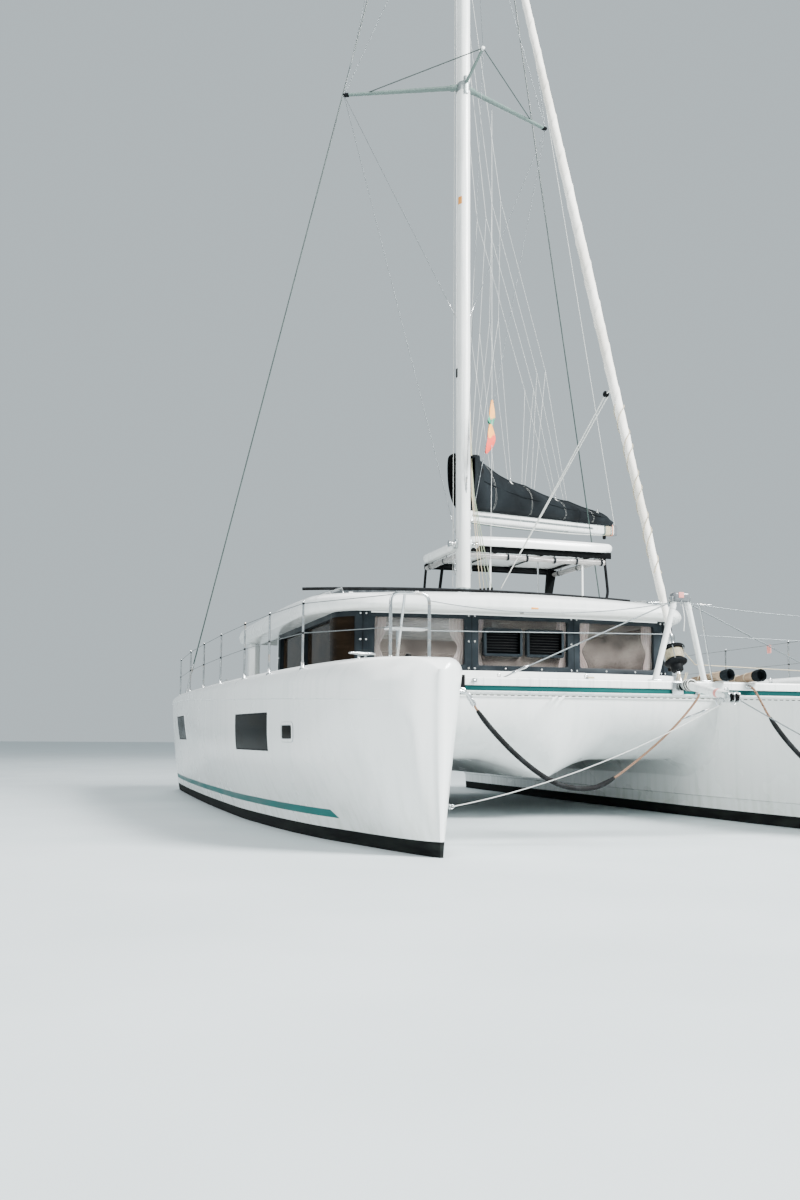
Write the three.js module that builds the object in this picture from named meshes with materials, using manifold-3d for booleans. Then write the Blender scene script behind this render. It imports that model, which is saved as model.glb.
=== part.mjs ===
// Sailing catamaran, afloat: two hulls, bridgedeck, saloon under a coachroof, and a swept rig.
// Millimetres, +Z up. The origin is amidships on the waterline: +X is port, +Y is aft.
import * as THREE from 'three'
import { mergeVertices } from 'three/addons/utils/BufferGeometryUtils.js'
import Module from 'manifold-3d'

const wasm = await Module()
wasm.setup()

// Driving dimensions
const GAP = 0.3
const BOW_Y = -6400
const STERN_Y = 6400
const HULL_X = 2680
const HALF_BEAM = 3850
const DECK_Z = 1690
const SOLE_Z = 1000
const DRAFT = 1250
const MAST_TOP_Z = 20300
const AIR_DRAFT = 20650
const SIDES = { starboard: -1, port: 1 }

// Bridgedeck and saloon
const DECK_FRONT_Y = -2900
const DECK_AFT_Y = 4750
const TUNNEL_Z = 720
const NACELLE_Z = 480
const WALL = 60
const WALL_TOP_Z = 2560
const GLASS = 8
const SALOON_HALF = 2400
const SALOON_FRONT_Y = -1800
const SALOON_CORNER = new THREE.Vector2(2050, -1640)
const BULKHEAD_Y = 2400
const WINDOW_Z = [1900, 2490]
const FRONT_WINDOWS = [[-1950, -800], [-620, 620], [800, 1950]]
const SIDE_WINDOWS = [[-1150, 480], [600, 2250]]
const DOORWAY_X = [-1500, -300]
const DOORWAY_TOP_Z = 2350
const GALLEY_WINDOW_X = [60, 1040]
const GALLEY_WINDOW_Z = [1750, 2330]

// Helm station on the port side of the coachroof
const HELM_X = [1180, 2800]
const HELM_Y = [2520, 3480]
const HELM_SOLE_Z = 1950
const WHEEL = { x: 1950, y: 2880, z: 2830, radius: 360 }
const HARDTOP = { x: [200, 2950], y: [1300, 3680], z: 4030, thick: 80 }

// Bow gear
const BEAM_Y = -5680
const BEAM_Z = [1390, 1540]
const BEAM_HALF_DEPTH = 75
const STRIKER_TOP_Z = 2330
const SPRIT_TIP = new THREE.Vector3(0, -6570, 1360)

// Rig
const MAST_Y = 500
const MAST_FOOT_Z = 3130
const MAST_HALF = { x: 100, y: 140 }
const STAY_FOOT = new THREE.Vector3(0, -5370, 2360)
const STAY_DIRECTION = new THREE.Vector3(0, 1, 2.537).normalize()
const SPREADER_Z = 11070
const SPREADER_TIP = new THREE.Vector2(1740, 1258)
const SHROUD_TOP_Z = 18500
const SHROUD_FOOT = new THREE.Vector3(3780, 3050, 1500)
const SHROUD_RADIUS = 7
const SCREW_RADIUS = 16
const BOOM_PIVOT = new THREE.Vector3(0, 720, 4300)
const BOOM_ANGLE = THREE.MathUtils.degToRad(54)
const BOOM_RISE = 0.11
const BOOM_LENGTH = 5200

// Underwater gear
const KEEL = { y: 350, top: [2300, 320], foot: [1650, 230], topZ: -450, footZ: -DRAFT }
const DRIVE_Y = 3850
const SHAFT_Z = -950
const PROP_Y = 4140
const RUDDER_Y = 5250
const RUDDER_TOP_Z = -470

const FINISH = {
  gelcoat: { color: 0xf2f4f2, roughness: 0.25, metalness: 0 },
  antifouling: { color: 0x16181a, roughness: 0.8, metalness: 0 },
  deck: { color: 0xe9ebe9, roughness: 0.6, metalness: 0 },
  mast: { color: 0xd9dcda, roughness: 0.4, metalness: 0.2 },
  steel: { color: 0xb9bec0, roughness: 0.3, metalness: 1 },
  bronze: { color: 0x8a6a3a, roughness: 0.4, metalness: 1 },
  glass: { color: 0x24282b, roughness: 0.08, metalness: 0 },
  frame: { color: 0x4b4f53, roughness: 0.6, metalness: 0 },
  canvas: { color: 0x3a3e42, roughness: 0.9, metalness: 0 },
  sail: { color: 0xe8e6df, roughness: 0.8, metalness: 0 },
  net: { color: 0xd5d7d3, roughness: 0.9, metalness: 0 },
  black: { color: 0x1b1d1f, roughness: 0.5, metalness: 0 },
  curtain: { color: 0xd9c4bd, roughness: 0.9, metalness: 0 },
  rope: { color: 0x5d3d2b, roughness: 0.9, metalness: 0 },
}

const boat = new THREE.Group()

// Meshes and solids

function place(name, geometry, finish, parent = boat) {
  const mesh = new THREE.Mesh(geometry, new THREE.MeshStandardMaterial(FINISH[finish]))
  mesh.name = name
  parent.add(mesh)
  return mesh
}

function solidOf(geometry) {
  const bare = geometry.clone()
  bare.deleteAttribute('normal')
  bare.deleteAttribute('uv')
  const merged = mergeVertices(bare, 1e-3)
  return new wasm.Manifold(new wasm.Mesh({
    numProp: 3,
    vertProperties: new Float32Array(merged.attributes.position.array),
    triVerts: new Uint32Array(merged.index.array),
  }))
}

function geometryOf(solid) {
  const mesh = solid.getMesh()
  const geometry = new THREE.BufferGeometry()
  geometry.setAttribute('position', new THREE.BufferAttribute(mesh.vertProperties, 3))
  geometry.setIndex(new THREE.BufferAttribute(mesh.triVerts, 1))
  return geometry
}

function joined(...geometries) {
  return geometryOf(geometries.map(solidOf).reduce((sum, next) => sum.add(next)))
}

function cut(geometry, ...cutters) {
  return geometryOf(cutters.map(solidOf).reduce((rest, next) => rest.subtract(next), solidOf(geometry)))
}

function common(geometry, other) {
  return geometryOf(solidOf(geometry).intersect(solidOf(other)))
}

function moved(geometry, x, y, z) {
  return geometry.clone().translate(x, y, z)
}

function box(x, y, z) {
  const geometry = new THREE.BoxGeometry(x[1] - x[0], y[1] - y[0], z[1] - z[0])
  return geometry.translate((x[0] + x[1]) / 2, (y[0] + y[1]) / 2, (z[0] + z[1]) / 2)
}

// The same range on either side of the centreline, in rising order
function sided(side, near, far) {
  return side < 0 ? [-far, -near] : [near, far]
}

function rod(from, to, radius, sides = 8, tipRadius = radius) {
  const along = to.clone().sub(from)
  const geometry = new THREE.CylinderGeometry(tipRadius, radius, along.length(), sides)
  const turn = new THREE.Quaternion().setFromUnitVectors(new THREE.Vector3(0, 1, 0), along.normalize())
  return geometry.applyQuaternion(turn).translate(
    (from.x + to.x) / 2, (from.y + to.y) / 2, (from.z + to.z) / 2)
}

function bentTube(points, radius, sides = 8) {
  const ring = new THREE.Shape()
  ring.absarc(0, 0, radius, 0, 2 * Math.PI)
  const path = new THREE.CatmullRomCurve3(points, false, 'catmullrom', 0.2)
  return new THREE.ExtrudeGeometry(ring, {
    steps: 6 * (points.length - 1), curveSegments: sides / 2, extrudePath: path, bevelEnabled: false })
}

// A prism on a plan outline, from one height to another
function prism(points, z0, z1) {
  const shape = new THREE.Shape(points.map(([x, y]) => new THREE.Vector2(x, y)))
  return new THREE.ExtrudeGeometry(shape, { depth: z1 - z0, bevelEnabled: false }).translate(0, 0, z0)
}

// A prism on a profile of [y, z] points, from one x to another
function sidePrism(points, x0, x1) {
  const geometry = prism(points, x0, x1)
  return geometry.applyMatrix4(new THREE.Matrix4().set(0, 0, 1, 0, 1, 0, 0, 0, 0, 1, 0, 0, 0, 0, 0, 1))
}

// A closed skin over sections, each a ring of Vector3 with the same count of points
function loft(sections) {
  const count = sections[0].length
  const positions = sections.flat().flatMap(point => point.toArray())
  const faces = []
  for (let row = 0; row < sections.length - 1; row += 1) {
    for (let step = 0; step < count; step += 1) {
      const next = (step + 1) % count
      const [a, b] = [row * count + step, row * count + next]
      faces.push(a, b, a + count, b, b + count, a + count)
    }
  }
  faces.push(...capFaces(sections[0], 0, true))
  faces.push(...capFaces(sections.at(-1), (sections.length - 1) * count, false))
  const geometry = new THREE.BufferGeometry()
  geometry.setAttribute('position', new THREE.Float32BufferAttribute(positions, 3))
  geometry.setIndex(faces)
  return facingOut(geometry)
}

// The triangles that close a ring, in the ring's own order or against it
function capFaces(ring, first, reversed) {
  const outline = flatten(ring)
  const against = THREE.ShapeUtils.isClockWise(outline) !== reversed
  return THREE.ShapeUtils.triangulateShape(outline, []).flatMap(([a, b, c]) =>
    (against ? [c, b, a] : [a, b, c]).map(corner => first + corner))
}

// A section ring seen in its own plane
function flatten(ring) {
  const size = new THREE.Box3().setFromPoints(ring).getSize(new THREE.Vector3())
  if (size.z < Math.min(size.x, size.y)) {
    return ring.map(point => new THREE.Vector2(point.x, point.y))
  }
  return ring.map(point => new THREE.Vector2(size.x > size.y ? point.x : point.y, point.z))
}

function facingOut(geometry) {
  const position = geometry.attributes.position
  const index = geometry.index.array
  const [a, b, c] = [new THREE.Vector3(), new THREE.Vector3(), new THREE.Vector3()]
  let volume = 0
  for (let i = 0; i < index.length; i += 3) {
    a.fromBufferAttribute(position, index[i])
    b.fromBufferAttribute(position, index[i + 1])
    c.fromBufferAttribute(position, index[i + 2])
    volume += a.dot(b.cross(c))
  }
  if (volume < 0) {
    geometry.setIndex(Array.from(index).reverse())
  }
  return geometry
}

// A ring of points on a quarter ellipse round a corner, both ends left out
function cornerArc(centre, radii, fromDegrees, toDegrees, count) {
  return Array.from({ length: count }, (_, i) => {
    const angle = THREE.MathUtils.degToRad(fromDegrees + (toDegrees - fromDegrees) * (i + 1) / (count + 1))
    return [centre[0] + radii[0] * Math.cos(angle), centre[1] + radii[1] * Math.sin(angle)]
  })
}

// Hulls

// Half-breadths are from the hull's own centreline: out to the side, in to the tunnel.
// y, deckZ, outKnuckle, knuckleZ, outWater, inDeck, inWater, bottomZ
const HULL_STATIONS = [
  [BOW_Y, 1560, 50, 1280, 20, 45, 20, -150],
  [-6345, 1640, 240, 1295, 42, 150, 38, -290],
  [-6200, 1672, 430, 1300, 90, 250, 80, -380],
  [-5900, 1682, 640, 1310, 180, 350, 160, -450],
  [-5300, DECK_Z, 790, 1330, 330, 450, 290, -510],
  [-4200, DECK_Z, 945, 1360, 580, 520, 440, -560],
  [-2900, DECK_Z, 1050, 1390, 740, 540, 510, -600],
  [-1200, DECK_Z, 1130, 1430, 850, 540, 540, -620],
  [1200, DECK_Z, 1164, 1500, 870, 540, 540, -620],
  [3200, DECK_Z, 1150, 1530, 850, 540, 540, -580],
  [4600, 1680, 1095, 1530, 820, 540, 530, -500],
  [5700, 1660, 1010, 1500, 790, 530, 510, -380],
  [STERN_Y, 1640, 930, 1470, 760, 520, 490, -230],
]
const KNUCKLE_LIP = HALF_BEAM - HULL_X - 1164
const CHINE_Z = 270

function hullSection(side, [y, deckZ, outKnuckle, knuckleZ, outWater, inDeck, inWater, bottomZ]) {
  const shoulder = Math.min(240, outKnuckle * 0.5)
  const inShoulder = Math.min(120, inDeck * 0.5)
  const rise = deckZ - knuckleZ
  const lip = outKnuckle + KNUCKLE_LIP
  const chineIn = inWater + 0.5 * (inDeck - inWater)
  const ring = [
    [0, bottomZ],
    ...cornerArc([0, 0], [outWater, -bottomZ], 270, 360, 3),
    [outWater, 0],
    [outWater + 0.62 * (outKnuckle - outWater), 0.45 * knuckleZ],
    [outKnuckle, knuckleZ],
    [lip, knuckleZ + 20],
    [lip - 6, knuckleZ + 0.35 * rise],
    ...cornerArc([lip - 6 - shoulder, knuckleZ + 0.35 * rise], [shoulder, 0.65 * rise], 0, 90, 3),
    [lip - 6 - shoulder, deckZ],
    [inShoulder - inDeck, deckZ],
    ...cornerArc([inShoulder - inDeck, deckZ - inShoulder], [inShoulder, inShoulder], 90, 180, 2),
    [-inDeck, deckZ - inShoulder],
    [-chineIn - 25, CHINE_Z + 12],
    [-chineIn, CHINE_Z],
    [-inWater, 0],
    ...cornerArc([0, 0], [inWater, -bottomZ], 180, 270, 3),
  ]
  return ring.map(([out, z]) => new THREE.Vector3(side * (HULL_X + out), y, z))
}

// Boarding steps in the stern, between the side walls, and the slanted top of those walls
const STERN_STEPS = [[4750, 1290], [5080, 950], [5410, 620], [5740, 330]]
const STEP_OUT = [-410, 800]
const WALL_SLOPE = [[4950, 1800], [4950, DECK_Z], [6150, 640], [6500, 640], [6500, 1800]]

function hull(side) {
  const skin = loft(HULL_STATIONS.map(station => hullSection(side, station)))
  const [near, far] = STEP_OUT.map(out => HULL_X + out)
  const steps = STERN_STEPS.map(([y, z]) => box(sided(side, near, far), [y, 6500], [z, 1800]))
  const slope = sidePrism(WALL_SLOPE, ...sided(side, 1500, 4500))
  const boss = new THREE.CylinderGeometry(60, 60, 120, 12).rotateX(Math.PI / 2)
  return joined(cut(skin, slope, ...steps), boss.translate(side * HULL_X, RUDDER_Y, RUDDER_TOP_Z + 60))
}

const hulls = {}
for (const [name, side] of Object.entries(SIDES)) {
  hulls[name] = hull(side)
  place(`hull_${name}`, hulls[name], 'gelcoat')
}

// What stands between the hulls or on their decks is cut to them with the gap
const hullsBeside = Object.entries(SIDES).map(([name, side]) => moved(hulls[name], -side * GAP, 0, 0))
const hullsBelow = Object.values(hulls).map(geometry => moved(geometry, 0, 0, GAP))
const hullsAbove = Object.values(hulls).map(geometry => moved(geometry, 0, 0, -GAP))

// Bridgedeck with its nacelle, and the foredeck ahead of the saloon

function bridgedeckBody() {
  const frontTopZ = 1500
  const noseLength = 900
  const halfWidth = 2300
  const across = [-1, -0.75, -0.5, -0.32, -0.22, -0.13, -0.05, 0.05, 0.13, 0.22, 0.32, 0.5, 0.75, 1]
  const noseSteps = [0, 0.02, 0.08, 0.2, 0.4, 0.7, 1]
  const underside = (y, x) => {
    const inNose = Math.min(1, (y - DECK_FRONT_Y) / noseLength)
    const inKeel = Math.min(1, (y - DECK_FRONT_Y) / (0.6 * noseLength))
    const swell = Math.max(0, 1 - Math.abs(x) / 760) ** 1.3
    const tunnel = frontTopZ - (frontTopZ - TUNNEL_Z) * Math.sqrt(1 - (1 - inNose) ** 2)
    const keel = frontTopZ - (frontTopZ - NACELLE_Z) * Math.sqrt(1 - (1 - inKeel) ** 2)
    return tunnel + (keel - tunnel) * swell
  }
  const ys = [...noseSteps.map(part => DECK_FRONT_Y + part * noseLength), 600, DECK_AFT_Y]
  return loft(ys.map(y => [
    ...across.map(part => new THREE.Vector3(part * halfWidth, y, underside(y, part * halfWidth))),
    new THREE.Vector3(halfWidth, y, DECK_Z),
    new THREE.Vector3(-halfWidth, y, DECK_Z),
  ]))
}

const betweenHulls = cut(bridgedeckBody(), ...hullsBeside)
place('bridgedeck', common(betweenHulls, box([-2500, 2500], [-3000, 5000], [0, SOLE_Z])), 'gelcoat')
place('foredeck', common(
  betweenHulls, box([-2500, 2500], [-3000, SALOON_FRONT_Y + 160], [SOLE_Z + GAP, 1800])), 'deck')

// Saloon walls with their windows cut, and the glass behind them

const cornerX = SALOON_CORNER.x
const cornerY = SALOON_CORNER.y

function frontBand(depthFrom, depthTo, zFrom, zTo, end) {
  const outline = [[-end, cornerY], [-700, SALOON_FRONT_Y], [700, SALOON_FRONT_Y], [end, cornerY]]
  return prism([
    ...outline.map(([x, y]) => [x, y + depthFrom]),
    ...outline.toReversed().map(([x, y]) => [x, y + depthTo]),
  ], zFrom, zTo)
}

function sideBand(side, depthFrom, depthTo, zFrom, zTo, yEnd) {
  const curve = depth => [
    [cornerX + GAP, cornerY + depth],
    [2250 - 0.6 * depth, cornerY + 80 + 0.8 * depth],
    [2370 - depth, -1400 + 0.5 * depth],
    [SALOON_HALF - depth, -1200],
    [SALOON_HALF - depth, yEnd],
  ]
  const points = [...curve(depthFrom), ...curve(depthTo).toReversed()].map(([x, y]) => [side * x, y])
  return prism(points, zFrom, zTo)
}

const frontWindows = FRONT_WINDOWS.map(x => box(x, [-2000, -1400], WINDOW_Z))
place('saloon_front', cut(frontBand(0, WALL, DECK_Z + GAP, WALL_TOP_Z, cornerX), ...frontWindows), 'frame')
place('glass_front', frontBand(WALL + GAP, WALL + GLASS, 1840, 2540, cornerX - 10), 'glass')
place('curtain_front', frontBand(WALL + GLASS + GAP, WALL + GLASS + 40, 1840, 2540, cornerX - 60), 'curtain')

for (const [name, side] of Object.entries(SIDES)) {
  const windows = SIDE_WINDOWS.map(y => box(sided(side, 2200, 2500), y, WINDOW_Z))
  const wall = sideBand(side, 0, WALL, DECK_Z + GAP, WALL_TOP_Z, BULKHEAD_Y)
  place(`saloon_side_${name}`, cut(wall, ...windows), 'frame')
  const glass = sideBand(side, WALL + GAP, WALL + GLASS, 1840, 2540, BULKHEAD_Y - GAP)
  place(`glass_side_${name}`, common(glass, box([-2500, 2500], [-1200, 2600], [1800, 2600])), 'glass')
}

const bulkhead = box(
  [-SALOON_HALF, SALOON_HALF], [BULKHEAD_Y + GAP, BULKHEAD_Y + WALL], [SOLE_Z + GAP, WALL_TOP_Z])
const doorway = box(DOORWAY_X, [2300, 2600], [900, DOORWAY_TOP_Z])
const galleyWindow = box(GALLEY_WINDOW_X, [2300, 2600], GALLEY_WINDOW_Z)
place('saloon_bulkhead', cut(bulkhead, doorway, galleyWindow, ...hullsBeside, ...hullsBelow), 'gelcoat')
place('glass_galley', box(
  [GALLEY_WINDOW_X[0] - 20, GALLEY_WINDOW_X[1] + 20],
  [BULKHEAD_Y - GLASS, BULKHEAD_Y],
  [GALLEY_WINDOW_Z[0] - 20, GALLEY_WINDOW_Z[1] + 20]), 'glass')

// Sliding door on the cockpit face of the bulkhead, with its pane
const DOOR_Y = BULKHEAD_Y + WALL + GAP
const DOOR_LAP = 30
const DOOR_STILE = 60
const paneX = [DOORWAY_X[0] + DOOR_STILE, DOORWAY_X[1] - DOOR_STILE]
const paneZ = [SOLE_Z + 110, DOORWAY_TOP_Z - DOOR_STILE]
const doorFrame = box(
  [DOORWAY_X[0] - DOOR_LAP, DOORWAY_X[1] + DOOR_LAP], [DOOR_Y, DOOR_Y + 40],
  [SOLE_Z + 12, DOORWAY_TOP_Z + DOOR_LAP])
place('saloon_door', cut(doorFrame, box(paneX, [DOOR_Y - 50, DOOR_Y + 90], paneZ)), 'frame')
place('saloon_door_glass', box(
  [paneX[0] + GAP, paneX[1] - GAP],
  [DOOR_Y + 16, DOOR_Y + 16 + GLASS],
  [paneZ[0] + GAP, paneZ[1] - GAP]), 'glass')

// Coachroof: a crowned shell on the saloon walls, carried on over the cockpit

// y, halfWidth, bottomZ, topZ
const ROOF_OUTSIDE = [
  [-2160, 2080, 2610, 2730],
  [-2090, 2330, 2566, 2820],
  [-1900, 2530, WALL_TOP_Z + GAP, 2880],
  [-1400, 2680, WALL_TOP_Z + GAP, 2950],
  [-500, 2700, WALL_TOP_Z + GAP, 3050],
  [1500, 2700, WALL_TOP_Z + GAP, 3105],
  [4450, 2700, WALL_TOP_Z + GAP, 3075],
  [4600, 2620, 2620, 3030],
]
const ROOF_INSIDE = [
  [-1560, 1900, 2400, 2760],
  [-1200, 2300, 2400, 2820],
  [0, 2330, 2400, 2950],
  [4400, 2330, 2400, 2960],
]

function roofSection([y, halfWidth, bottomZ, topZ], edge) {
  const height = topZ - bottomZ
  const half = [
    [halfWidth - 0.25 * edge, bottomZ],
    [halfWidth, bottomZ + 0.2 * height],
    ...cornerArc([halfWidth - edge, bottomZ + 0.2 * height], [edge, 0.68 * height], 0, 90, 3),
    [halfWidth - edge, topZ - 0.12 * height],
    [0.5 * halfWidth, topZ - 0.03 * height],
  ]
  const ring = [...half, [0, topZ], ...half.toReversed().map(([x, z]) => [-x, z])]
  return ring.map(([x, z]) => new THREE.Vector3(x, y, z))
}

function coachroof() {
  const outside = loft(ROOF_OUTSIDE.map(station => roofSection(station, 320)))
  const inside = loft(ROOF_INSIDE.map(station => roofSection(station, 60)))
  const helmWell = box(HELM_X, HELM_Y, [2400, 3300])
  const mastStep = box([-190, 190], [MAST_Y - 260, MAST_Y + 300], [3000, MAST_FOOT_Z])
  return cut(joined(outside, mastStep), inside, helmWell)
}

const roof = coachroof()
place('coachroof', roof, 'gelcoat')
const roofBelow = moved(roof, 0, 0, GAP)

for (const [name, side] of Object.entries(SIDES)) {
  const post = prism([[2380, 4150], [2480, 4080], [2560, 4150], [2560, 4380], [2380, 4380]]
    .map(([x, y]) => [side * x, y]), 1600, WALL_TOP_Z)
  place(`roof_post_${name}`, cut(post, ...hullsBelow), 'gelcoat')
}

// Cockpit

place('aft_bench', cut(joined(
  box([-1750, 1750], [4250, 4745], [SOLE_Z + GAP, 1430]),
  box([-1750, 1750], [4640, 4745], [1400, 1790])), ...hullsBeside), 'gelcoat')
place('cockpit_settee', joined(
  box([-2120, -1500], [2900, 4248], [SOLE_Z + GAP, 1430]),
  box([-2120, -2020], [2900, 4248], [1400, 1680])), 'gelcoat')
place('cockpit_table', joined(
  box([-1150, 150], [3050, 3850], [1680, 1720]),
  box([-560, -440], [3390, 3510], [SOLE_Z + GAP, 1690])), 'deck')

// Helm: raised sole, console, wheel, bench and hardtop

place('helm_platform', cut(
  box([HELM_X[0], 2700], [HELM_Y[0] + 15, HELM_Y[1]], [SOLE_Z + GAP, HELM_SOLE_Z]),
  ...hullsBeside, ...hullsBelow), 'gelcoat')
const WHEEL_STAND = 60
place('helm_console', sidePrism([
  [HELM_Y[0] + 20, HELM_SOLE_Z + GAP], [WHEEL.y - 90, HELM_SOLE_Z + GAP],
  [WHEEL.y - WHEEL_STAND, WHEEL.z], [WHEEL.y - 130, 3140], [HELM_Y[0] + 20, 3200]], 1350, 2450), 'gelcoat')
place('helm_seat', joined(
  box([1350, 2450], [3080, 3460], [HELM_SOLE_Z + GAP, 2420]),
  box([1350, 2450], [3390, 3460], [2400, 2840])), 'gelcoat')

function steeringWheel() {
  const rim = new THREE.TorusGeometry(WHEEL.radius, 14, 6, 24)
  const hub = new THREE.CylinderGeometry(45, 45, 50, 12).rotateX(Math.PI / 2)
  const spokes = Array.from({ length: 5 }, (_, i) => new THREE.BoxGeometry(WHEEL.radius, 22, 10)
    .translate(WHEEL.radius / 2, 0, 0).rotateZ(2 * Math.PI * i / 5 + Math.PI / 2))
  const shaftLength = WHEEL_STAND - 25 - GAP
  const shaft = new THREE.CylinderGeometry(18, 18, shaftLength, 10).rotateX(Math.PI / 2)
  return joined(rim, hub, ...spokes, shaft.translate(0, 0, 25 + shaftLength / 2)).rotateX(Math.PI / 2)
}
place('steering_wheel', steeringWheel(), 'steel').position.set(WHEEL.x, WHEEL.y, WHEEL.z)

function hardtopFrame() {
  const [left, right] = [HARDTOP.x[0] + 110, HARDTOP.x[1] - 160]
  const [front, back] = [HARDTOP.y[0] + 150, HARDTOP.y[1] - 90]
  const railZ = HARDTOP.z - GAP - 20
  const corner = (x, y, z) => new THREE.Vector3(x, y, z)
  const posts = [[left, front], [right, front], [left, back], [right - 180, back]]
  const rails = [
    box([left - 20, right + 20], [front - 20, front + 20], [railZ - 20, railZ + 20]),
    box([left - 20, right + 20], [back - 20, back + 20], [railZ - 20, railZ + 20]),
    box([left - 20, left + 20], [front, back], [railZ - 20, railZ + 20]),
    box([right - 20, right + 20], [front, back], [railZ - 20, railZ + 20]),
  ]
  const splay = 60
  const legs = posts.map(([x, y]) => {
    const footX = x < (left + right) / 2 ? x - splay : x + splay
    return rod(corner(footX, y, 3000), corner(x, y, railZ), 24)
  })
  return cut(joined(...rails, ...legs), roofBelow)
}
place('hardtop_frame', hardtopFrame(), 'black')
place('hardtop', loft([HARDTOP.y[0], HARDTOP.y[0] + 120, HARDTOP.y[1] - 120, HARDTOP.y[1]].map((y, i) => {
  const inset = i === 0 || i === 3 ? 60 : 0
  const [left, right] = [HARDTOP.x[0] + inset, HARDTOP.x[1] - inset]
  const top = HARDTOP.z + HARDTOP.thick - inset / 3
  return [[left + 40, HARDTOP.z], [right - 40, HARDTOP.z], [right, HARDTOP.z + 40], [right - 120, top - 8],
    [(left + right) / 2, top], [left + 120, top - 8], [left, HARDTOP.z + 40]]
    .map(([x, z]) => new THREE.Vector3(x, y, z))
})), 'gelcoat')

// Crossbeam, striker, sprit, nets and furler at the bow

function beamRing(x) {
  const [low, high] = BEAM_Z
  const d = BEAM_HALF_DEPTH
  const profile = [[-d + 20, low], [d - 20, low], [d, low + 20], [d, high - 20], [d - 20, high], [20 - d, high],
    [-d, high - 20], [-d, low + 95], [12 - d, low + 85], [12 - d, low + 65], [-d, low + 55], [-d, low + 20]]
  return profile.map(([y, z]) => new THREE.Vector3(x, BEAM_Y + y, z))
}
place('crossbeam', cut(loft([beamRing(-2600), beamRing(2600)]), ...hullsBeside), 'mast')

// The striker's two legs, its head, and a stay with its turnbuckle down to each end of the beam
const beamTop = box([-2500, 2500], [BEAM_Y - 200, BEAM_Y + 200], [1300, BEAM_Z[1] + GAP])
function strikerRod(side, [outTop, topZ], [outFoot, footZ], radius, sides) {
  const top = new THREE.Vector3(side * outTop, BEAM_Y, topZ)
  return rod(top, new THREE.Vector3(side * outFoot, BEAM_Y, footZ), radius, sides)
}
const strikerHead = box([-125, 140], [BEAM_Y - 45, BEAM_Y + 45], [STRIKER_TOP_Z - 75, STRIKER_TOP_Z])
const strikerRods = Object.values(SIDES).flatMap(side => [
  strikerRod(side, [85, STRIKER_TOP_Z - 30], [235, 1500], 30, 8),
  strikerRod(side, [100, STRIKER_TOP_Z - 30], [1880, 1520], 7, 6),
  strikerRod(side, [1570, 1660], [1780, 1566], 14, 8),
])
place('striker', joined(strikerHead, ...strikerRods.map(piece => cut(piece, beamTop))), 'mast')

// The sprit's tip carries the anchor roller
const spritRoot = new THREE.Vector3(0, BEAM_Y - BEAM_HALF_DEPTH + 30, 1506)
const [rollerLeft, rollerRight] = [-80, 80].map(x => SPRIT_TIP.clone().add(new THREE.Vector3(x, 40, -20)))
place('sprit', cut(
  joined(rod(spritRoot, SPRIT_TIP, 58, 14), rod(rollerLeft, rollerRight, 45, 12)),
  box([-200, 200], [BEAM_Y - BEAM_HALF_DEPTH - GAP, BEAM_Y + 200], [1200, 1800])), 'mast')

const NET_Z = [1480, 1495]
for (const [name, side] of Object.entries(SIDES)) {
  const net = box(sided(side, 60, 2500), [BEAM_Y + BEAM_HALF_DEPTH + GAP, DECK_FRONT_Y - GAP], NET_Z)
  place(`trampoline_${name}`, cut(net, ...hullsBeside), 'net')
}

// The furler and the rolled headsail turn about the line of the forestay
function onStay(distance) {
  return STAY_FOOT.clone().addScaledVector(STAY_DIRECTION, distance)
}

function stayLathe(profile, sides) {
  const points = profile.map(([radius, distance]) => new THREE.Vector2(radius, distance))
  const turn = new THREE.Quaternion().setFromUnitVectors(new THREE.Vector3(0, 1, 0), STAY_DIRECTION)
  return new THREE.LatheGeometry(points, sides).applyQuaternion(turn).translate(...STAY_FOOT.toArray())
}
const FURLER_TOP = -300
const ROLL_TOP = 15630
place('furler', cut(stayLathe([
  [0, -920], [22, -920], [22, -720], [60, -700], [60, -640], [130, -625], [138, -605], [75, -590], [75, -490],
  [118, -475], [118, -455], [40, -430], [40, FURLER_TOP], [0, FURLER_TOP]], 16), beamTop), 'black')
place('headsail', cut(stayLathe([
  [0, FURLER_TOP + GAP], [30, FURLER_TOP + GAP], [62, 150], [72, 1200], [86, 5000], [92, 8500], [80, 12000],
  [48, 15000], [14, ROLL_TOP - 300], [12, ROLL_TOP + 60], [0, ROLL_TOP + 60]], 12),
box([-100, 100], [MAST_Y - MAST_HALF.y - GAP, 1000], [16000, 17500])), 'sail')

// Bow seats, one on each bow
for (const [name, side] of Object.entries(SIDES)) {
  const at = (out, y, z) => new THREE.Vector3(side * (HULL_X + out), y, z)
  const hoop = bentTube([
    at(290, -5850, 1600), at(290, -5850, 2160), at(270, -5850, 2230), at(200, -5850, 2260), at(10, -5850, 2260),
    at(-55, -5850, 2230), at(-70, -5850, 2160), at(-70, -5850, 1600)], 16)
  const aftLeg = rod(at(160, -5620, 1600), at(160, -5858, 2258), 12)
  const seat = box(sided(side, HULL_X - 64, HULL_X + 284), [-5870, -5640], [1935, 1975])
  place(`bow_seat_${name}`, cut(joined(hoop, aftLeg, seat), ...hullsBelow), 'steel')
}

// Bridle: a rope from a pad eye inside each bow to the crossbeam, one curve a side
const ROPE_RADIUS = 12
const ROPE_Y = -5830
const BEAM_FACE_Y = BEAM_Y - BEAM_HALF_DEPTH
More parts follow.
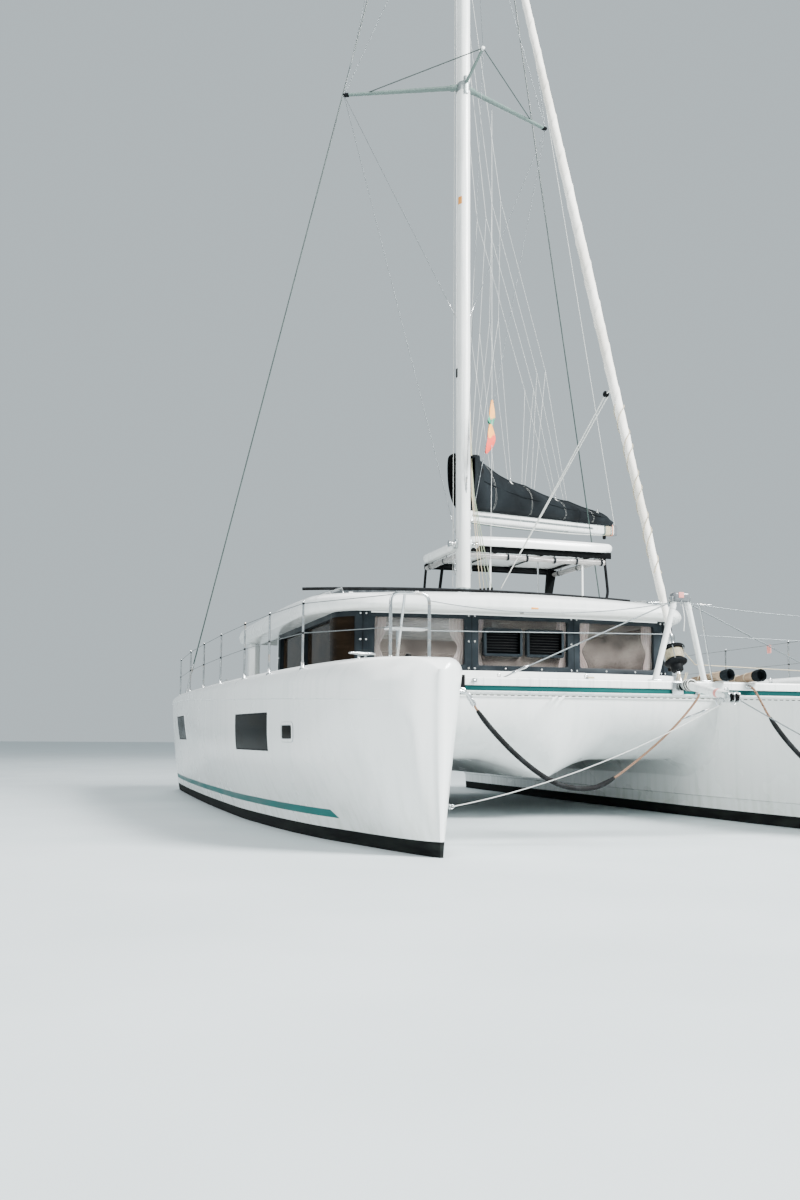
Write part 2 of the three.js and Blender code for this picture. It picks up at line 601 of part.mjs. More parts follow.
// x and z in the rope's own plane, y only where it leaves that plane for the beam
const BRIDLES = {
  starboard: [
    [-2340, 1405], [-2285, 1402], [-2245, 1375], [-2205, 1320], [-2165, 1255], [-2110, 1180], [-2030, 1085],
    [-1930, 980], [-1820, 875], [-1700, 775], [-1570, 680], [-1430, 600], [-1290, 550], [-1150, 530],
    [-1020, 535], [-900, 575], [-770, 645], [-620, 745], [-460, 860], [-300, 985], [-150, 1115], [-20, 1245],
    [60, 1335], [97, 1385, -5828], [122, 1420, -5806], [130, 1432, -5773], [130, 1432, BEAM_FACE_Y + 5],
  ],
  port: [
    [675, 1502, BEAM_FACE_Y + 5], [676, 1502, -5775], [690, 1492, -5808], [716, 1462, -5828], [745, 1415],
    [790, 1340], [850, 1240], [930, 1130], [1020, 1020], [1115, 920], [1210, 830], [1310, 745], [1425, 670],
    [1545, 620], [1665, 605], [1785, 630], [1895, 700], [1990, 800], [2070, 920], [2135, 1045], [2190, 1170],
    [2238, 1290], [2265, 1350], [2298, 1393], [2340, 1405],
  ],
}
const beamFront = box([-2500, 2500], [BEAM_FACE_Y - GAP, BEAM_Y], [1300, 1600])
for (const [name, route] of Object.entries(BRIDLES)) {
  const points = route.map(([x, z, y = ROPE_Y]) => new THREE.Vector3(x, y, z))
  const path = new THREE.CatmullRomCurve3(points)
  const ring = new THREE.Shape()
  ring.absarc(0, 0, ROPE_RADIUS, 0, 2 * Math.PI)
  const steps = Math.round(path.getLength() / (6 * ROPE_RADIUS))
  const options = { steps, curveSegments: 4, extrudePath: path, bevelEnabled: false }
  const rope = new THREE.ExtrudeGeometry(ring, options)
  place(`bridle_${name}`, cut(rope, beamFront, ...hullsBeside), 'rope')
}

// Stanchions with two lifelines along each side, joined into one rail
// y, out
const STANCHIONS = [
  [-5100, 700], [-3700, 890], [-2200, 990], [-600, 1040], [1000, 1055], [2600, 1055], [4700, 975],
]
for (const [name, side] of Object.entries(SIDES)) {
  const at = (out, y, z) => new THREE.Vector3(side * (HULL_X + out), y, z)
  const posts = STANCHIONS.map(([y, out]) => rod(at(out, y, 1450), at(out, y, 2300), 12, 6))
  const lines = [1990, 2280].flatMap(z => STANCHIONS.slice(1).map(([y, out], i) => {
    const [lastY, lastOut] = STANCHIONS[i]
    return rod(at(lastOut, lastY, z), at(out, y, z), 4, 5)
  }))
  place(`lifelines_${name}`, cut(joined(...posts, ...lines), ...hullsBelow), 'steel')
}

// Deck lids, hinged along their aft edges
for (const [name, side] of Object.entries(SIDES)) {
  const [lidX, hatchX] = [sided(side, 420, 1180), sided(side, HULL_X - 260, HULL_X + 260)]
  place(`foredeck_lid_${name}`, box(lidX, [-2700, -2050], [DECK_Z + GAP, DECK_Z + 25]), 'deck')
  place(`bow_hatch_${name}`, box(hatchX, [-4900, -4340], [DECK_Z + GAP, DECK_Z + 30]), 'deck')
}

// Mast, spreaders, jumper strut and shrouds

function mastRing(z, scale, grow) {
  return Array.from({ length: 16 }, (_, i) => {
    const angle = 2 * Math.PI * i / 16
    const across = (MAST_HALF.x * scale + grow) * Math.cos(angle)
    const along = (MAST_HALF.y * scale + grow) * Math.sin(angle)
    return new THREE.Vector3(across, MAST_Y + along, z)
  })
}

const TAPER_Z = 16500
function mastTube(grow) {
  const foot = mastRing(MAST_FOOT_Z + GAP, 1, grow)
  return loft([foot, mastRing(TAPER_Z, 1, grow), mastRing(MAST_TOP_Z, 0.72, grow)])
}

const TANG_Z = SHROUD_TOP_Z - 60
const tangs = box([-125, 125], [MAST_Y + 60, MAST_Y + 110], [TANG_Z, TANG_Z + 60])
const aerial = rod(new THREE.Vector3(0, MAST_Y, MAST_TOP_Z - 20), new THREE.Vector3(0, MAST_Y, AIR_DRAFT), 8, 6)
const gooseneck = box([-28, 28], [MAST_Y + 100, BOOM_PIVOT.y + 22], [BOOM_PIVOT.z - 60, BOOM_PIVOT.z])
place('mast', joined(mastTube(0), tangs, aerial, gooseneck), 'mast')

// Each shroud runs straight from the gunwale, aft of the spreader's tip, to its tang on the mast
const spreaderRoot = new THREE.Vector3(0, MAST_Y, SPREADER_Z)
function shroudTube(side) {
  const foot = SHROUD_FOOT.clone().multiply(new THREE.Vector3(side, 1, 1))
  const head = new THREE.Vector3(side * 112, MAST_Y + 85, TANG_Z - GAP)
  const screw = foot.clone().lerp(head, 0.04)
  const neck = foot.clone().lerp(head, 0.042)
  const rings = [[foot, SCREW_RADIUS], [screw, SCREW_RADIUS], [neck, SHROUD_RADIUS], [head, SHROUD_RADIUS]]
  return loft(rings.map(([centre, size]) => Array.from({ length: 8 }, (_, i) => {
    const angle = 2 * Math.PI * i / 8
    return new THREE.Vector3(centre.x + size * Math.cos(angle), centre.y + size * Math.sin(angle), centre.z)
  })))
}
for (const [name, side] of Object.entries(SIDES)) {
  const tip = new THREE.Vector3(side * SPREADER_TIP.x, SPREADER_TIP.y, SPREADER_Z)
  place(`spreader_${name}`, cut(rod(spreaderRoot, tip, 52, 10, 34), mastTube(GAP)), 'mast')
  place(`cap_shroud_${name}`, cut(shroudTube(side), ...hullsBelow), 'steel')
}

const jumperRoot = new THREE.Vector3(0, MAST_Y - 60, 11075)
const jumperTip = new THREE.Vector3(0, -390, 11220)
place('jumper_strut', cut(rod(jumperRoot, jumperTip, 26, 8, 20), mastTube(GAP)), 'mast')

// Boom and its bag swing together about the gooseneck

const boomSwing = new THREE.Group()
boomSwing.position.copy(BOOM_PIVOT)
boomSwing.rotation.z = -BOOM_ANGLE
boat.add(boomSwing)

function boomRing(y, halfWidth, lowZ, highZ) {
  const lift = BOOM_RISE * y
  const ring = [[-0.6, 0], [0.6, 0], [1, 0.25], [1, 0.75], [0.6, 1], [-0.6, 1], [-1, 0.75], [-1, 0.25]]
  return ring.map(([x, part]) => new THREE.Vector3(x * halfWidth, y, lift + lowZ + part * (highZ - lowZ)))
}
const BOOM_LOW = -50
const BOOM_HIGH = 145
const eye = new THREE.CylinderGeometry(26, 26, 90, 12).rotateX(Math.PI / 2).translate(0, 0, 45 + GAP)
const neck = box([-20, 20], [10, 80], [20, 80])
place('boom', joined(
  loft([boomRing(60, 62, BOOM_LOW, BOOM_HIGH), boomRing(4200, 62, BOOM_LOW, BOOM_HIGH),
    boomRing(BOOM_LENGTH, 50, BOOM_LOW + 30, BOOM_HIGH)]), eye, neck), 'mast', boomSwing)

// y, halfWidth, height above the boom's top
const BAG_STATIONS = [
  [110, 310, 760], [350, 240, 790], [2000, 190, 400], [3300, 165, 240], [4500, 130, 230], [4950, 90, 120],
]
place('boom_bag', loft(BAG_STATIONS.map(([y, halfWidth, height]) => {
  const base = BOOM_RISE * y + BOOM_HIGH + GAP
  const half = [[0.3, 0], [0.9, 0.16], [1, 0.4], [0.75, 0.75], [0.2, 1]]
  const ring = [...half, ...half.toReversed().map(([x, part]) => [-x, part])]
  return ring.map(([x, part]) => new THREE.Vector3(x * halfWidth, y, base + part * height))
})), 'canvas', boomSwing)

// Stub keels, saildrives, propellers and rudders under each hull

function foilRing(y, chord, thick, z) {
  const ring = [[-0.5, 0], [-0.42, 0.55], [-0.2, 1], [0.1, 0.85], [0.5, 0.06]]
  const half = ring.map(([along, part]) => [along * chord, part * thick / 2])
  const back = half.slice(1).toReversed().map(([along, out]) => [along, -out])
  return [...half, ...back].map(([along, out]) => new THREE.Vector3(out, y + along, z))
}

const HUB_LENGTH = 130
function propeller() {
  const hub = new THREE.CylinderGeometry(30, 42, HUB_LENGTH, 12)
  const blades = Array.from({ length: 3 }, (_, i) => new THREE.BoxGeometry(95, 14, 190)
    .rotateZ(THREE.MathUtils.degToRad(32)).translate(0, 0, 125).rotateY(2 * Math.PI * i / 3))
  return joined(hub, ...blades)
}

for (const [name, side] of Object.entries(SIDES)) {
  const x = side * HULL_X
  place(`keel_${name}`, cut(loft([
    foilRing(KEEL.y, ...KEEL.top, KEEL.topZ), foilRing(KEEL.y + 80, ...KEEL.foot, KEEL.footZ),
  ]).translate(x, 0, 0), ...hullsAbove), 'antifouling')
  const leg = loft([foilRing(DRIVE_Y, 330, 120, -400), foilRing(DRIVE_Y, 300, 100, SHAFT_Z)]).translate(x, 0, 0)
  const podFront = new THREE.Vector3(x, DRIVE_Y - 190, SHAFT_Z)
  const podBack = new THREE.Vector3(x, PROP_Y - HUB_LENGTH / 2 - GAP, SHAFT_Z)
  place(`saildrive_${name}`, cut(joined(leg, rod(podFront, podBack, 52, 12, 44)), ...hullsAbove), 'antifouling')
  place(`propeller_${name}`, propeller(), 'bronze').position.set(x, PROP_Y, SHAFT_Z)
  const stock = rod(new THREE.Vector3(0, 0, -60), new THREE.Vector3(0, 0, -GAP), 32, 12)
  const blade = loft([foilRing(80, 470, 74, -20), foilRing(60, 330, 46, -700)])
  place(`rudder_${name}`, joined(stock, blade), 'antifouling').position.set(x, RUDDER_Y, RUDDER_TOP_Z)
}

export default boat
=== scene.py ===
"""Sailing catamaran afloat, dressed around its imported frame.

Metres. The origin is amidships on the waterline: +X is port, +Y is aft, +Z is up.
"""
import math

import bmesh
import bpy
from mathutils import Matrix, Quaternion, Vector


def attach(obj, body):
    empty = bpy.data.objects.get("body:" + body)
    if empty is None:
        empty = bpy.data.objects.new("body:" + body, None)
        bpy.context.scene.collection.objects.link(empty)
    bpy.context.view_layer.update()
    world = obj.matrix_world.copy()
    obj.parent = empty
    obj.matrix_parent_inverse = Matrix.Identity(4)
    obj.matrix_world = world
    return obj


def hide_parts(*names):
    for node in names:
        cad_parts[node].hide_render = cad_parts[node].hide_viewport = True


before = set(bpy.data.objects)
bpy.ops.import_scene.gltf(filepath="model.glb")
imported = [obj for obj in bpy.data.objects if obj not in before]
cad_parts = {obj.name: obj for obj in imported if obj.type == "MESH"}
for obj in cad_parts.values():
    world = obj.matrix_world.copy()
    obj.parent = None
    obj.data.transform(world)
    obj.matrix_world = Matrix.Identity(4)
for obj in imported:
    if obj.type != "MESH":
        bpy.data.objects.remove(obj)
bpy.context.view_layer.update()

SIDES = {"starboard": -1, "port": 1}
UP = (0, 0, 1)
AFT = (0, 1, 0)
PORT = (1, 0, 0)

# Hull and deck sizes, the same as the solids'
HULL_X = 2.68
DECK_Z = 1.69
SOLE_Z = 1.0
CHINE_Z = 0.27
KNUCKLE_LIP = 0.006
PANEL_DEPTH = 0.016
DECK_FRONT_Y = -2.9
DECK_AFT_Y = 4.75
TUNNEL_Z = 0.72
NACELLE_Z = 0.48
WALL_TOP_Z = 2.56
SALOON_FRONT_Y = -1.8
SALOON_CORNER = (2.05, -1.64)
SALOON_HALF = 2.4
BULKHEAD_Y = 2.4
BEAM_Y = -5.68
BEAM_Z = (1.39, 1.54)
SPRIT_TIP = Vector((0, -6.57, 1.36))
MAST_Y = 0.5
MAST_FOOT_Z = 3.13
MAST_TOP_Z = 20.3
STAY_FOOT = Vector((0, -5.37, 2.36))
STAY_DIRECTION = Vector((0, 1, 2.537)).normalized()
SPREADER_Z = 11.07
SPREADER_TIP = (1.74, 1.258)
SHROUD_TOP_Z = 18.44
SHROUD_FOOT = (3.78, 3.05, 1.5)
BOOM_PIVOT = Vector((0, 0.72, 4.3))
BOOM_ANGLE = math.radians(54)
BOOM_RISE = 0.095


def linked(name, data):
    """A new object in the scene."""
    thing = bpy.data.objects.new(name, data)
    bpy.context.scene.collection.objects.link(thing)
    return thing


# Camera, at the photograph's place and angle

CAMERA_PLACE = (-5.84, -15.69, 0.99)
CAMERA_ANGLES = (16.72, 6.69, 0.37)


def make_camera():
    data = bpy.data.cameras.new("camera")
    data.lens = 35.0
    data.sensor_width = 36.0
    data.clip_end = 500
    camera = linked("camera", data)
    yaw, pitch, roll = (math.radians(angle) for angle in CAMERA_ANGLES)
    ahead = Vector((math.sin(yaw), math.cos(yaw), 0))
    right = Vector((math.cos(yaw), -math.sin(yaw), 0))
    up = Vector(UP)
    view = ahead * math.cos(pitch) + up * math.sin(pitch)
    level_up = up * math.cos(pitch) - ahead * math.sin(pitch)
    across = right * math.cos(roll) + level_up * math.sin(roll)
    upright = level_up * math.cos(roll) - right * math.sin(roll)
    turn = Matrix((across, upright, -view)).transposed()
    camera.matrix_world = Matrix.Translation(CAMERA_PLACE) @ turn.to_4x4()
    bpy.context.scene.camera = camera


make_camera()


# Materials

def linear(code):
    """An sRGB hex colour as linear red, green, blue and alpha."""
    channels = [int(code[i:i + 2], 16) / 255 for i in (1, 3, 5)]
    return (*[c / 12.92 if c <= 0.04045 else ((c + 0.055) / 1.055) ** 2.4 for c in channels], 1)


def add_node(tree, kind, inputs=None, **settings):
    """A node with its settings. Each input is given a value, or a socket to link from."""
    node = tree.nodes.new(kind)
    for name, value in settings.items():
        setattr(node, name, value)
    for key, value in (inputs or {}).items():
        if isinstance(value, bpy.types.NodeSocket):
            tree.links.new(value, node.inputs[key])
        else:
            node.inputs[key].default_value = value
    return node


class Finish:
    """A material under construction: its tree, its shader and its object coordinates."""

    def __init__(self, name, colour, roughness, **shader_values):
        self.material = bpy.data.materials.new(name)
        self.material.use_nodes = True
        self.tree = self.material.node_tree
        self.shader = self.tree.nodes["Principled BSDF"]
        self.set("Base Color", linear(colour))
        self.set("Roughness", roughness)
        for key, value in shader_values.items():
            self.set(key.replace("_", " "), value)
        self.place = add_node(self.tree, "ShaderNodeTexCoord").outputs["Object"]

    def set(self, key, value):
        self.shader.inputs[key].default_value = value

    def node(self, kind, inputs=None, **settings):
        return add_node(self.tree, kind, inputs, **settings)

    def stretched(self, x, y, z):
        """Object coordinates, counted in repeats a metre along each axis."""
        return self.node("ShaderNodeMapping", {"Vector": self.place, "Scale": (x, y, z)}).outputs[0]

    def ramp(self, value, low, high, to_low=0.0, to_high=1.0):
        """A value's range from low to high, brought to another range and held there."""
        return self.node("ShaderNodeMapRange", {
            "Value": value, "From Min": low, "From Max": high, "To Min": to_low, "To Max": to_high,
        }).outputs[0]

    def colour(self, factor, first, second):
        """Two colours, each a hex code or a socket, mixed by a factor."""
        first, second = (linear(c) if isinstance(c, str) else c for c in (first, second))
        mix = self.node("ShaderNodeMix", {0: factor, 6: first, 7: second}, data_type="RGBA")
        return mix.outputs[2]

    def noise(self, scale, detail, repeats=None):
        """Cloudy noise over the object, or over its stretched coordinates."""
        place = self.stretched(*repeats) if repeats else self.place
        return self.node("ShaderNodeTexNoise", {"Vector": place, "Scale": scale, "Detail": detail}).outputs[0]

    def wave(self, repeats, direction="X", **inputs):
        """Soft bands that follow each other in a direction."""
        inputs = {"Vector": self.stretched(*repeats), "Scale": 1.0, **inputs}
        return self.node("ShaderNodeTexWave", inputs, bands_direction=direction).outputs[1]

    def height(self):
        return self.node("ShaderNodeSeparateXYZ", {0: self.place}).outputs["Z"]

    def times(self, first, second):
        return self.node("ShaderNodeMath", {0: first, 1: second}, operation="MULTIPLY").outputs[0]

    def link(self, key, value):
        self.tree.links.new(value, self.shader.inputs[key])

    def tint(self, factor, first, second):
        """The surface's colour, mixed of two."""
        self.link("Base Color", self.colour(factor, first, second))

    def dull(self, value, low, high, smooth, rough):
        """The surface's roughness, from smooth to rough as a value rises."""
        self.link("Roughness", self.ramp(value, low, high, smooth, rough))

    def bump(self, height, distance, strength=1.0, under=None):
        inputs = {"Height": height, "Distance": distance, "Strength": strength}
        if under:
            inputs["Normal"] = under
        normal = self.node("ShaderNodeBump", inputs).outputs[0]
        self.link("Normal", normal)
        return normal


def white_gelcoat():
    """Polyester gelcoat out of a polished mould: deep gloss, a slightly wavy skin, rain streaks that have
    greyed it, and a yellow-green bloom just above the waterline."""
    f = Finish("white_gelcoat", "#eef1ef", 0.24, Coat_Weight=0.4, Coat_Roughness=0.12, IOR=1.5)
    streaks = f.noise(1.0, 4.0, (9, 9, 0.5))
    clouds = f.noise(0.9, 3.0)
    near_water = f.ramp(f.height(), 0.02, 0.55, 1.0, 0.0)
    bloom = f.times(near_water, f.ramp(streaks, 0.42, 0.66))
    faded = f.colour(f.ramp(streaks, 0.5, 0.74, 0.0, 0.5), "#f1f3f1", "#d9dfdc")
    clouded = f.colour(f.ramp(clouds, 0.4, 0.7, 0.0, 0.35), faded, "#e2e8e6")
    f.tint(f.ramp(bloom, 0, 1, 0, 0.45), clouded, "#c9cfbd")
    f.dull(clouds, 0.35, 0.7, 0.2, 0.36)
    f.bump(clouds, 0.0025, 0.35)
    return f.material


def non_slip_deck():
    """Gelcoat moulded with a diamond tread, drawn at 16 mm pitch so that it shows: duller and greyer than
    the smooth gelcoat round it, with footmarks worn in."""
    f = Finish("non_slip_deck", "#dfe2e0", 0.6, IOR=1.5)
    turned = f.node("ShaderNodeMapping", {
        "Vector": f.place, "Rotation": (0, 0, math.radians(45)), "Scale": (62, 62, 0)}).outputs[0]
    tread = f.node("ShaderNodeTexVoronoi", {"Vector": turned, "Scale": 1.0, "Randomness": 0.0},
                   distance="CHEBYCHEV").outputs["Distance"]
    wear = f.noise(2.3, 5.0)
    f.tint(f.ramp(wear, 0.35, 0.7), "#e6e8e5", "#cfd3d0")
    f.dull(wear, 0.3, 0.7, 0.5, 0.72)
    f.bump(f.ramp(tread, 0.25, 0.4), 0.0012, 0.6)
    return f.material


def antifouling():
    """Black antifouling rolled on by hand: dead matt, with lap marks and a chalky, greenish tide band."""
    f = Finish("black_antifouling", "#0c0d0e", 0.82, Specular_IOR_Level=0.1)
    laps = f.noise(2.0, 6.0, (1.5, 1.5, 7))
    tide = f.times(f.ramp(f.height(), -0.15, 0.1), f.ramp(laps, 0.4, 0.65))
    painted = f.colour(f.ramp(laps, 0.35, 0.7), "#0a0b0c", "#17191b")
    f.tint(f.ramp(tide, 0, 1, 0, 0.35), painted, "#2c322a")
    f.dull(laps, 0.3, 0.7, 0.7, 0.9)
    f.bump(laps, 0.002, 0.4)
    return f.material


def teal_stripe():
    """Cast vinyl stripe stuck on the gelcoat: satin, with a little fading along its length."""
    f = Finish("teal_vinyl", "#0c5a57", 0.5, IOR=1.48, Specular_IOR_Level=0.08)
    fade = f.noise(1.0, 4.0, (1, 1.2, 9))
    f.tint(f.ramp(fade, 0.35, 0.7), "#0a5653", "#1c6a67")
    f.dull(fade, 0.35, 0.7, 0.28, 0.45)
    return f.material


def tinted_acrylic(name="smoked_acrylic", dark="#7b7673", light="#a09891", alpha=0.4, shine=0.3):
    """Smoked acrylic sheet, partly see-through and glossy: its paler grey-brown is partly haze from sun and
    fine crazing, partly painted reflection.
    """
    f = Finish(name, light, 0.12, IOR=1.49, Alpha=alpha, Specular_IOR_Level=shine)
    haze_and_painted_reflection = f.noise(3.0, 5.0)
    f.tint(f.ramp(haze_and_painted_reflection, 0.38, 0.66), dark, light)
    f.dull(haze_and_painted_reflection, 0.4, 0.75, 0.04, 0.16)
    return f.material


def hull_glazing(name="dark_hull_acrylic", dark="#070908", warm="#15140e"):
    """Bonded hull window of near-black acrylic: hazed by a film of salt, with a brown-green depth."""
    f = Finish(name, dark, 0.22, IOR=1.49, Specular_IOR_Level=0.015)
    depth = f.noise(1.0, 3.0, (1.5, 1.5, 5))
    f.tint(f.ramp(depth, 0.4, 0.65), dark, warm)
    f.dull(depth, 0.4, 0.75, 0.18, 0.32)
    return f.material


def grey_frame():
    """Two-pack satin grey paint on the saloon's window band: fine orange peel and salt dulling."""
    f = Finish("satin_grey_paint", "#1a2024", 0.45, IOR=1.5, Specular_IOR_Level=0.1)
    peel = f.noise(220.0, 2.0)
    salt = f.noise(4.0, 6.0)
    f.tint(f.ramp(salt, 0.4, 0.75), "#181e22", "#242b2f")
    f.dull(salt, 0.35, 0.7, 0.36, 0.55)
    f.bump(peel, 0.0004, 0.3)
    return f.material


def curtain_cloth():
    """Thin plain-woven curtain, drawn at 4 mm threads so that the weave shows: pinkish white and soft."""
    f = Finish("curtain_weave", "#e8d8d3", 0.9, Sheen_Weight=0.3, Subsurface_Weight=0.1)
    threads = f.wave((250, 250, 250), "Z", Distortion=1.0)
    sun = f.noise(1.0, 3.0, (3, 3, 0.6))
    f.tint(f.ramp(sun, 0.35, 0.7), "#fdf6f3", "#f2dad5")
    f.bump(threads, 0.0006, 0.3)
    return f.material


def painted_alloy(name="white_painted_alloy", base="#e7e9e6", scuffed="#c3c8c6"):
    """Two-pack painted aluminium extrusion: smooth and satin, with rope scuffs that run along it."""
    f = Finish(name, base, 0.32, Coat_Weight=0.3, Coat_Roughness=0.2, IOR=1.5)
    scuffs = f.noise(1.0, 6.0, (26, 26, 1.1))
    grime = f.noise(1.7, 4.0)
    worn = f.colour(f.ramp(scuffs, 0.52, 0.75), base, scuffed)
    f.tint(f.ramp(grime, 0.45, 0.8, 0, 0.35), worn, scuffed)
    f.dull(scuffs, 0.4, 0.7, 0.27, 0.46)
    f.bump(scuffs, 0.0004, 0.4)
    return f.material


def bare_alloy():
    """Anodised aluminium, as on the spreaders and tracks: dull silver, faintly streaked along its length."""
    f = Finish("anodised_alloy", "#99a1a1", 0.42, Metallic=0.85)
    streaks = f.noise(1.0, 4.0, (3, 40, 40))
    f.tint(f.ramp(streaks, 0.4, 0.7), "#8f9898", "#b4bab9")
    f.dull(streaks, 0.35, 0.7, 0.34, 0.52)
    return f.material


def stainless(name="polished_stainless", shade="#c3c7c8", roughness=0.16):
    """Polished 316 stainless: bright and hard-edged, with tea-stained and brushed patches."""
    f = Finish(name, shade, roughness, Metallic=1.0)
    stains = f.noise(11.0, 5.0)
    f.tint(f.ramp(stains, 0.55, 0.8), shade, "#a58f78")
    f.dull(stains, 0.35, 0.7, roughness, roughness + 0.16)
    return f.material


def wire_rope():
    """Stranded stainless wire with its lay drawn at 12 mm: painted shade darkens it between the strands, so
    it reads grey.
    """
    f = Finish("stranded_wire", "#5f6668", 0.38, Metallic=0.8)
    lay = f.wave((60, 60, 84), "DIAGONAL")
    # Painted shade in the grooves between the strands
    f.tint(lay, "#3f4547", "#868d8f")
    f.bump(lay, 0.0008, 0.6)
    return f.material


def bronze():
    """Cast manganese bronze under water: brown, with a green-grey bloom and casting grain."""
    f = Finish("cast_bronze", "#7d5a33", 0.45, Metallic=0.9)
    grain = f.noise(60.0, 5.0)
    bloom = f.noise(9.0, 5.0)
    f.tint(f.ramp(bloom, 0.5, 0.75), "#7d5a33", "#5f7362")
    f.dull(bloom, 0.4, 0.7, 0.35, 0.6)
    f.bump(grain, 0.0006, 0.4)
    return f.material


def black_plastic():
    """Moulded black nylon and black powder coat: matt, greyed by the sun in patches, with a fine grain."""
    f = Finish("black_moulding", "#0b0c0d", 0.5, IOR=1.5, Specular_IOR_Level=0.06)
    grain = f.noise(350.0, 2.0)
    chalk = f.noise(7.0, 5.0)
    f.tint(f.ramp(chalk, 0.4, 0.75), "#090a0b", "#1a1c1e")
    f.dull(chalk, 0.35, 0.7, 0.42, 0.62)
    f.bump(grain, 0.0003, 0.4)
    return f.material


def canvas(name="charcoal_canvas", dark="#0f1214", faded="#1d2225"):
    """Solution-dyed acrylic canvas, its 1 mm plain weave drawn at 5 mm: matt charcoal that the sun has faded
    in broad patches, all but without sheen."""
    f = Finish(name, dark, 0.92, Sheen_Weight=0.015, Sheen_Roughness=0.5, Specular_IOR_Level=0.04)
    warp = f.wave((200, 200, 200))
    weft = f.wave((200, 200, 200), "Z")
    weave = f.times(warp, weft)
    sun = f.noise(1.6, 5.0)
    f.tint(f.ramp(sun, 0.35, 0.72), dark, faded)
    f.bump(weave, 0.0012, 0.45)
    return f.material


def sailcloth():
    """Woven polyester sailcloth and its sun strip: stiff, off-white, with fine creases round the roll."""
    f = Finish("sailcloth", "#ebe8e0", 0.62, Sheen_Weight=0.1, IOR=1.5)
    creases = f.noise(1.0, 6.0, (16, 16, 3))
    stains = f.noise(1.3, 5.0)
    f.tint(f.ramp(stains, 0.42, 0.75), "#f0ede6", "#cfcabd")
    f.bump(creases, 0.006, 0.35)
    return f.material


def rope(name, dark, light, pitch_mm=16):
    """Braided or laid rope: fibre matt, with its strands as slanting ridges at their own pitch and painted
    shade in the grooves between them.
    """
    f = Finish(name, dark, 0.88, Sheen_Weight=0.25)
    turns = 1000 / pitch_mm
    strands = f.wave((turns, turns, turns), "DIAGONAL")
    dirt = f.noise(6.0, 5.0)
    # Darker between the strands: painted shade in the grooves
    mixed = f.colour(f.ramp(strands, 0.1, 0.9), dark, light)
    f.tint(f.ramp(dirt, 0.5, 0.8, 0, 0.5), mixed, dark)
    f.bump(strands, 0.0015, 0.7)
    return f.material


def rubber_sleeve():
    """Black fabric-reinforced hose over the bridle where it would chafe: matt, ribbed and scuffed grey."""
    f = Finish("black_hose", "#0b0c0d", 0.68, Specular_IOR_Level=0.15)
    ribs = f.wave((120, 0, 120), "DIAGONAL")
    scuffs = f.noise(18.0, 6.0)
    f.tint(f.ramp(scuffs, 0.5, 0.75), "#0a0b0c", "#232527")
    f.bump(ribs, 0.0006, 0.4)
    return f.material


def clear_vinyl():
    """Clear vinyl windows rolled up tight: milky and glossy, with long reflections painted into its colour as
    light and dark streaks.
    """
    f = Finish("rolled_clear_vinyl", "#9d9b98", 0.2, IOR=1.53, Alpha=0.75, Coat_Weight=0.3)
    wrinkles_and_painted_reflections = f.noise(1.0, 4.0, (4, 60, 60))
    # Light and dark streaks: painted reflections along the roll
    f.tint(f.ramp(wrinkles_and_painted_reflections, 0.35, 0.7), "#b5b1ad", "#6d6c6b")
    f.bump(wrinkles_and_painted_reflections, 0.004, 0.5)
    return f.material


def flag_cloth(name, split, upper, lower):
    """Light flag nylon, sun-bleached, its two colours meeting at a height: slightly shiny and thin."""
    f = Finish(name, upper, 0.7, Sheen_Weight=0.2)
    height = f.height()
    ripple = f.noise(9.0, 2.0)
    edge = f.node("ShaderNodeMath", {0: ripple, 1: 0.3, 2: height}, operation="MULTIPLY_ADD").outputs[0]
    f.tint(f.ramp(edge, split + 0.13, split + 0.16), lower, upper)
    return f.material


def orange_lens():
    """Moulded orange lamp lens: glossy, ribbed acrylic."""
    f = Finish("orange_lens", "#e79a3c", 0.2, IOR=1.49, Coat_Weight=0.4)
    ribs = f.wave((300, 0, 0))
    f.tint(ribs, "#e9a24a", "#cf7f28")
    return f.material


def solar_cells():
    """Silicon cells under a clear sheet: blue-black squares of 125 mm, pale gaps and fine silver busbars."""
    f = Finish("solar_cells", "#141a26", 0.16, Coat_Weight=0.4, Coat_Roughness=0.08)
    gaps = f.node("ShaderNodeTexBrick", {"Vector": f.place, "Color1": linear("#141a28"),
                                         "Color2": linear("#192235"), "Mortar": linear("#5b6470"),
                                         "Scale": 1.0, "Mortar Size": 0.003, "Brick Width": 0.125,
                                         "Row Height": 0.125}, offset=0.0).outputs[0]
    bars = f.wave((8, 0, 0))
    f.tint(f.ramp(bars, 0.985, 1.0, 0, 0.5), gaps, "#8f979f")
    return f.material


def joinery_wood():
    """Cabin joinery in oiled oak veneer: brown, with long grain at 8 mm pitch."""
    f = Finish("oak_veneer", "#6b4c33", 0.5, Coat_Weight=0.1)
    grain = f.noise(1.0, 5.0, (120, 3, 12))
    f.tint(f.ramp(grain, 0.35, 0.68), "#543a27", "#8a6647")
    f.bump(grain, 0.0006, 0.3)
    return f.material


def floor_paint():
    """A pale painted studio floor."""
    f = Finish("studio_floor", "#c9d1d3", 0.55)
    grain = f.noise(0.6, 4.0)
    f.tint(f.ramp(grain, 0.35, 0.7), "#ccd4d6", "#c3ccce")
    return f.material


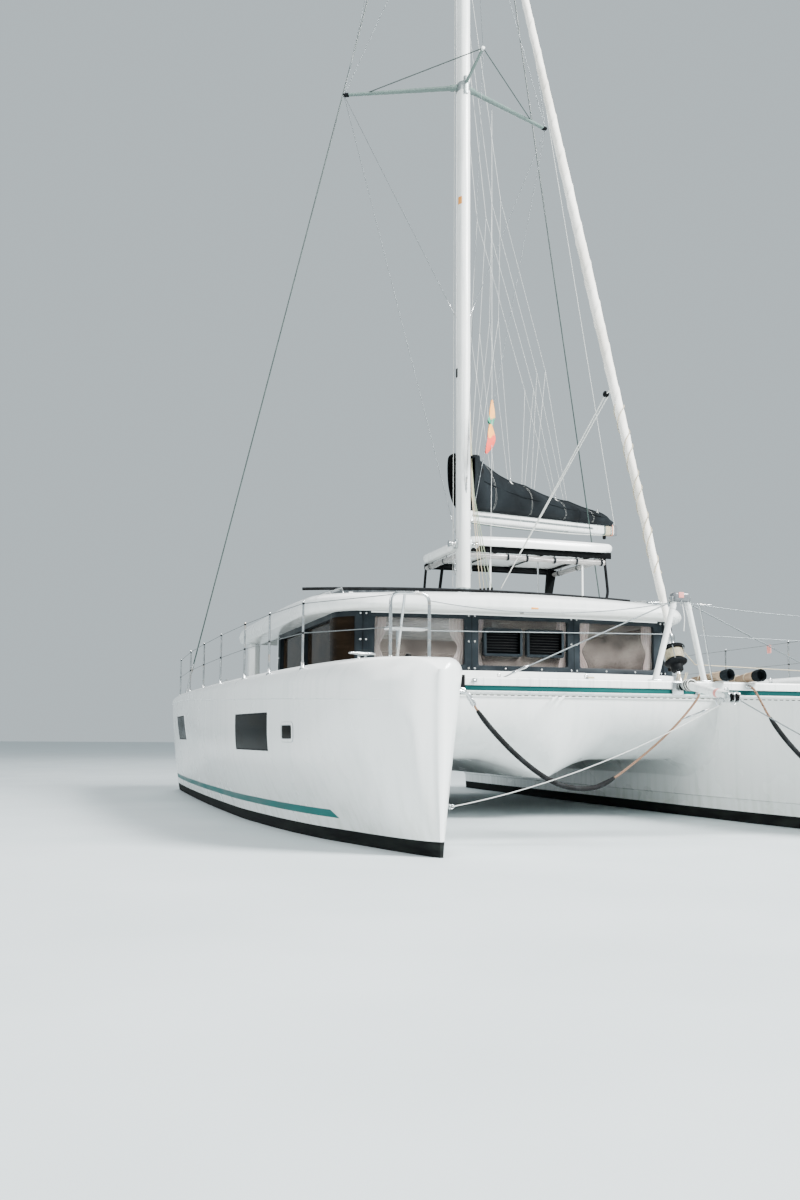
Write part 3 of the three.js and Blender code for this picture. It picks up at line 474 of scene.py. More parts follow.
GELCOAT = white_gelcoat()
DECK = non_slip_deck()
BOTTOM = antifouling()
TEAL = teal_stripe()
# The front, galley and door panes: their light grey-brown is partly painted reflection over the smoked tint
SMOKED = tinted_acrylic(dark="#57504c", light="#8b827b", alpha=0.33)
SIDE_SMOKED = tinted_acrylic("side_smoked_acrylic", "#14110e", "#33291f", 0.9, 0.03)
HULL_GLASS = hull_glazing()
GREY = grey_frame()
CURTAIN = curtain_cloth()
WHITE_ALLOY = painted_alloy()
ALLOY = bare_alloy()
STEEL = stainless()
WIRE = wire_rope()
BRONZE = bronze()
BLACK = black_plastic()
CANVAS = canvas()
SAIL = sailcloth()
WHITE_ROPE = rope("white_braid", "#b9bbb5", "#e6e7e2", 14)
BEIGE_ROPE = rope("beige_braid", "#978b70", "#c9bea2", 14)
GREEN_ROPE = rope("green_fleck_braid", "#5b6b50", "#aab49a", 14)
ORANGE_ROPE = rope("faded_orange_braid", "#a8644c", "#dc9a78", 14)
TEAL_ROPE = rope("dark_teal_braid", "#12302d", "#2b554f", 14)
WEBBING = canvas("white_webbing", "#d3d4cf", "#ecece6")
HATCH_GLASS = hull_glazing("smoked_hatch_acrylic", "#2b3033", "#454a4c")
BROWN_ROPE = rope("brown_laid_rope", "#4f3425", "#8d6a4d", 26)
SLEEVE = rubber_sleeve()
VINYL = clear_vinyl()
PINK = flag_cloth("faded_pink_label", 0.0, "#cf8078", "#b96a63")
# Dark teal that paints the shade in the crossbeam's groove, with a painted teal reflection
GROOVE_SHADE_TEAL = hull_glazing("teal_painted_groove_shade", "#16403f", "#1d5350")
FRAME = painted_alloy("dark_anodised_frame", "#2f3437", "#454b4e")
HEAD_GREY = painted_alloy("grey_cast_head", "#5d6164", "#4c5053")
# Grey-green that paints the shade on the spreaders and the jumper strut
SPREADER_SHADE_GREY = painted_alloy("grey_green_painted_shade", "#63756f", "#516460")
SHROUD = painted_alloy("dark_green_sleeved_wire", "#22332f", "#33453f")
FRAME_GREY = painted_alloy("pale_grey_window_frame", "#b4bbbc", "#989fa1")
CORNER_PANE = hull_glazing("brown_corner_pane", "#0b0907", "#1f1811")
SHADED = canvas("shaded_sail_and_lining", "#070808", "#101213")
# Near-black that paints the shade inside the vents' openings
VOID = hull_glazing("unlit_opening", "#040506", "#08090a")
SOLAR = solar_cells()
WOOD = joinery_wood()
TABLE = painted_alloy("matt_grey_laminate", "#b9bdbb", "#a3a8a6")
CABIN_CLOTH = canvas("cabin_upholstery", "#4c4641", "#6d655d")
SMOKED_PANE = hull_glazing("smoked_galley_pane", "#24282a", "#3a3a36")
FLAG_GREEN = flag_cloth("orange_green_flag", 5.7, "#f0a44c", "#1d8a6a")
FLAG_RED = flag_cloth("yellow_red_flag", 5.42, "#f6a13a", "#e0412c")
ORANGE = orange_lens()
CUSHION = canvas("grey_cushion_weave", "#7f8487", "#9ea2a4")
BROWN_CANVAS = canvas("brown_canvas", "#8a7460", "#b39d86")


# Curves and outlines

class Stations:
    """A table of sections along the boat, read between its rows on curves that never overshoot."""

    def __init__(self, rows):
        self.rows = rows
        self.slopes = [self.column_slopes(column) for column in range(1, len(rows[0]))]

    def column_slopes(self, column):
        steps = [(b[column] - a[column]) / (b[0] - a[0]) for a, b in zip(self.rows, self.rows[1:])]
        inner = [0 if p * q <= 0 else 2 * p * q / (p + q) for p, q in zip(steps, steps[1:])]
        return [steps[0], *inner, steps[-1]]

    def at(self, y):
        y = min(max(y, self.rows[0][0]), self.rows[-1][0])
        row = max(i for i in range(len(self.rows) - 1) if self.rows[i][0] <= y or i == 0)
        low, high = self.rows[row], self.rows[row + 1]
        span = high[0] - low[0]
        t = (y - low[0]) / span
        ends = (2 * t ** 3 - 3 * t ** 2 + 1, t ** 3 - 2 * t ** 2 + t, 3 * t ** 2 - 2 * t ** 3,
                t ** 3 - t ** 2)
        return [ends[0] * low[c + 1] + ends[1] * span * slopes[row]
                + ends[2] * high[c + 1] + ends[3] * span * slopes[row + 1]
                for c, slopes in enumerate(self.slopes)]


def spread(low, high, count):
    """Evenly spread numbers from low to high, both included."""
    return [low + (high - low) * i / (count - 1) for i in range(count)]


def turns(count):
    """The angles of points spread evenly round a circle."""
    return [2 * math.pi * i / count for i in range(count)]


def arc(centre, radii, from_degrees, to_degrees, count):
    """Points on a stretch of an ellipse, both ends included."""
    return [(centre[0] + radii[0] * math.cos(math.radians(a)), centre[1] + radii[1]
             * math.sin(math.radians(a))) for a in spread(from_degrees, to_degrees, count)]


def soft_step(low, high, value):
    t = min(1, max(0, (value - low) / (high - low)))
    return t * t * (3 - 2 * t)


def rounded_outline(low, high, radius, corner=5, along=0, up=0):
    """The outline of a rectangle with round corners, anticlockwise from the middle of its right edge, with
    extra points along its level edges and, an even number, up its other two."""
    radius = max(1e-4, min(radius, (high[0] - low[0]) / 2 - 1e-4, (high[1] - low[1]) / 2 - 1e-4))
    right, left, top, bottom = high[0] - radius, low[0] + radius, high[1] - radius, low[1] + radius
    quarters = [arc(centre, (radius, radius), 90 * i, 90 * i + 90, corner)
                for i, centre in enumerate(((right, top), (left, top), (left, bottom), (right, bottom)))]
    across = spread(left, right, along + 2)[1:-1]
    rise = spread(bottom, top, up + 2)[1:-1]
    return [*[(high[0], y) for y in rise[up // 2:]], *quarters[0],
            *[(x, high[1]) for x in reversed(across)], *quarters[1], *[(low[0], y) for y in reversed(rise)],
            *quarters[2], *[(x, low[1]) for x in across], *quarters[3],
            *[(high[0], y) for y in rise[:up // 2]]]


def smooth_path(points, per_span=6):
    """A smooth curve through given points, with even steps between them."""
    points = [Vector(p) for p in points]
    ends = [2 * points[0] - points[1], *points, 2 * points[-1] - points[-2]]
    path = []
    for a, b, c, d in zip(ends, ends[1:], ends[2:], ends[3:]):
        for t in (i / per_span for i in range(per_span)):
            path.append(0.5 * ((2 * b) + (c - a) * t + (2 * a - 5 * b + 4 * c - d) * t ** 2
                               + (3 * b - a - 3 * c + d) * t ** 3))
    return [*path, points[-1]]


def even(path, step):
    """A path's points again, evenly spaced."""
    path = [Vector(p) for p in path]
    run = [0]
    for a, b in zip(path, path[1:]):
        run.append(run[-1] + (b - a).length)
    points, i = [], 0
    for distance in spread(0, run[-1], max(2, round(run[-1] / step) + 1)):
        while i < len(path) - 2 and run[i + 1] < distance:
            i += 1
        points.append(path[i].lerp(path[i + 1], (distance - run[i]) / (run[i + 1] - run[i])))
    return points


def sagging(start, end, sag, count=16):
    """A line hung between two points, lowest in the middle by the given sag."""
    start, end = Vector(start), Vector(end)
    return [start.lerp(end, t) - Vector((0, 0, 4 * sag * t * (1 - t))) for t in spread(0, 1, count)]


def bend(corners, radius=0.05, steps=6):
    """A tube's path with its corners bent round."""
    corners = [Vector(c) for c in corners]
    path = [corners[0]]
    for before, corner, after in zip(corners, corners[1:], corners[2:]):
        arm = min(radius, (corner - before).length / 2, (after - corner).length / 2)
        start = corner + (before - corner).normalized() * arm
        end = corner + (after - corner).normalized() * arm
        path += [start.lerp(corner, t).lerp(corner.lerp(end, t), t) for t in spread(0, 1, steps)]
    return [*path, corners[-1]]


def upright(direction):
    """The turn that takes +Z to a direction."""
    return Vector(UP).rotation_difference(Vector(direction).normalized())


# Pieces

INLAY_STEPS = 14
# Half the height of an inlay's last ring where it closes to a line
SPINE_GAP = 5e-5


class Piece:
    """A body of the model under construction: a mesh and the finishes of its faces."""

    def __init__(self, name):
        self.name = name
        self.mesh = bmesh.new()
        self.finishes = []

    def finish(self, material):
        if material not in self.finishes:
            self.finishes.append(material)
        return self.finishes.index(material)

    def add(self, points, faces, material):
        """Faces over new points. The material is one for all faces, or one for each."""
        made = [self.mesh.verts.new(point) for point in points]
        materials = material if isinstance(material, list) else [material] * len(faces)
        for corners, own in zip(faces, materials):
            face = self.mesh.faces.new([made[c] for c in corners])
            face.material_index = self.finish(own)

    def skin(self, rings, material, capped=True, closed=False, around=None, ladder=False):
        """A skin over rings of equal count. closed joins the last ring to the first.
        The material is one, or one for each band between rings; around gives one for each step of a ring.
        ladder fills the ends with cross strips, for rings that follow a curved surface."""
        count = len(rings[0])
        bands = len(rings) if closed else len(rings) - 1
        faces = []
        materials = []
        for band in range(bands):
            first, second = band * count, (band + 1) % len(rings) * count
            for step in range(count):
                after = (step + 1) % count
                faces.append((first + step, first + after, second + after, second + step))
                banded = material[band] if isinstance(material, list) else material
                materials.append(around[step] if around else banded)
        if capped and not closed:
            last = (len(rings) - 1) * count
            for start, own in ((0, materials[0]), (last, materials[-1])):
                fill = [tuple(range(start, start + count))]
                if ladder:
                    fill = [(start + k, start + k + 1, start + count - 2 - k, start + count - 1 - k)
                            for k in range(count // 2 - 1)]
                faces += fill
                materials += [own] * len(fill)
        self.add([point for ring in rings for point in ring], faces, materials)

    def soft_box(self, low, high, radius, material, turn=None, steps=3):
        """A box with all its edges rounded, turned about its own middle."""
        rings = []
        for end, sign in ((low[2], 1), (high[2], -1)):
            angles = spread(0, 90, steps + 1)
            for angle in angles if sign > 0 else reversed(angles):
                inset = radius * (1 - math.sin(math.radians(angle)))
                z = end + sign * radius * (1 - math.cos(math.radians(angle)))
                outline = rounded_outline((low[0] + inset, low[1] + inset),
                                          (high[0] - inset, high[1] - inset), radius - inset, 4)
                rings.append([Vector((x, y, z)) for x, y in outline])
        if turn:
            middle = (Vector(low) + Vector(high)) / 2
            rings = [[middle + turn @ (point - middle) for point in ring] for ring in rings]
        self.skin(rings, material)

    def prism(self, outline, low, high, axis, material):
        """An outline carried straight along an axis, 0 for x, 1 for y or 2 for z."""
        def at(u, v, w):
            point = [u, v]
            point.insert(axis, w)
            return Vector(point)
        self.skin([[at(u, v, w) for u, v in outline] for w in (low, high)], material)

    def lathe(self, profile, origin, direction, material, sides=32):
        """A turned body: radii and distances along a line from the origin."""
        turn = upright(direction)
        rings = [[Vector(origin) + turn @ Vector((radius * math.cos(a), radius * math.sin(a), distance))
                  for a in turns(sides)] for radius, distance in profile]
        self.skin(rings, material)

    def rod(self, start, end, radius, material, sides=16):
        run = Vector(end) - Vector(start)
        self.lathe([(radius, 0), (radius, run.length)], start, run, material, sides)

    def tube(self, path, radius, material, sides=12, relief=None):
        """A round tube along a path. The radius is one, or one for each point.
        relief gives each point's share of it, from the angle round the tube and the distance along."""
        path = [Vector(p) for p in path]
        radii = radius if isinstance(radius, list) else [radius] * len(path)
        along = (path[1] - path[0]).normalized()
        across = along.orthogonal().normalized()
        rings = []
        run = 0
        for i, point in enumerate(path):
            ahead = (path[min(i + 1, len(path) - 1)] - path[max(i - 1, 0)]).normalized()
            across = (along.rotation_difference(ahead) @ across).normalized()
            along = ahead
            other = along.cross(across)
            run += (point - path[i - 1]).length if i else 0
            ring = []
            for a in turns(sides):
                out = radii[i] * (relief(a, run) if relief else 1)
                ring.append(point + out * (across * math.cos(a) + other * math.sin(a)))
            rings.append(ring)
        self.skin(rings, material)

    def hoop(self, centre, across, up, radius, material, steps=16, sides=8):
        """A closed ring of tube, by the two half axes of its round or oval."""
        centre, across, up = Vector(centre), Vector(across), Vector(up)
        path = [centre + across * math.cos(a) + up * math.sin(a) for a in spread(0, 2 * math.pi, steps + 1)]
        self.tube(path, radius, material, sides)

    def inlay(self, outline, surface, rings, up=0):
        """A fitted panel on a surface: rings of (inset, lift, finish) from its edge to its middle.
        outline is (low, high, radius) in the surface's own measures; up adds points to its short sides."""
        low, high, radius = outline
        loops = []
        for inset, lift, _ in rings:
            loop = rounded_outline((low[0] + inset, low[1] + inset), (high[0] - inset, high[1] - inset),
                                   radius - inset, along=INLAY_STEPS, up=up)
            loops.append([surface(u, v, lift) for u, v in loop])
        self.skin(loops, [own for _, _, own in rings[1:]], ladder=True)
        if up:
            bmesh.ops.remove_doubles(self.mesh, verts=self.mesh.verts, dist=SPINE_GAP * 3)

    def loose(self):
        """The piece as an object with its finishes, on no body yet."""
        self.mesh.normal_update()
        bmesh.ops.recalc_face_normals(self.mesh, faces=self.mesh.faces)
        mesh = bpy.data.meshes.new(self.name)
        self.mesh.to_mesh(mesh)
        self.mesh.free()
        for material in self.finishes:
            mesh.materials.append(material)
        return linked(self.name, mesh)

    def done(self, body="boat", slot=None, replaces=(), sharp=40, carve=(), round_edges=0.0):
        """The finished object, on its body. Cutters, if any, are taken out of it first."""
        thing = self.loose()
        for cutter in carve:
            cut_out(thing, cutter.loose())
        if round_edges:
            bevel = thing.modifiers.new("round", "BEVEL")
            bevel.width = round_edges
            bevel.segments = 4
            bevel.limit_method = "ANGLE"
            bake_modifiers(thing)
        settle(thing, sharp)
        return mount(thing, body, replaces)


def settle(thing, sharp):
    """Smooth shading with hard edges above an angle in degrees."""
    thing.data.shade_smooth()
    thing.data.set_sharp_from_angle(angle=math.radians(sharp))


def mount(thing, body, replaces):
    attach(thing, body)
    if replaces:
        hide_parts(*replaces)
    return thing


def cut_out(thing, cutter):
    """Takes one closed object out of another and removes the cutter."""
    modifier = thing.modifiers.new("cut", "BOOLEAN")
    modifier.object = cutter
    modifier.operation = "DIFFERENCE"
    modifier.solver = "EXACT"
    bake_modifiers(thing)
    bpy.data.objects.remove(cutter)


def bake_modifiers(thing):
    graph = bpy.context.evaluated_depsgraph_get()
    plain = bpy.data.meshes.new_from_object(thing.evaluated_get(graph))
    thing.modifiers.clear()
    old = thing.data
    thing.data = plain
    bpy.data.meshes.remove(old)


# Geometry Nodes: lines thickened into tubes, and one shape set on many points

def node_tree(name, sockets):
    tree = bpy.data.node_groups.new(name, "GeometryNodeTree")
    tree.interface.new_socket("Geometry", in_out="INPUT", socket_type="NodeSocketGeometry")
    for label, kind in sockets:
        tree.interface.new_socket(label, in_out="INPUT", socket_type=kind)
    tree.interface.new_socket("Geometry", in_out="OUTPUT", socket_type="NodeSocketGeometry")
    return tree, tree.nodes.new("NodeGroupInput"), tree.nodes.new("NodeGroupOutput")


def finish_tree(tree, given, leave, geometry):
    """Ends a tree: instances made real, smooth, and in their finish."""
    real = add_node(tree, "GeometryNodeRealizeInstances", {0: geometry}).outputs[0]
    smooth = add_node(tree, "GeometryNodeSetShadeSmooth", {0: real}).outputs[0]
    painted = add_node(tree, "GeometryNodeSetMaterial",
                       {"Geometry": smooth, "Material": given.outputs["Finish"]})
    tree.links.new(painted.outputs[0], leave.inputs[0])


def tube_tree():
    """Edges to round tubes, each as thick as its points' own attribute says."""
    tree, given, leave = node_tree("lines_to_tubes",
                                   [("Sides", "NodeSocketInt"), ("Finish", "NodeSocketMaterial")])
    curve = add_node(tree, "GeometryNodeMeshToCurve", {0: given.outputs[0]}).outputs[0]
    thickness = add_node(tree, "GeometryNodeInputNamedAttribute", {"Name": "thickness"}, data_type="FLOAT")
    thick = add_node(tree, "GeometryNodeSetCurveRadius",
                     {"Curve": curve, "Radius": thickness.outputs[0]}).outputs[0]
    ring = add_node(tree, "GeometryNodeCurvePrimitiveCircle",
                    {"Resolution": given.outputs["Sides"], "Radius": 1.0}).outputs[0]
    tubes = add_node(tree, "GeometryNodeCurveToMesh",
                     {"Curve": thick, "Profile Curve": ring, "Fill Caps": True})
    if "Scale" in tubes.inputs:
        tree.links.new(thickness.outputs[0], tubes.inputs["Scale"])
        tree.links.new(curve, tubes.inputs["Curve"])
    finish_tree(tree, given, leave, tubes.outputs[0])
    return tree


def bolt_tree():
    """A domed bolt head on a washer at each point, standing along the point's own direction."""
    tree, given, leave = node_tree("bolt_heads", [
        ("Radius", "NodeSocketFloat"), ("Height", "NodeSocketFloat"), ("Finish", "NodeSocketMaterial")])
    washer = add_node(tree, "GeometryNodeMeshCone", {
        "Vertices": 14, "Radius Top": 0.92, "Radius Bottom": 1.0, "Depth": 0.25}).outputs[0]
    dome = add_node(tree, "GeometryNodeMeshUVSphere", {"Segments": 12, "Rings": 6, "Radius": 0.62}).outputs[0]
    lifted = add_node(tree, "GeometryNodeTransform",
                      {"Geometry": dome, "Translation": (0, 0, 0.2)}).outputs[0]
    both = add_node(tree, "GeometryNodeJoinGeometry", {0: washer})
    tree.links.new(lifted, both.inputs[0])
    facing = add_node(tree, "GeometryNodeInputNamedAttribute", {"Name": "facing"}, data_type="FLOAT_VECTOR")
    turn = add_node(tree, "FunctionNodeAlignRotationToVector", {"Vector": facing.outputs[0]},
                    axis="Z").outputs[0]
    size = add_node(tree, "ShaderNodeCombineXYZ", {
        0: given.outputs["Radius"], 1: given.outputs["Radius"], 2: given.outputs["Height"]}).outputs[0]
    set_out = add_node(tree, "GeometryNodeInstanceOnPoints", {
        "Points": given.outputs[0], "Instance": both.outputs[0], "Rotation": turn, "Scale": size}).outputs[0]
    finish_tree(tree, given, leave, set_out)
    return tree


def grow(name, tree, values, points, edges=(), attributes=None):
    """Runs a tree over points and edges, and leaves a plain object."""
    mesh = bpy.data.meshes.new(name)
    mesh.from_pydata(points, edges, [])
    for label, (kind, numbers) in (attributes or {}).items():
        layer = mesh.attributes.new(label, kind, "POINT")
        layer.data.foreach_set("value" if kind == "FLOAT" else "vector", numbers)
    thing = linked(name, mesh)
    modifier = thing.modifiers.new("grow", "NODES")
    modifier.node_group = tree
    for socket in tree.interface.items_tree:
        if socket.item_type == "SOCKET" and socket.name in values:
            modifier[socket.identifier] = values[socket.name]
    bake_modifiers(thing)
    return thing


TUBES = tube_tree()
BOLTS = bolt_tree()


def lines(name, paths, material, sides=8, body="boat", replaces=()):
    """Wires, ropes or rails as one object. Each path is its points and a radius."""
    points, edges, thickness = [], [], []
    for path, radius in paths:
        edges += [(len(points) + i, len(points) + i + 1) for i in range(len(path) - 1)]
        points += [Vector(p) for p in path]
        thickness += [radius] * len(path)
    thing = grow(name, TUBES, {"Sides": sides, "Finish": material}, points, edges,
                 {"thickness": ("FLOAT", thickness)})
    settle(thing, 60)
    mount(thing, body, replaces)


def bolts(name, places, radius, height, material):
    """Bolt heads on a surface. Each place is a point and the way its head faces."""
    points = [Vector(point) for point, _ in places]
    facing = [number for _, way in places for number in way]
    thing = grow(name, BOLTS, {"Radius": radius, "Height": height, "Finish": material}, points,
                 attributes={"facing": ("FLOAT_VECTOR", facing)})
    mount(thing, "boat", ())


# Fittings used all over the boat

def at_side(side, out, y, z):
    """A place by its distance outboard of a hull's middle line."""
    return Vector((side * (HULL_X + out), y, z))


def eye_plate(piece, place, normal, size=0.03):
    """A pad eye: a round base with a ring standing on it."""
    place, turn = Vector(place), upright(normal)
    piece.lathe([(size, -0.004), (size, 0.004), (0.8 * size, 0.008), (0.3 * size, 0.012)], place, normal,
                STEEL, 20)
    across, up = turn @ Vector((0.7 * size, 0, 0)), turn @ Vector((0, 0, 0.7 * size))
    piece.hoop(place + turn @ Vector((0, 0, size)), across, up, 0.16 * size, STEEL)


def turnbuckle(piece, start, end, radius):
    """A rigging screw: a slim open body with a swaged end on each side."""
    start, end = Vector(start), Vector(end)
    half = [(0.4, 0), (0.45, 0.1), (1, 0.2), (1, 0.28), (0.7, 0.34)]
    profile = half + [(r, 1 - t) for r, t in reversed(half)]
    length = (end - start).length
    piece.lathe([(radius * r, length * t) for r, t in profile], start, end - start, STEEL, 14)


def cleat(piece, place, angle=0.0, length=0.28):
    """A horn cleat on two feet over a base plate. At angle 0 it lies fore and aft."""
    turn = Matrix.Translation(place) @ Matrix.Rotation(math.radians(angle), 4,
                                                       "Z") @ Matrix.Scale(length / 0.28, 4)
    horns = smooth_path([(0, -0.14, 0.062), (0, -0.09, 0.066), (0, 0, 0.06), (0, 0.09, 0.066),
                         (0, 0.14, 0.062)], 5)
    thick = [0.006 + 0.011 * max(0, 1 - abs(p.y) / 0.14) ** 0.6 for p in horns]
    piece.tube([turn @ p for p in horns], thick, STEEL, 12)
    for y in (-0.035, 0.035):
        piece.lathe([(0.024, 0), (0.016, 0.01), (0.012, 0.03), (0.014, 0.055)],
                    turn @ Vector((0, y, 0.004)), UP, STEEL, 16)
    plate = rounded_outline((-0.03, -0.075), (0.03, 0.075), 0.028, 6)
    piece.skin([[turn @ Vector((x, y, z)) for x, y in plate] for z in (-0.004, 0.004, 0.006)], STEEL)


def winch(piece, place, size=1.0, axis=UP):
    """A self-tailing winch: skirt, waisted drum and the jaws on top."""
    profile = [(62, 0), (62, 14), (50, 24), (42, 45), (42, 70), (50, 86), (60, 92), (60, 98), (48, 104),
               (60, 110), (60, 116), (40, 124), (14, 126)]
    piece.lathe([(size * r / 1000, size * d / 1000) for r, d in profile], place, axis, STEEL, 32)


def laid(angle, run):
    """Three strands laid up, one turn in 80 mm."""
    return 0.88 + 0.12 * math.cos(3 * (angle - 2 * math.pi * run / 0.08))


# Bridle: one rope a side, hung from a pad eye inside the bow to the crossbeam, in its chafe sleeve

BRIDLE_Y = -5.83
# x and z, and y where the rope leaves its plane
BRIDLES = {
    "starboard": [
        (-2.34, 1.405), (-2.285, 1.402), (-2.245, 1.375), (-2.205, 1.32), (-2.165, 1.255), (-2.11, 1.18),
        (-2.03, 1.085), (-1.93, 0.98), (-1.82, 0.875), (-1.7, 0.775), (-1.57, 0.68), (-1.43, 0.6),
        (-1.29, 0.55), (-1.15, 0.53), (-1.02, 0.535), (-0.9, 0.575), (-0.77, 0.645), (-0.62, 0.745),
        (-0.46, 0.86), (-0.3, 0.985), (-0.15, 1.115), (-0.02, 1.245), (0.06, 1.335), (0.097, 1.385, -5.828),
        (0.122, 1.42, -5.806), (0.13, 1.432, -5.773), (0.13, 1.432, -5.752)],
    "port": [
        (2.34, 1.405), (2.298, 1.393), (2.265, 1.35), (2.238, 1.29), (2.19, 1.17), (2.135, 1.045),
        (2.07, 0.92), (1.99, 0.8), (1.895, 0.7), (1.785, 0.63), (1.665, 0.605), (1.545, 0.62),
        (1.425, 0.67), (1.31, 0.745), (1.21, 0.83), (1.115, 0.92), (1.02, 1.02), (0.93, 1.13), (0.85, 1.24),
        (0.79, 1.34), (0.745, 1.415), (0.716, 1.462, -5.828), (0.69, 1.492, -5.808), (0.676, 1.502, -5.775),
        (0.675, 1.502, -5.752)],
}
SLEEVE_X = {"starboard": (-2.151, -0.796), "port": (0.874, 2.11)}
ROPE_RADIUS = 0.012


def bridle_ends(name, path):
    """The ferrule and two rings on each end of the rope, and the strop and links at the hull."""
    ends = Piece(f"bridle_ends_{name}")
    for tip, inner in ((path[0], path[8]), (path[-1], path[-9])):
        ends.lathe([(0.02, 0), (0.021, 0.012), (0.017, 0.05), (0.0145, 0.07)], tip, inner - tip, STEEL, 20)
        turn = upright(inner - tip)
        for reach in (0.03, 0.045):
            middle = tip.lerp(inner, reach / (inner - tip).length)
            ends.hoop(middle, turn @ Vector((0.02, 0, 0)), turn @ Vector((0, 0.02, 0)), 0.004, STEEL)
    ends.tube(path[4:24], 0.0145, STEEL, 12)
    for i in (4, 9, 14, 20):
        turn = upright(path[i + 2] - path[i])
        across = Vector((0, 0.022, 0)) if i % 2 else Vector((0.022, 0, 0))
        ends.hoop(path[i], turn @ across, turn @ Vector((0, 0, 0.04)), 0.0055, STEEL, 24)
    return ends.done(slot="stainless")


def make_bridle(name):
    route = [(x, *(y or [BRIDLE_Y]), z) for x, z, *y in BRIDLES[name]]
    path = even(smooth_path(route), 0.009)
    path = [p for p in path if abs(p.x) < HULL_X - 0.35]
    rope_piece = Piece(f"bridle_rope_{name}")
    rope_piece.tube(path, ROPE_RADIUS, BROWN_ROPE, 18, relief=laid)
    line = rope_piece.done(slot="rope", replaces=[f"bridle_{name}"], sharp=70)
    low, high = SLEEVE_X[name]
    covered = [p for p in path if low < p.x < high]
    ends = [min(1, min(i, len(covered) - 1 - i) / 12) for i in range(len(covered))]
    sleeve = Piece(f"bridle_sleeve_{name}")
    sleeve.tube(covered, [0.0145 + 0.0095 * t ** 0.5 for t in ends], SLEEVE, 20,
                relief=lambda angle, run: 1 + 0.025 * math.sin(2 * math.pi * run / 0.03))
    cover = sleeve.done(slot="rope")
    ends_made = bridle_ends(name, path)


for name in SIDES:
    make_bridle(name)


# Hulls

# y, deck, knuckle out, knuckle z, waterline out, deck in, waterline in, bottom
HULL = Stations([
    [-6.4, 1.56, 0.05, 1.28, 0.02, 0.045, 0.02, -0.15],
    [-6.345, 1.64, 0.24, 1.295, 0.042, 0.15, 0.038, -0.29],
    [-6.2, 1.672, 0.43, 1.3, 0.09, 0.25, 0.08, -0.38],
    [-5.9, 1.682, 0.64, 1.31, 0.18, 0.35, 0.16, -0.45],
    [-5.3, DECK_Z, 0.79, 1.33, 0.33, 0.45, 0.29, -0.51],
    [-4.2, DECK_Z, 0.945, 1.36, 0.58, 0.52, 0.44, -0.56],
    [-2.9, DECK_Z, 1.05, 1.39, 0.74, 0.54, 0.51, -0.6],
    [-1.2, DECK_Z, 1.13, 1.43, 0.85, 0.54, 0.54, -0.62],
    [1.2, DECK_Z, 1.164, 1.5, 0.87, 0.54, 0.54, -0.62],
    [3.2, DECK_Z, 1.15, 1.53, 0.85, 0.54, 0.54, -0.58],
    [4.6, 1.68, 1.095, 1.53, 0.82, 0.54, 0.53, -0.5],
    [5.7, 1.66, 1.01, 1.5, 0.79, 0.53, 0.51, -0.38],
    [6.4, 1.64, 0.93, 1.47, 0.76, 0.52, 0.49, -0.23],
])
DECK_CELLS = 14
BOOT_TOP_Z = 0.13
STRIPE_Z = (0.234, 0.31)
STRIPE_FRONT_Y = -5.0
TOPSIDE_ROUND = 1.62


def topside(y, z):
    """How far out the hull's side stands at a place below its knuckle."""
    _, knuckle_out, knuckle_z, water_out, *_ = HULL.at(y)
    t = min(1, max(0, z / knuckle_z))
    slab = soft_step(-5.7, -4.6, y) * soft_step(2.0, -0.5, y)
    fullness = TOPSIDE_ROUND + 3.4 * slab * max(0, t - 0.2)
    out = water_out + (knuckle_out - water_out) * (1 - (1 - t) ** fullness)
    return out + (KNUCKLE_LIP - PANEL_DEPTH * side_panel(out, z, knuckle_z)) * soft_step(0.3, 0.7, z)


def side_panel(out, z, knuckle_z):
    """1 inside the long panel that is set back under the knuckle, 0 ahead of its round front edge."""
    corner = 0.12 * soft_step(knuckle_z - 0.3, knuckle_z, z) ** 2
    edge = 0.13 + 0.08 * z + corner
    return soft_step(edge, edge + 0.05, out)


def hull_ring(side, y):
    deck, knuckle_out, knuckle_z, water_out, deck_in, water_in, bottom = HULL.at(y)
    shoulder = min(0.24, knuckle_out * 0.5)
    in_shoulder = min(0.12, deck_in * 0.5)
    rise = deck - knuckle_z
    lip = knuckle_out + KNUCKLE_LIP
    bow = soft_step(-4.9, -5.9, y)
    chine_in = water_in + (0.5 - 0.3 * bow) * (deck_in - water_in)
    ring = arc((0, 0), (water_out, -bottom), 270, 360, 14)
    ring += [(topside(y, z), z) for z in spread(0, knuckle_z - 0.004, 24)[1:]]
    ring += [(lip, knuckle_z + 0.006)]
    ring += [(lip - 0.006, knuckle_z + part * rise) for part in (0.18, 0.35)]
    ring += arc((lip - 0.006 - shoulder, knuckle_z + 0.35 * rise), (shoulder, 0.65 * rise), 0, 90, 14)[1:]
    ring += [(x, deck) for x in spread(lip - 0.006 - shoulder, in_shoulder - deck_in, DECK_CELLS + 1)[1:]]
    ring += arc((in_shoulder - deck_in, deck - in_shoulder), (in_shoulder, in_shoulder), 90, 180, 7)[1:]
    inner_foot = (-chine_in - 0.025 * (1 - bow), CHINE_Z + 0.012)
    ring += [(-deck_in + (inner_foot[0] + deck_in) * t, deck - in_shoulder
              + (inner_foot[1] - deck + in_shoulder) * t) for t in spread(0, 1, 12)[1:]]
    ring += [(-chine_in, CHINE_Z), (-0.5 * (chine_in + water_in), 0.5 * CHINE_Z)]
    ring += arc((0, 0), (water_in, -bottom), 180, 270, 14)[:-1]
    return [at_side(side, out, y, z) for out, z in ring]


# The stern's boarding steps between its side walls, as in the solids: y, z
STERN_STEPS = [(4.75, 1.29), (5.08, 0.95), (5.41, 0.62), (5.74, 0.33)]
STEP_OUT = (-0.41, 0.8)
WALL_SLOPE = [(4.95, 1.9), (4.95, 1.69), (6.15, 0.64), (6.6, 0.64), (6.6, 1.9)]


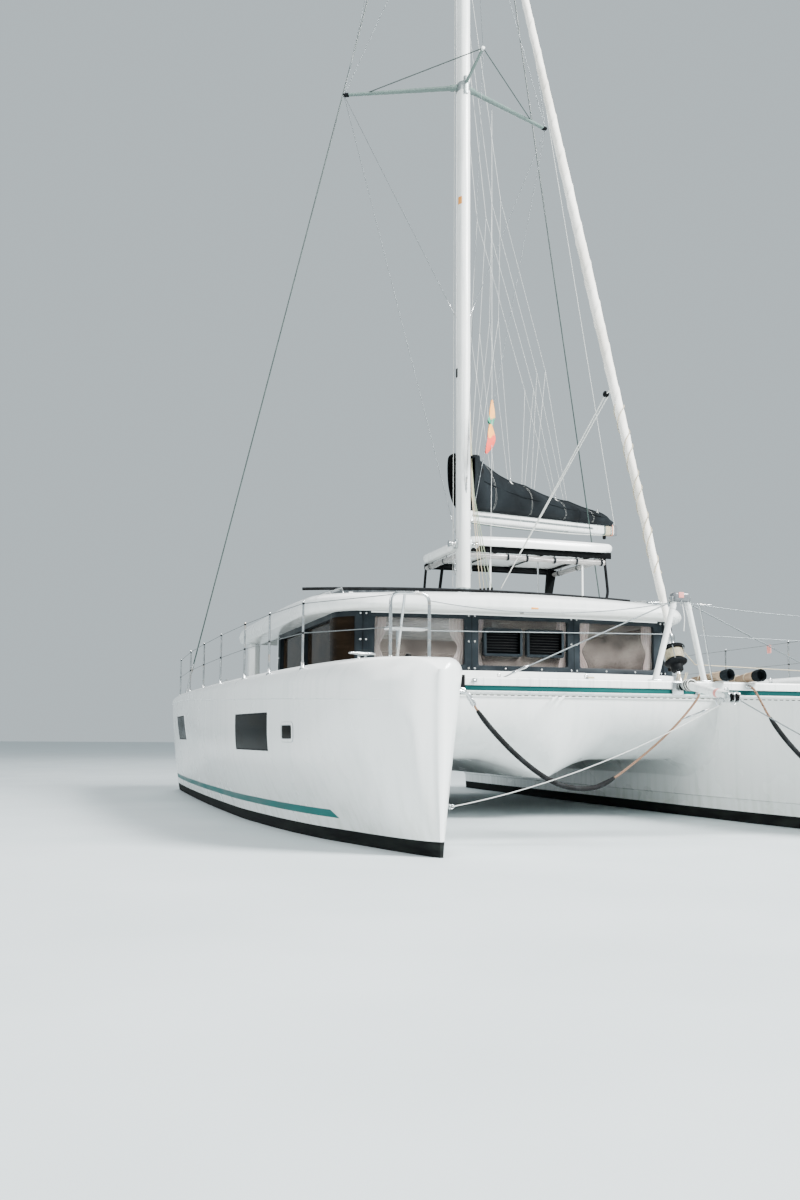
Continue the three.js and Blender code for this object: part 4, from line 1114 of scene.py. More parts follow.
def stern_cutters(side):
    slope = Piece("slope")
    slope.prism(WALL_SLOPE, side * 1.5, side * 4.5, 0, GELCOAT)
    low, high = sorted(side * (HULL_X + out) for out in STEP_OUT)
    steps = Piece("steps")
    outline = [(STERN_STEPS[0][0], 1.9)]
    for (y, z), (next_y, _) in zip(STERN_STEPS, [*STERN_STEPS[1:], (6.6, 0)]):
        outline += [(y, z + 0.02), (y + 0.02, z), (next_y, z)]
    outline += [(6.6, 1.9)]
    steps.prism(outline, low, high, 0, GELCOAT)
    return [slope, steps]


def make_hull(name, side):
    hull = Piece(f"hull_{name}_moulding")
    rows = [*spread(-6.4, -6.2, 18), *spread(-6.2, -5.8, 15)[1:], *spread(-5.8, 6.4, 150)[1:]]
    rings = [hull_ring(side, y) for y in rows]
    first = rings[0]
    middle = sum(first, Vector()) / len(first)
    for shrink, ahead in ((0.75, 0.009), (0.35, 0.015)):
        rings.insert(0, [Vector((middle.x + (p.x - middle.x) * shrink, p.y - ahead, p.z)) for p in first])
    hull.skin(rings, GELCOAT)
    made = hull.done(replaces=[f"hull_{name}"], slot="gelcoat", carve=stern_cutters(side), sharp=32)
    paint_hull(made, side)


def paint_hull(hull, side):
    """Cuts the hull's faces along its paint lines and gives each band its finish."""
    mesh = bmesh.new()
    mesh.from_mesh(hull.data)
    stripe_end = Vector((0, 0.08, 0.055)).cross(Vector(PORT))
    stripe_start = Vector((0, STRIPE_FRONT_Y, STRIPE_Z[0]))
    planes = [(Vector((0, 0, z)), Vector(UP)) for z in (BOOT_TOP_Z, *STRIPE_Z)]
    for point, normal in [*planes, (stripe_start, stripe_end)]:
        bmesh.ops.bisect_plane(mesh, geom=[*mesh.verts, *mesh.edges, *mesh.faces], plane_co=point,
                               plane_no=normal)
    for material in (BOTTOM, TEAL, DECK):
        hull.data.materials.append(material)
    first = len(hull.data.materials) - 3
    for face in mesh.faces:
        middle = face.calc_center_median()
        out = side * middle.x - HULL_X
        level = face.normal.z > 0.98
        behind_start = (middle - stripe_start).dot(stripe_end) * stripe_end.y > 0
        on_stripe = STRIPE_Z[0] < middle.z < STRIPE_Z[1] and behind_start and out > 0 and middle.y < 6.2
        deck, knuckle_out, _, _, deck_in, *_ = HULL.at(middle.y)
        on_deck = middle.z > deck - 0.02 and 0.09 - deck_in < out < knuckle_out - 0.3 and middle.y > -5.95
        on_step = middle.y > STERN_STEPS[0][0] and STEP_OUT[0] + 0.05 < out < STEP_OUT[1] - 0.05
        if middle.z < BOOT_TOP_Z:
            face.material_index = first
        elif on_stripe:
            face.material_index = first + 1
        elif level and (on_deck or on_step):
            face.material_index = first + 2
    mesh.to_mesh(hull.data)
    mesh.free()
    settle(hull, 32)


def hull_side(side):
    """The outer side as a surface: y along it and z up it."""
    return lambda y, z, lift: at_side(side, topside(y, z) + lift, y, z)


# y and z ranges of the bonded window, the portlight and the aft window
HULL_WINDOW = ((-3.73, 0.82), (-2.2, 1.25))
PORTLIGHT = ((-4.59, 0.93), (-4.2, 1.13))
AFT_WINDOW = ((2.55, 0.91), (3.75, 1.31))


def hull_windows(name, side):
    surface = hull_side(side)
    for label, (low, high), corner in (("window", HULL_WINDOW, 0.03), ("aft_window", AFT_WINDOW, 0.03)):
        pane = Piece(f"hull_{label}_{name}")
        depth = (high[1] - low[1]) / 2
        pane.inlay((low, high, corner), surface, [
            (0, -0.012, GELCOAT), (0, 0.005, GELCOAT), (0.016, 0.006, GELCOAT), (0.02, 0.001, BLACK),
            (0.032, 0.001, BLACK), (0.033, 0.003, HULL_GLASS), (0.4 * depth, 0.003, HULL_GLASS),
            (0.7 * depth, 0.003, HULL_GLASS), (depth - SPINE_GAP, 0.003, HULL_GLASS)], up=12)
        pane.done(slot="glass")
    light = Piece(f"portlight_{name}")
    low, high = PORTLIGHT
    light.inlay((low, high, 0.06), surface, [
        (0, -0.012, FRAME_GREY), (0, 0.006, FRAME_GREY), (0.004, 0.009, FRAME_GREY),
        (0.006, 0.01, WHITE_ALLOY), (0.03, 0.012, WHITE_ALLOY), (0.036, 0.004, FRAME_GREY),
        (0.042, 0.004, BLACK), (0.052, 0.006, HULL_GLASS),
        ((high[1] - low[1]) / 2 - SPINE_GAP, 0.006, HULL_GLASS)], up=6)
    light.done(slot="glass")


for name, side in SIDES.items():
    make_hull(name, side)
    hull_windows(name, side)


# Bridgedeck with its nacelle, and the foredeck

TUNNEL_FILLET = 0.3
HULL_INSIDE = 2.14
NOSE_TOP_Z = 1.5
NOSE_LENGTH = 0.9


def underside(y, x):
    """The bridgedeck's underside: a round nose, a soft keel line in the middle, a fillet to each hull."""
    into_nose = min(1, (y - DECK_FRONT_Y) / NOSE_LENGTH)
    into_keel = min(1, (y - DECK_FRONT_Y) / 0.54)
    swell = max(0, 1 - math.hypot(x, 0.03) / 0.76) ** 1.3
    round_nose = math.sqrt(1 - (1 - into_nose) ** 2)
    tunnel = NOSE_TOP_Z - (NOSE_TOP_Z - TUNNEL_Z) * round_nose
    keel = NOSE_TOP_Z - (NOSE_TOP_Z - NACELLE_Z) * math.sqrt(1 - (1 - into_keel) ** 2)
    side_in = min(TUNNEL_FILLET, max(0, abs(x) - HULL_INSIDE + TUNNEL_FILLET))
    fillet = TUNNEL_FILLET - math.sqrt(TUNNEL_FILLET ** 2 - side_in ** 2)
    return tunnel + (keel - tunnel) * swell - fillet * round_nose


def make_bridgedeck():
    deck = Piece("bridgedeck_moulding")
    nose = [DECK_FRONT_Y + NOSE_LENGTH * (1 - math.cos(math.radians(a))) for a in spread(0, 90, 26)]
    ys = [*nose, *spread(DECK_FRONT_Y + NOSE_LENGTH, DECK_AFT_Y, 24)[1:]]
    rings = []
    for x in spread(-2.2, 2.2, 89):
        below = [Vector((x, y, underside(y, x))) for y in ys]
        above = [(DECK_AFT_Y, SOLE_Z), (-1.6, SOLE_Z), (-1.6, DECK_Z - 0.004),
                 *arc((DECK_FRONT_Y + 0.05, DECK_Z - 0.054), (0.05, 0.05), 90, 180, 6)]
        rings.append([*below, *[Vector((x, y, z)) for y, z in above]])
    deck.skin(rings, GELCOAT)
    deck.done(replaces=["bridgedeck"], slot="gelcoat", sharp=35)


def flat_top(z):
    """A level surface: x and y across it."""
    return lambda x, y, lift: Vector((x, y, z + lift))


def make_foredeck():
    deck = Piece("foredeck_tread")
    for low, high in (((-2.1, -2.8), (-1.24, -1.7)), ((-0.36, -2.8), (0.36, -1.9)),
                      ((1.24, -2.8), (2.1, -1.7)), ((-1.2, -2.0), (-0.4, -1.84)),
                      ((0.4, -2.0), (1.2, -1.84))):
        deck.inlay((low, high, 0.05), flat_top(DECK_Z),
                   [(0, -0.006, DECK), (0, 0, DECK), (0.004, 0.002, DECK)])
    deck.done(replaces=["foredeck"], slot="deck")


make_bridgedeck()
make_foredeck()


# Coachroof

# y, half width, bottom, top
ROOF = Stations([
    [-2.16, 1.78, 2.61, 2.7],
    [-2.09, 2.0, 2.566, 2.76],
    [-1.9, 2.21, 2.5603, 2.815],
    [-1.4, 2.5, 2.5603, 2.885],
    [-0.5, 2.7, 2.5603, 2.962],
    [1.5, 2.7, 2.5603, 3.03],
    [4.45, 2.7, 2.5603, 3.03],
    [4.6, 2.62, 2.62, 2.99],
])
ROOF_EDGE = 0.32
ROOF_CROWN = 0.24
# The space under the roof, and the well that the helm stands in
ROOF_SPACE = ((-2.33, -1.3, 2.3), (2.33, 4.4, 2.76))
HELM_WELL = ((1.18, 2.52, 2.3), (2.8, 3.48, 3.4))


def roof_top(x, y, lift=0.0):
    """The roof's outer surface over a place in plan."""
    half, bottom, top = ROOF.at(y)
    height = top - bottom
    flat = half - ROOF_EDGE
    if abs(x) <= flat:
        return Vector((x, y, top - ROOF_CROWN * height * (x / flat) ** 2 + lift))
    rise = math.sqrt(max(0, 1 - ((abs(x) - flat) / ROOF_EDGE) ** 2))
    return Vector((x, y, bottom + 0.2 * height + (0.8 - ROOF_CROWN) * height * rise + lift))


def roof_ring(y):
    half, bottom, top = ROOF.at(y)
    height = top - bottom
    flat = half - ROOF_EDGE
    side = [(half - 0.25 * ROOF_EDGE, bottom), (half - 0.12 * ROOF_EDGE, bottom + 0.012),
            (half - 0.02, bottom + 0.09 * height)]
    side += arc((flat, bottom + 0.2 * height), (ROOF_EDGE, (0.8 - ROOF_CROWN) * height), 0, 90, 14)
    crown = [(x, top - ROOF_CROWN * height * (x / flat) ** 2) for x in spread(flat, 0, 16)[1:]]
    ring = [*side, *crown]
    ring += [(-x, z) for x, z in reversed(ring[:-1])]
    return [Vector((x, y, z)) for x, z in ring]


def make_coachroof():
    roof = Piece("coachroof_moulding")
    ys = [*spread(-2.16, -1.9, 14), *spread(-1.9, -0.5, 22)[1:], *spread(-0.5, 4.45, 50)[1:],
          *spread(4.45, 4.6, 8)[1:]]
    roof.skin([roof_ring(y) for y in ys], GELCOAT)
    space = Piece("roof_space")
    space.soft_box(*ROOF_SPACE, 0.06, GELCOAT)
    well = Piece("helm_well")
    well.soft_box(*HELM_WELL, 0.08, GELCOAT)
    roof.done(replaces=["coachroof"], slot="gelcoat", carve=[space, well], sharp=35)
    step = Piece("mast_step")
    step.soft_box((-0.19, 0.24, 2.94), (0.19, 0.8, MAST_FOOT_Z), 0.02, GELCOAT)
    step.lathe([(0.15, 0), (0.16, 0.012), (0.15, 0.02)], (0, MAST_Y, MAST_FOOT_Z - 0.012), UP, ALLOY)
    step.done(slot="gelcoat")


make_coachroof()


# Saloon: the grey window band round its front and sides, and the white wall below it

BAND_Z = (1.83, 2.56)
WINDOW_Z = (1.9, 2.49)
FRONT_CELLS = [((-2.04, -0.71), (-1.95, -0.8)), ((-0.71, 0.71), (-0.62, 0.62)), ((0.71, 2.04), (0.8, 1.95))]
SIDE_CELLS = [((-1.2, 0.54), (-1.15, 0.48)), ((0.54, 2.4), (0.6, 2.25))]
WALL = 0.06


def front_wall(x, z, depth):
    """The front wall's outer face as a surface, and depth behind it."""
    slant = max(0, abs(x) - 0.7) / (SALOON_CORNER[0] - 0.7)
    return Vector((x, SALOON_FRONT_Y + slant * (SALOON_CORNER[1] - SALOON_FRONT_Y) + depth, z))


def side_wall(side):
    return lambda y, z, depth: Vector((side * (SALOON_HALF - depth), y, z))


def window_cell(piece, outer, window, surface):
    """One pane's frame: its cell of the wall, with a round-cornered window through it."""
    rings = [(outer, BAND_Z, 1e-3, 0), (window, WINDOW_Z, 0.026, 0), (window, WINDOW_Z, 0.026, 0.004),
             (window, WINDOW_Z, 0.026, WALL), (outer, BAND_Z, 1e-3, WALL)]
    loops = []
    for across, up, radius, depth in rings:
        grow_out = 0.006 if depth == 0 and across is window else 0
        outline = rounded_outline((across[0] - grow_out, up[0] - grow_out),
                                  (across[1] + grow_out, up[1] + grow_out), radius)
        loops.append([surface(u, v, depth) for u, v in outline])
    piece.skin(loops, GREY, closed=True)


def corner_post(piece, side, z_range, material, proud=0.0):
    """The round corner between the front and the side walls."""
    def edge(depth):
        return [(SALOON_CORNER[0] - 0.01, SALOON_CORNER[1] + depth), (2.16, -1.615 + depth),
                (2.25 - 0.6 * depth, -1.56 + 0.8 * depth), (2.32 - 0.8 * depth, -1.48 + 0.6 * depth),
                (2.37 - depth, -1.4 + 0.5 * depth), (2.394 - depth, -1.3 + 0.2 * depth),
                (SALOON_HALF - depth, -1.2)]
    outline = [*edge(-proud), *reversed(edge(WALL))]
    piece.prism([(side * x, y) for x, y in outline], *z_range, 2, material)


def make_saloon():
    front = Piece("saloon_front_frame")
    for outer, window in FRONT_CELLS:
        window_cell(front, outer, window, front_wall)
    front.skin([[front_wall(x, z, d) for x, d in ((-2.05, -0.012), (-0.7, -0.012), (0.7, -0.012),
                                                  (2.05, -0.012), (2.05, WALL), (0.7, WALL), (-0.7, WALL),
                                                  (-2.05, WALL))] for z in (DECK_Z, BAND_Z[0])], GELCOAT)
    front.done(replaces=["saloon_front"], slot="window_frame", sharp=30)
    for name, side in SIDES.items():
        wall = Piece(f"saloon_side_frame_{name}")
        for outer, window in SIDE_CELLS:
            window_cell(wall, outer, window, side_wall(side))
        corner_post(wall, side, BAND_Z, GREY)
        corner_post(wall, side, (DECK_Z, BAND_Z[0]), GELCOAT, proud=0.012)
        low, high = sorted((side * (SALOON_HALF - WALL), side * (SALOON_HALF + 0.012)))
        wall.prism([(low, -1.2), (high, -1.2), (high, 2.4), (low, 2.4)], DECK_Z, BAND_Z[0], 2, GELCOAT)
        wall.done(replaces=[f"saloon_side_{name}"], slot="window_frame", sharp=30)


def band_seams():
    """The dark joints that part the band's posts, and the curved pane round each front corner."""
    seams = [([front_wall(x, z, 0.0015) for z in BAND_Z], 0.004) for x in (-0.71, 0.71, -2.1, 2.1)]
    seams += [([Vector((side * (SALOON_HALF - 0.001), y, z)) for z in BAND_Z], 0.004)
              for side in SIDES.values() for y in (0.54, 2.33)]
    lines("band_seams", seams, BLACK, sides=8)
    for name, side in SIDES.items():
        pane = Piece(f"corner_pane_{name}")
        across = [(2.2, -1.597), (2.25, -1.56), (2.32, -1.48), (2.37, -1.4), (2.394, -1.3),
                  (SALOON_HALF, -1.2), (SALOON_HALF, -1.14)]
        path = smooth_path([(x, y, 0) for x, y in across])

        def wrapped(u, z, lift):
            i = min(len(path) - 2, int(u * (len(path) - 1)))
            point = path[i].lerp(path[i + 1], u * (len(path) - 1) - i)
            out = (path[i + 1] - path[i]).cross(Vector((0, 0, -1))).normalized()
            point = point - out * lift
            return Vector((side * point.x, point.y, z))
        rings = [[wrapped(u, z, lift) for lift, zs in ((0.006, WINDOW_Z), (-0.004, WINDOW_Z[::-1]))
                  for z in zs] for u in spread(0, 1, 30)]
        pane.skin(rings, CORNER_PANE)
        pane.done(slot="glass")


def band_bolts():
    """Paired bolts up the posts, and single ones under the panes."""
    places = []
    for x in (-0.71, 0.71):
        for z in (1.86, 2.2, 2.53):
            places += [(front_wall(x + dx, z, 0), (0, -1, 0)) for dx in (-0.04, 0.04)]
    places += [(front_wall(x, 1.866, 0), (0, -1, 0)) for x in (-1.6, -1.15, 0.25, -0.25, 1.2, 1.65)]
    for side in SIDES.values():
        for y in (0.5, 0.58, 2.3, 2.36):
            places += [((side * SALOON_HALF, y, z), (side, 0, 0)) for z in (1.86, 2.2, 2.53)]
        for x, y in ((2.06, -1.647), (2.13, -1.627)):
            places += [((side * x, y, z), (side * 0.2, -0.98, 0)) for z in (1.86, 2.2, 2.53)]
    bolts("window_band_bolts", places, 0.013, 0.013, STEEL)


def centre_vents():
    """Two opening ports in the middle pane: grey frames round openings painted near-black as the shade
    inside, with their louvres.
    """
    vents = Piece("centre_pane_ports")
    front_y = SALOON_FRONT_Y + 0.022
    for low_x, high_x in ((-0.55, -0.02), (0.04, 0.56)):
        surface = lambda x, z, lift: front_wall(x, z, 0.055 - lift)
        # The openings' near-black is painted shade
        vents.inlay(((low_x, 2.02), (high_x, 2.38), 0.03), surface, [
            (0, -0.002, GREY), (0, 0.066, GREY), (0.006, 0.07, GREY), (0.034, 0.07, GREY),
            (0.04, 0.016, VOID), (0.06, 0.014, VOID)])
        for z in spread(2.09, 2.31, 7):
            vents.soft_box((low_x + 0.045, front_y + 0.012, z - 0.006),
                           (high_x - 0.045, front_y + 0.018, z + 0.006), 0.002, BLACK,
                           turn=Quaternion((1, 0, 0), math.radians(28)), steps=1)
    vents.done(slot="window_frame")


make_saloon()
band_bolts()
band_seams()
centre_vents()


# Curtains: gathered cloth behind each front pane, tied back at their middles

# The stretch of x that each hangs over, the x that it is tied to, and its folds
CURTAINS = [((-1.97, -1.78), -1.93, 4), ((-0.98, -0.76), -0.78, 4), ((-0.66, -0.52), -0.64, 3),
            ((0.5, 0.66), 0.64, 3), ((0.76, 0.98), 0.78, 4), ((1.8, 1.97), 1.93, 4)]


def curtain(name, x_range, tied_to, folds):
    """One curtain, gathered on its rail and pulled in towards one side at its tie."""
    piece = Piece(name)
    zs = spread(1.86, 2.53, 30)
    columns = spread(0, 1, folds * 8 + 1)
    depth = 0.085
    rings = []
    for z in zs:
        pull = 0.55 * math.exp(-((z - 2.12) / 0.13) ** 2) + 0.12 * soft_step(2.12, 1.9, z)
        row = []
        for t in columns:
            x = x_range[0] + (x_range[1] - x_range[0]) * t
            x += (tied_to - x) * pull
            wave = 0.016 * math.sin(2 * math.pi * folds * t + 0.6 * math.sin(9 * z)) * (1 - 0.3 * pull)
            row.append(front_wall(x, z, depth + wave))
        rings.append([*row, *[point + Vector((0, 0.0012, 0)) for point in reversed(row)]])
    piece.skin(rings, CURTAIN)
    return piece


def make_curtains():
    for number, (x_range, tied_to, folds) in enumerate(CURTAINS, 1):
        piece = curtain(f"curtain_{number}", x_range, tied_to, folds)
        cloth = piece.done(slot="curtain", replaces=["curtain_front"] if number == 1 else ())


def refinish(material, *nodes):
    """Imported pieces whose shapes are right, in their real finish."""
    for node in nodes:
        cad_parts[node].data.materials.clear()
        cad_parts[node].data.materials.append(material)


make_curtains()
refinish(SMOKED, "glass_front", "glass_galley", "saloon_door_glass")
refinish(SIDE_SMOKED, "glass_side_starboard", "glass_side_port")


# Bow: crossbeam, striker, sprit, nets, furler, seats and deck gear

BEAM_FRONT_Y = BEAM_Y - 0.075


def make_crossbeam():
    """The beam's extrusion, with a groove for the net's bolt rope along its front, painted dark teal as
    shade.
    """
    low, high = BEAM_Z
    corners = [((0.055, low + 0.02), 270), ((0.055, high - 0.02), 0), ((-0.055, high - 0.02), 90)]
    section = [p for (y, z), start in corners for p in arc((y, z), (0.02, 0.02), start, start + 90, 6)]
    groove = [(-0.075, 1.464), (-0.07, 1.459), (-0.062, 1.459), (-0.062, 1.417), (-0.07, 1.417),
              (-0.075, 1.412)]
    section += groove + arc((-0.055, low + 0.02), (0.02, 0.02), 180, 270, 6)
    around = [WHITE_ALLOY] * len(section)
    # The groove's recessed faces in painted shade, tinted teal as a painted reflection
    around[19:23] = [GROOVE_SHADE_TEAL] * 4
    beam = Piece("crossbeam_extrusion")
    rings = [[Vector((x, BEAM_Y + y, z)) for y, z in section] for x in spread(-2.42, 2.42, 3)]
    beam.skin(rings, WHITE_ALLOY, around=around)
    beam.done(replaces=["crossbeam"], slot="painted_alloy")
    gear = Piece("crossbeam_fittings")
    for side in SIDES.values():
        low_x, high_x = sorted((side * 2.24, side * 2.36))
        gear.soft_box((low_x, BEAM_Y - 0.09, low - 0.012), (high_x, BEAM_Y + 0.09, high + 0.012), 0.008,
                      BLACK)
        eye_plate(gear, (side * 2.15, BEAM_FRONT_Y, 1.5), (0, -1, 0.3), 0.026)
        eye_plate(gear, (side * 1.0, BEAM_Y, high), UP, 0.026)
        eye_plate(gear, (side * 1.88, BEAM_Y, high - 0.004), UP, 0.022)
    gear.soft_box((-0.14, BEAM_FRONT_Y - 0.012, 1.4), (-0.02, BEAM_FRONT_Y + 0.01, 1.53), 0.006, STEEL)
    gear.done(slot="stainless")
    lines("net_lacing_slots",
          [([(x, BEAM_FRONT_Y - 0.0005, 1.372), (x + 0.036, BEAM_FRONT_Y - 0.0005, 1.372)], 0.0045)
           for x in spread(-2.2, 2.2, 66)], BLACK, sides=6)


def make_striker():
    striker = Piece("striker_frame")
    striker.soft_box((-0.085, BEAM_Y - 0.05, 2.305), (0.103, BEAM_Y + 0.05, 2.405), 0.03, HEAD_GREY, steps=4)
    for x in (-0.092, 0.098):
        striker.soft_box((x, BEAM_Y - 0.04, 2.3), (x + 0.012, BEAM_Y + 0.04, 2.36), 0.005, STEEL)
    striker.soft_box((-0.03, BEAM_Y - 0.054, 2.345), (0.025, BEAM_Y - 0.046, 2.4), 0.003, PINK)
    striker.rod((0.0, BEAM_Y - 0.045, 2.27), (0.0, BEAM_Y - 0.045, 2.33), 0.012, STEEL)
    striker.tube(smooth_path([(0.005, BEAM_Y - 0.05, 2.3), (0.02, BEAM_Y - 0.06, 2.15),
                              (0.01, BEAM_Y - 0.06, 2.02)]), 0.004, WHITE_ROPE, 8)
    for side in SIDES.values():
        foot, head = Vector((side * 0.27 - 0.01, BEAM_Y, 1.53)), Vector((side * 0.07 + 0.018, BEAM_Y, 2.32))
        striker.rod(foot, head, 0.028, WHITE_ALLOY, sides=24)
        for t in (0.0, 0.9):
            striker.rod(foot.lerp(head, t), foot.lerp(head, t + 0.05), 0.031, WHITE_ALLOY, sides=24)
        striker.soft_box(foot + Vector((-0.055, -0.055, 0.006)), foot + Vector((0.055, 0.055, 0.02)), 0.006,
                         STEEL)
        stay_foot, screw_low = Vector((side * 1.88, BEAM_Y, 1.52)), Vector((side * 1.78, BEAM_Y, 1.566))
        striker.rod((side * 0.1, BEAM_Y, 2.3), stay_foot, 0.0065, WIRE, sides=10)
        turnbuckle(striker, screw_low, (side * 1.57, BEAM_Y, 1.66), 0.014)
    striker.rod((0.2, BEAM_Y - 0.05, 2.27), (0.315, BEAM_Y - 0.05, 1.55), 0.008, STEEL, sides=10)
    striker.done(replaces=["striker"], slot="painted_alloy")


def make_sprit():
    """The white sprit with its root wrap and the double bow roller at its tip."""
    root = Vector((0, BEAM_FRONT_Y, 1.506))
    along = (SPRIT_TIP - root).normalized()
    length = (SPRIT_TIP - root).length
    sprit = Piece("sprit_tube")
    sprit.lathe([(0.041, 0.02), (0.041, length - 0.1), (0.036, length - 0.08), (0.02, length - 0.075)],
                root, along, WHITE_ALLOY, 28)
    sprit.lathe([(0.043, 0.03), (0.052, 0.04), (0.05, 0.06), (0.055, 0.08), (0.05, 0.1), (0.043, 0.11)],
                root, along, BLACK, 28)
    for i in range(5):
        turn = [root + Vector((0.052 * math.cos(a), -0.05 - 0.02 * i + 0.01 * math.sin(a),
                               0.052 * math.sin(a) - 0.01)) for a in spread(0.4, 6.0, 20)]
        sprit.tube(turn, 0.006, (WHITE_ROPE, BLACK)[i % 2], 8)
    eye_plate(sprit, (0, BEAM_FRONT_Y, 1.5), (0, -1, 0), 0.03)
    sprit.lathe([(0.0416, 0.56), (0.0424, 0.565), (0.0424, 0.6), (0.0416, 0.605)], root, along, PINK, 28)
    middle = SPRIT_TIP + Vector((0.02, 0.06, 0.0))
    for x in (-0.052, 0.0, 0.052):
        plate = rounded_outline((middle.y - 0.06, middle.z - 0.045), (middle.y + 0.1, middle.z + 0.05),
                                0.03, 6)
        sprit.prism(plate, middle.x + x - 0.003, middle.x + x + 0.003, 0, STEEL)
    for x in (-0.048, 0.004):
        sprit.lathe([(0.036, 0), (0.037, 0.003), (0.022, 0.018), (0.022, 0.026), (0.037, 0.041),
                     (0.036, 0.044)], middle + Vector((x, 0, 0)), PORT, BLACK, 28)
    sprit.rod(middle - Vector((0.064, 0, 0)), middle + Vector((0.064, 0, 0)), 0.01, STEEL)
    for x, y, z in ((-0.07, 0.1, -0.035), (0.09, 0.1, -0.03), (0.03, 0.12, 0.06)):
        spot = middle + Vector((x, y, z))
        sprit.hoop(spot, (0.026, 0.008, 0), (0, 0, 0.032), 0.006, STEEL, 24, 10)
    sprit.done(replaces=["sprit"], slot="painted_alloy")
    guys = Piece("sprit_guy_fittings")
    turnbuckle(guys, (-0.17, -6.48, 1.262), (-0.45, -6.45, 1.155), 0.012)
    eye_plate(guys, (-2.522, -6.15, 0.4), (1, 0, 0), 0.024)
    eye_plate(guys, (2.522, -6.15, 0.4), (-1, 0, 0), 0.024)
    guys.done(slot="stainless")
    lines("sprit_guy_starboard", [(sagging((-0.07, -6.5, 1.3), (-2.5, -6.15, 0.4), 0.11), 0.004)],
          WHITE_ROPE)
    lines("sprit_guy_port", [(sagging((0.07, -6.5, 1.36), (2.5, -6.15, 0.4), 0.04), 0.006)], WIRE)


def beam_rolls():
    """Two rolled awnings tied along the top of the beam, with dark ends."""
    rolls = Piece("beam_rolls")
    for near, far, swell in (((0.434, -5.87, 1.605), (0.3, -5.38, 1.57), 0.056),
                             ((0.777, -5.87, 1.607), (0.72, -5.4, 1.57), 0.06)):
        start, end = Vector(far), Vector(near)
        length = (end - start).length
        rolls.lathe([(0.014, 0), (0.026, 0.01), (0.03, 0.12), (0.04, 0.3 * length + 0.06),
                     (swell * 0.82, 0.7 * length), (swell * 0.9, 0.82 * length)], start, end - start,
                    BROWN_CANVAS, 26)
        rolls.lathe([(swell * 0.9, 0.8 * length), (swell, 0.86 * length), (swell * 1.04, 0.98 * length),
                     (swell * 0.98, length), (swell * 0.86, 0.97 * length), (swell * 0.8, 0.86 * length),
                     (0.01, 0.85 * length)], start, end - start, CANVAS, 26)
        for t in (0.25, 0.55):
            girth = 0.036 + 0.014 * t
            rolls.hoop(start.lerp(end, t), (girth, 0, 0), (0, 0, girth), 0.005, BEIGE_ROPE, 20)
    rolls.done(slot="canvas", sharp=60)


NET_Y = (BEAM_Y + 0.1, DECK_FRONT_Y - 0.03)
NET_IN = 0.08
NET_Z = 1.488
LACING_STEP = 0.092


def net_edge(y):
    """How far out the net reaches beside the hull."""
    return HULL_X - HULL.at(y)[4] - 0.03


def net_point(side, x, y):
    """A place on the net, which dips towards its middle."""
    front, back = NET_Y
    across = (x - NET_IN) / (net_edge(y) - NET_IN)
    dip = math.sin(math.pi * min(1, max(0, across))) * math.sin(math.pi * (y - front) / (back - front))
    return Vector((side * x, y, NET_Z - 0.035 * dip))


def make_net(name, side):
    """Knotless netting, drawn on a 40 mm mesh."""
    front, back = NET_Y
    paths = [([net_point(side, x, y) for x in spread(NET_IN, net_edge(y), 12)], 0.0024)
             for y in spread(front, back, 66)]
    for x in spread(NET_IN, net_edge(back), 52):
        reached = [y for y in spread(front, back, 25) if x <= net_edge(y) + 1e-6]
        paths.append(([net_point(side, x, y) for y in reached], 0.0024))
    lines(f"net_{name}", paths, WHITE_ROPE, sides=4, replaces=[f"trampoline_{name}"])


def net_border(name, side):
    """The net's border rope, laced to the beam and to the deck."""
    front, back = NET_Y
    outline = [(NET_IN, y) for y in spread(front, back, 12)]
    outline += [(x, back) for x in spread(NET_IN, net_edge(back), 10)[1:]]
    outline += [(net_edge(y), y) for y in spread(back, front, 14)[1:]]
    outline += [(x, front) for x in spread(net_edge(front), NET_IN, 10)[1:]]
    paths = [([net_point(side, x, y) for x, y in outline], 0.009)]
    for y, count, out, rise in ((front, 24, -0.032, 0.012), (back, 22, 0.034, 0.01)):
        for i in range(count):
            first, middle, last = [side * (NET_IN + LACING_STEP * (i + t)) for t in (0, 0.5, 1)]
            paths.append(([(first, y, NET_Z), (middle, y + out, NET_Z + rise), (last, y, NET_Z)], 0.003))
    lines(f"net_border_{name}", paths, WHITE_ROPE, sides=8)


def net_spine():
    """The rope between the two nets, with the stitches that join them over it."""
    front, back = NET_Y
    spine = [(0, y, 1.5 - 0.01 * math.sin(math.pi * t))
             for t, y in zip(spread(0, 1, 12), spread(front - 0.03, back + 0.03, 12))]
    paths = [(spine, 0.011)]
    for y in spread(front, back - 0.06, 30):
        paths.append(([(-NET_IN, y, NET_Z - 0.001), (0, y + 0.05, 1.5), (NET_IN, y, NET_Z - 0.001)], 0.003))
    lines("net_spine", paths, WHITE_ROPE)


def on_stay(distance):
    return STAY_FOOT + STAY_DIRECTION * distance


DRUM_PLACE = STAY_FOOT + STAY_DIRECTION * -0.065 + Vector((-0.015, 0, 0))


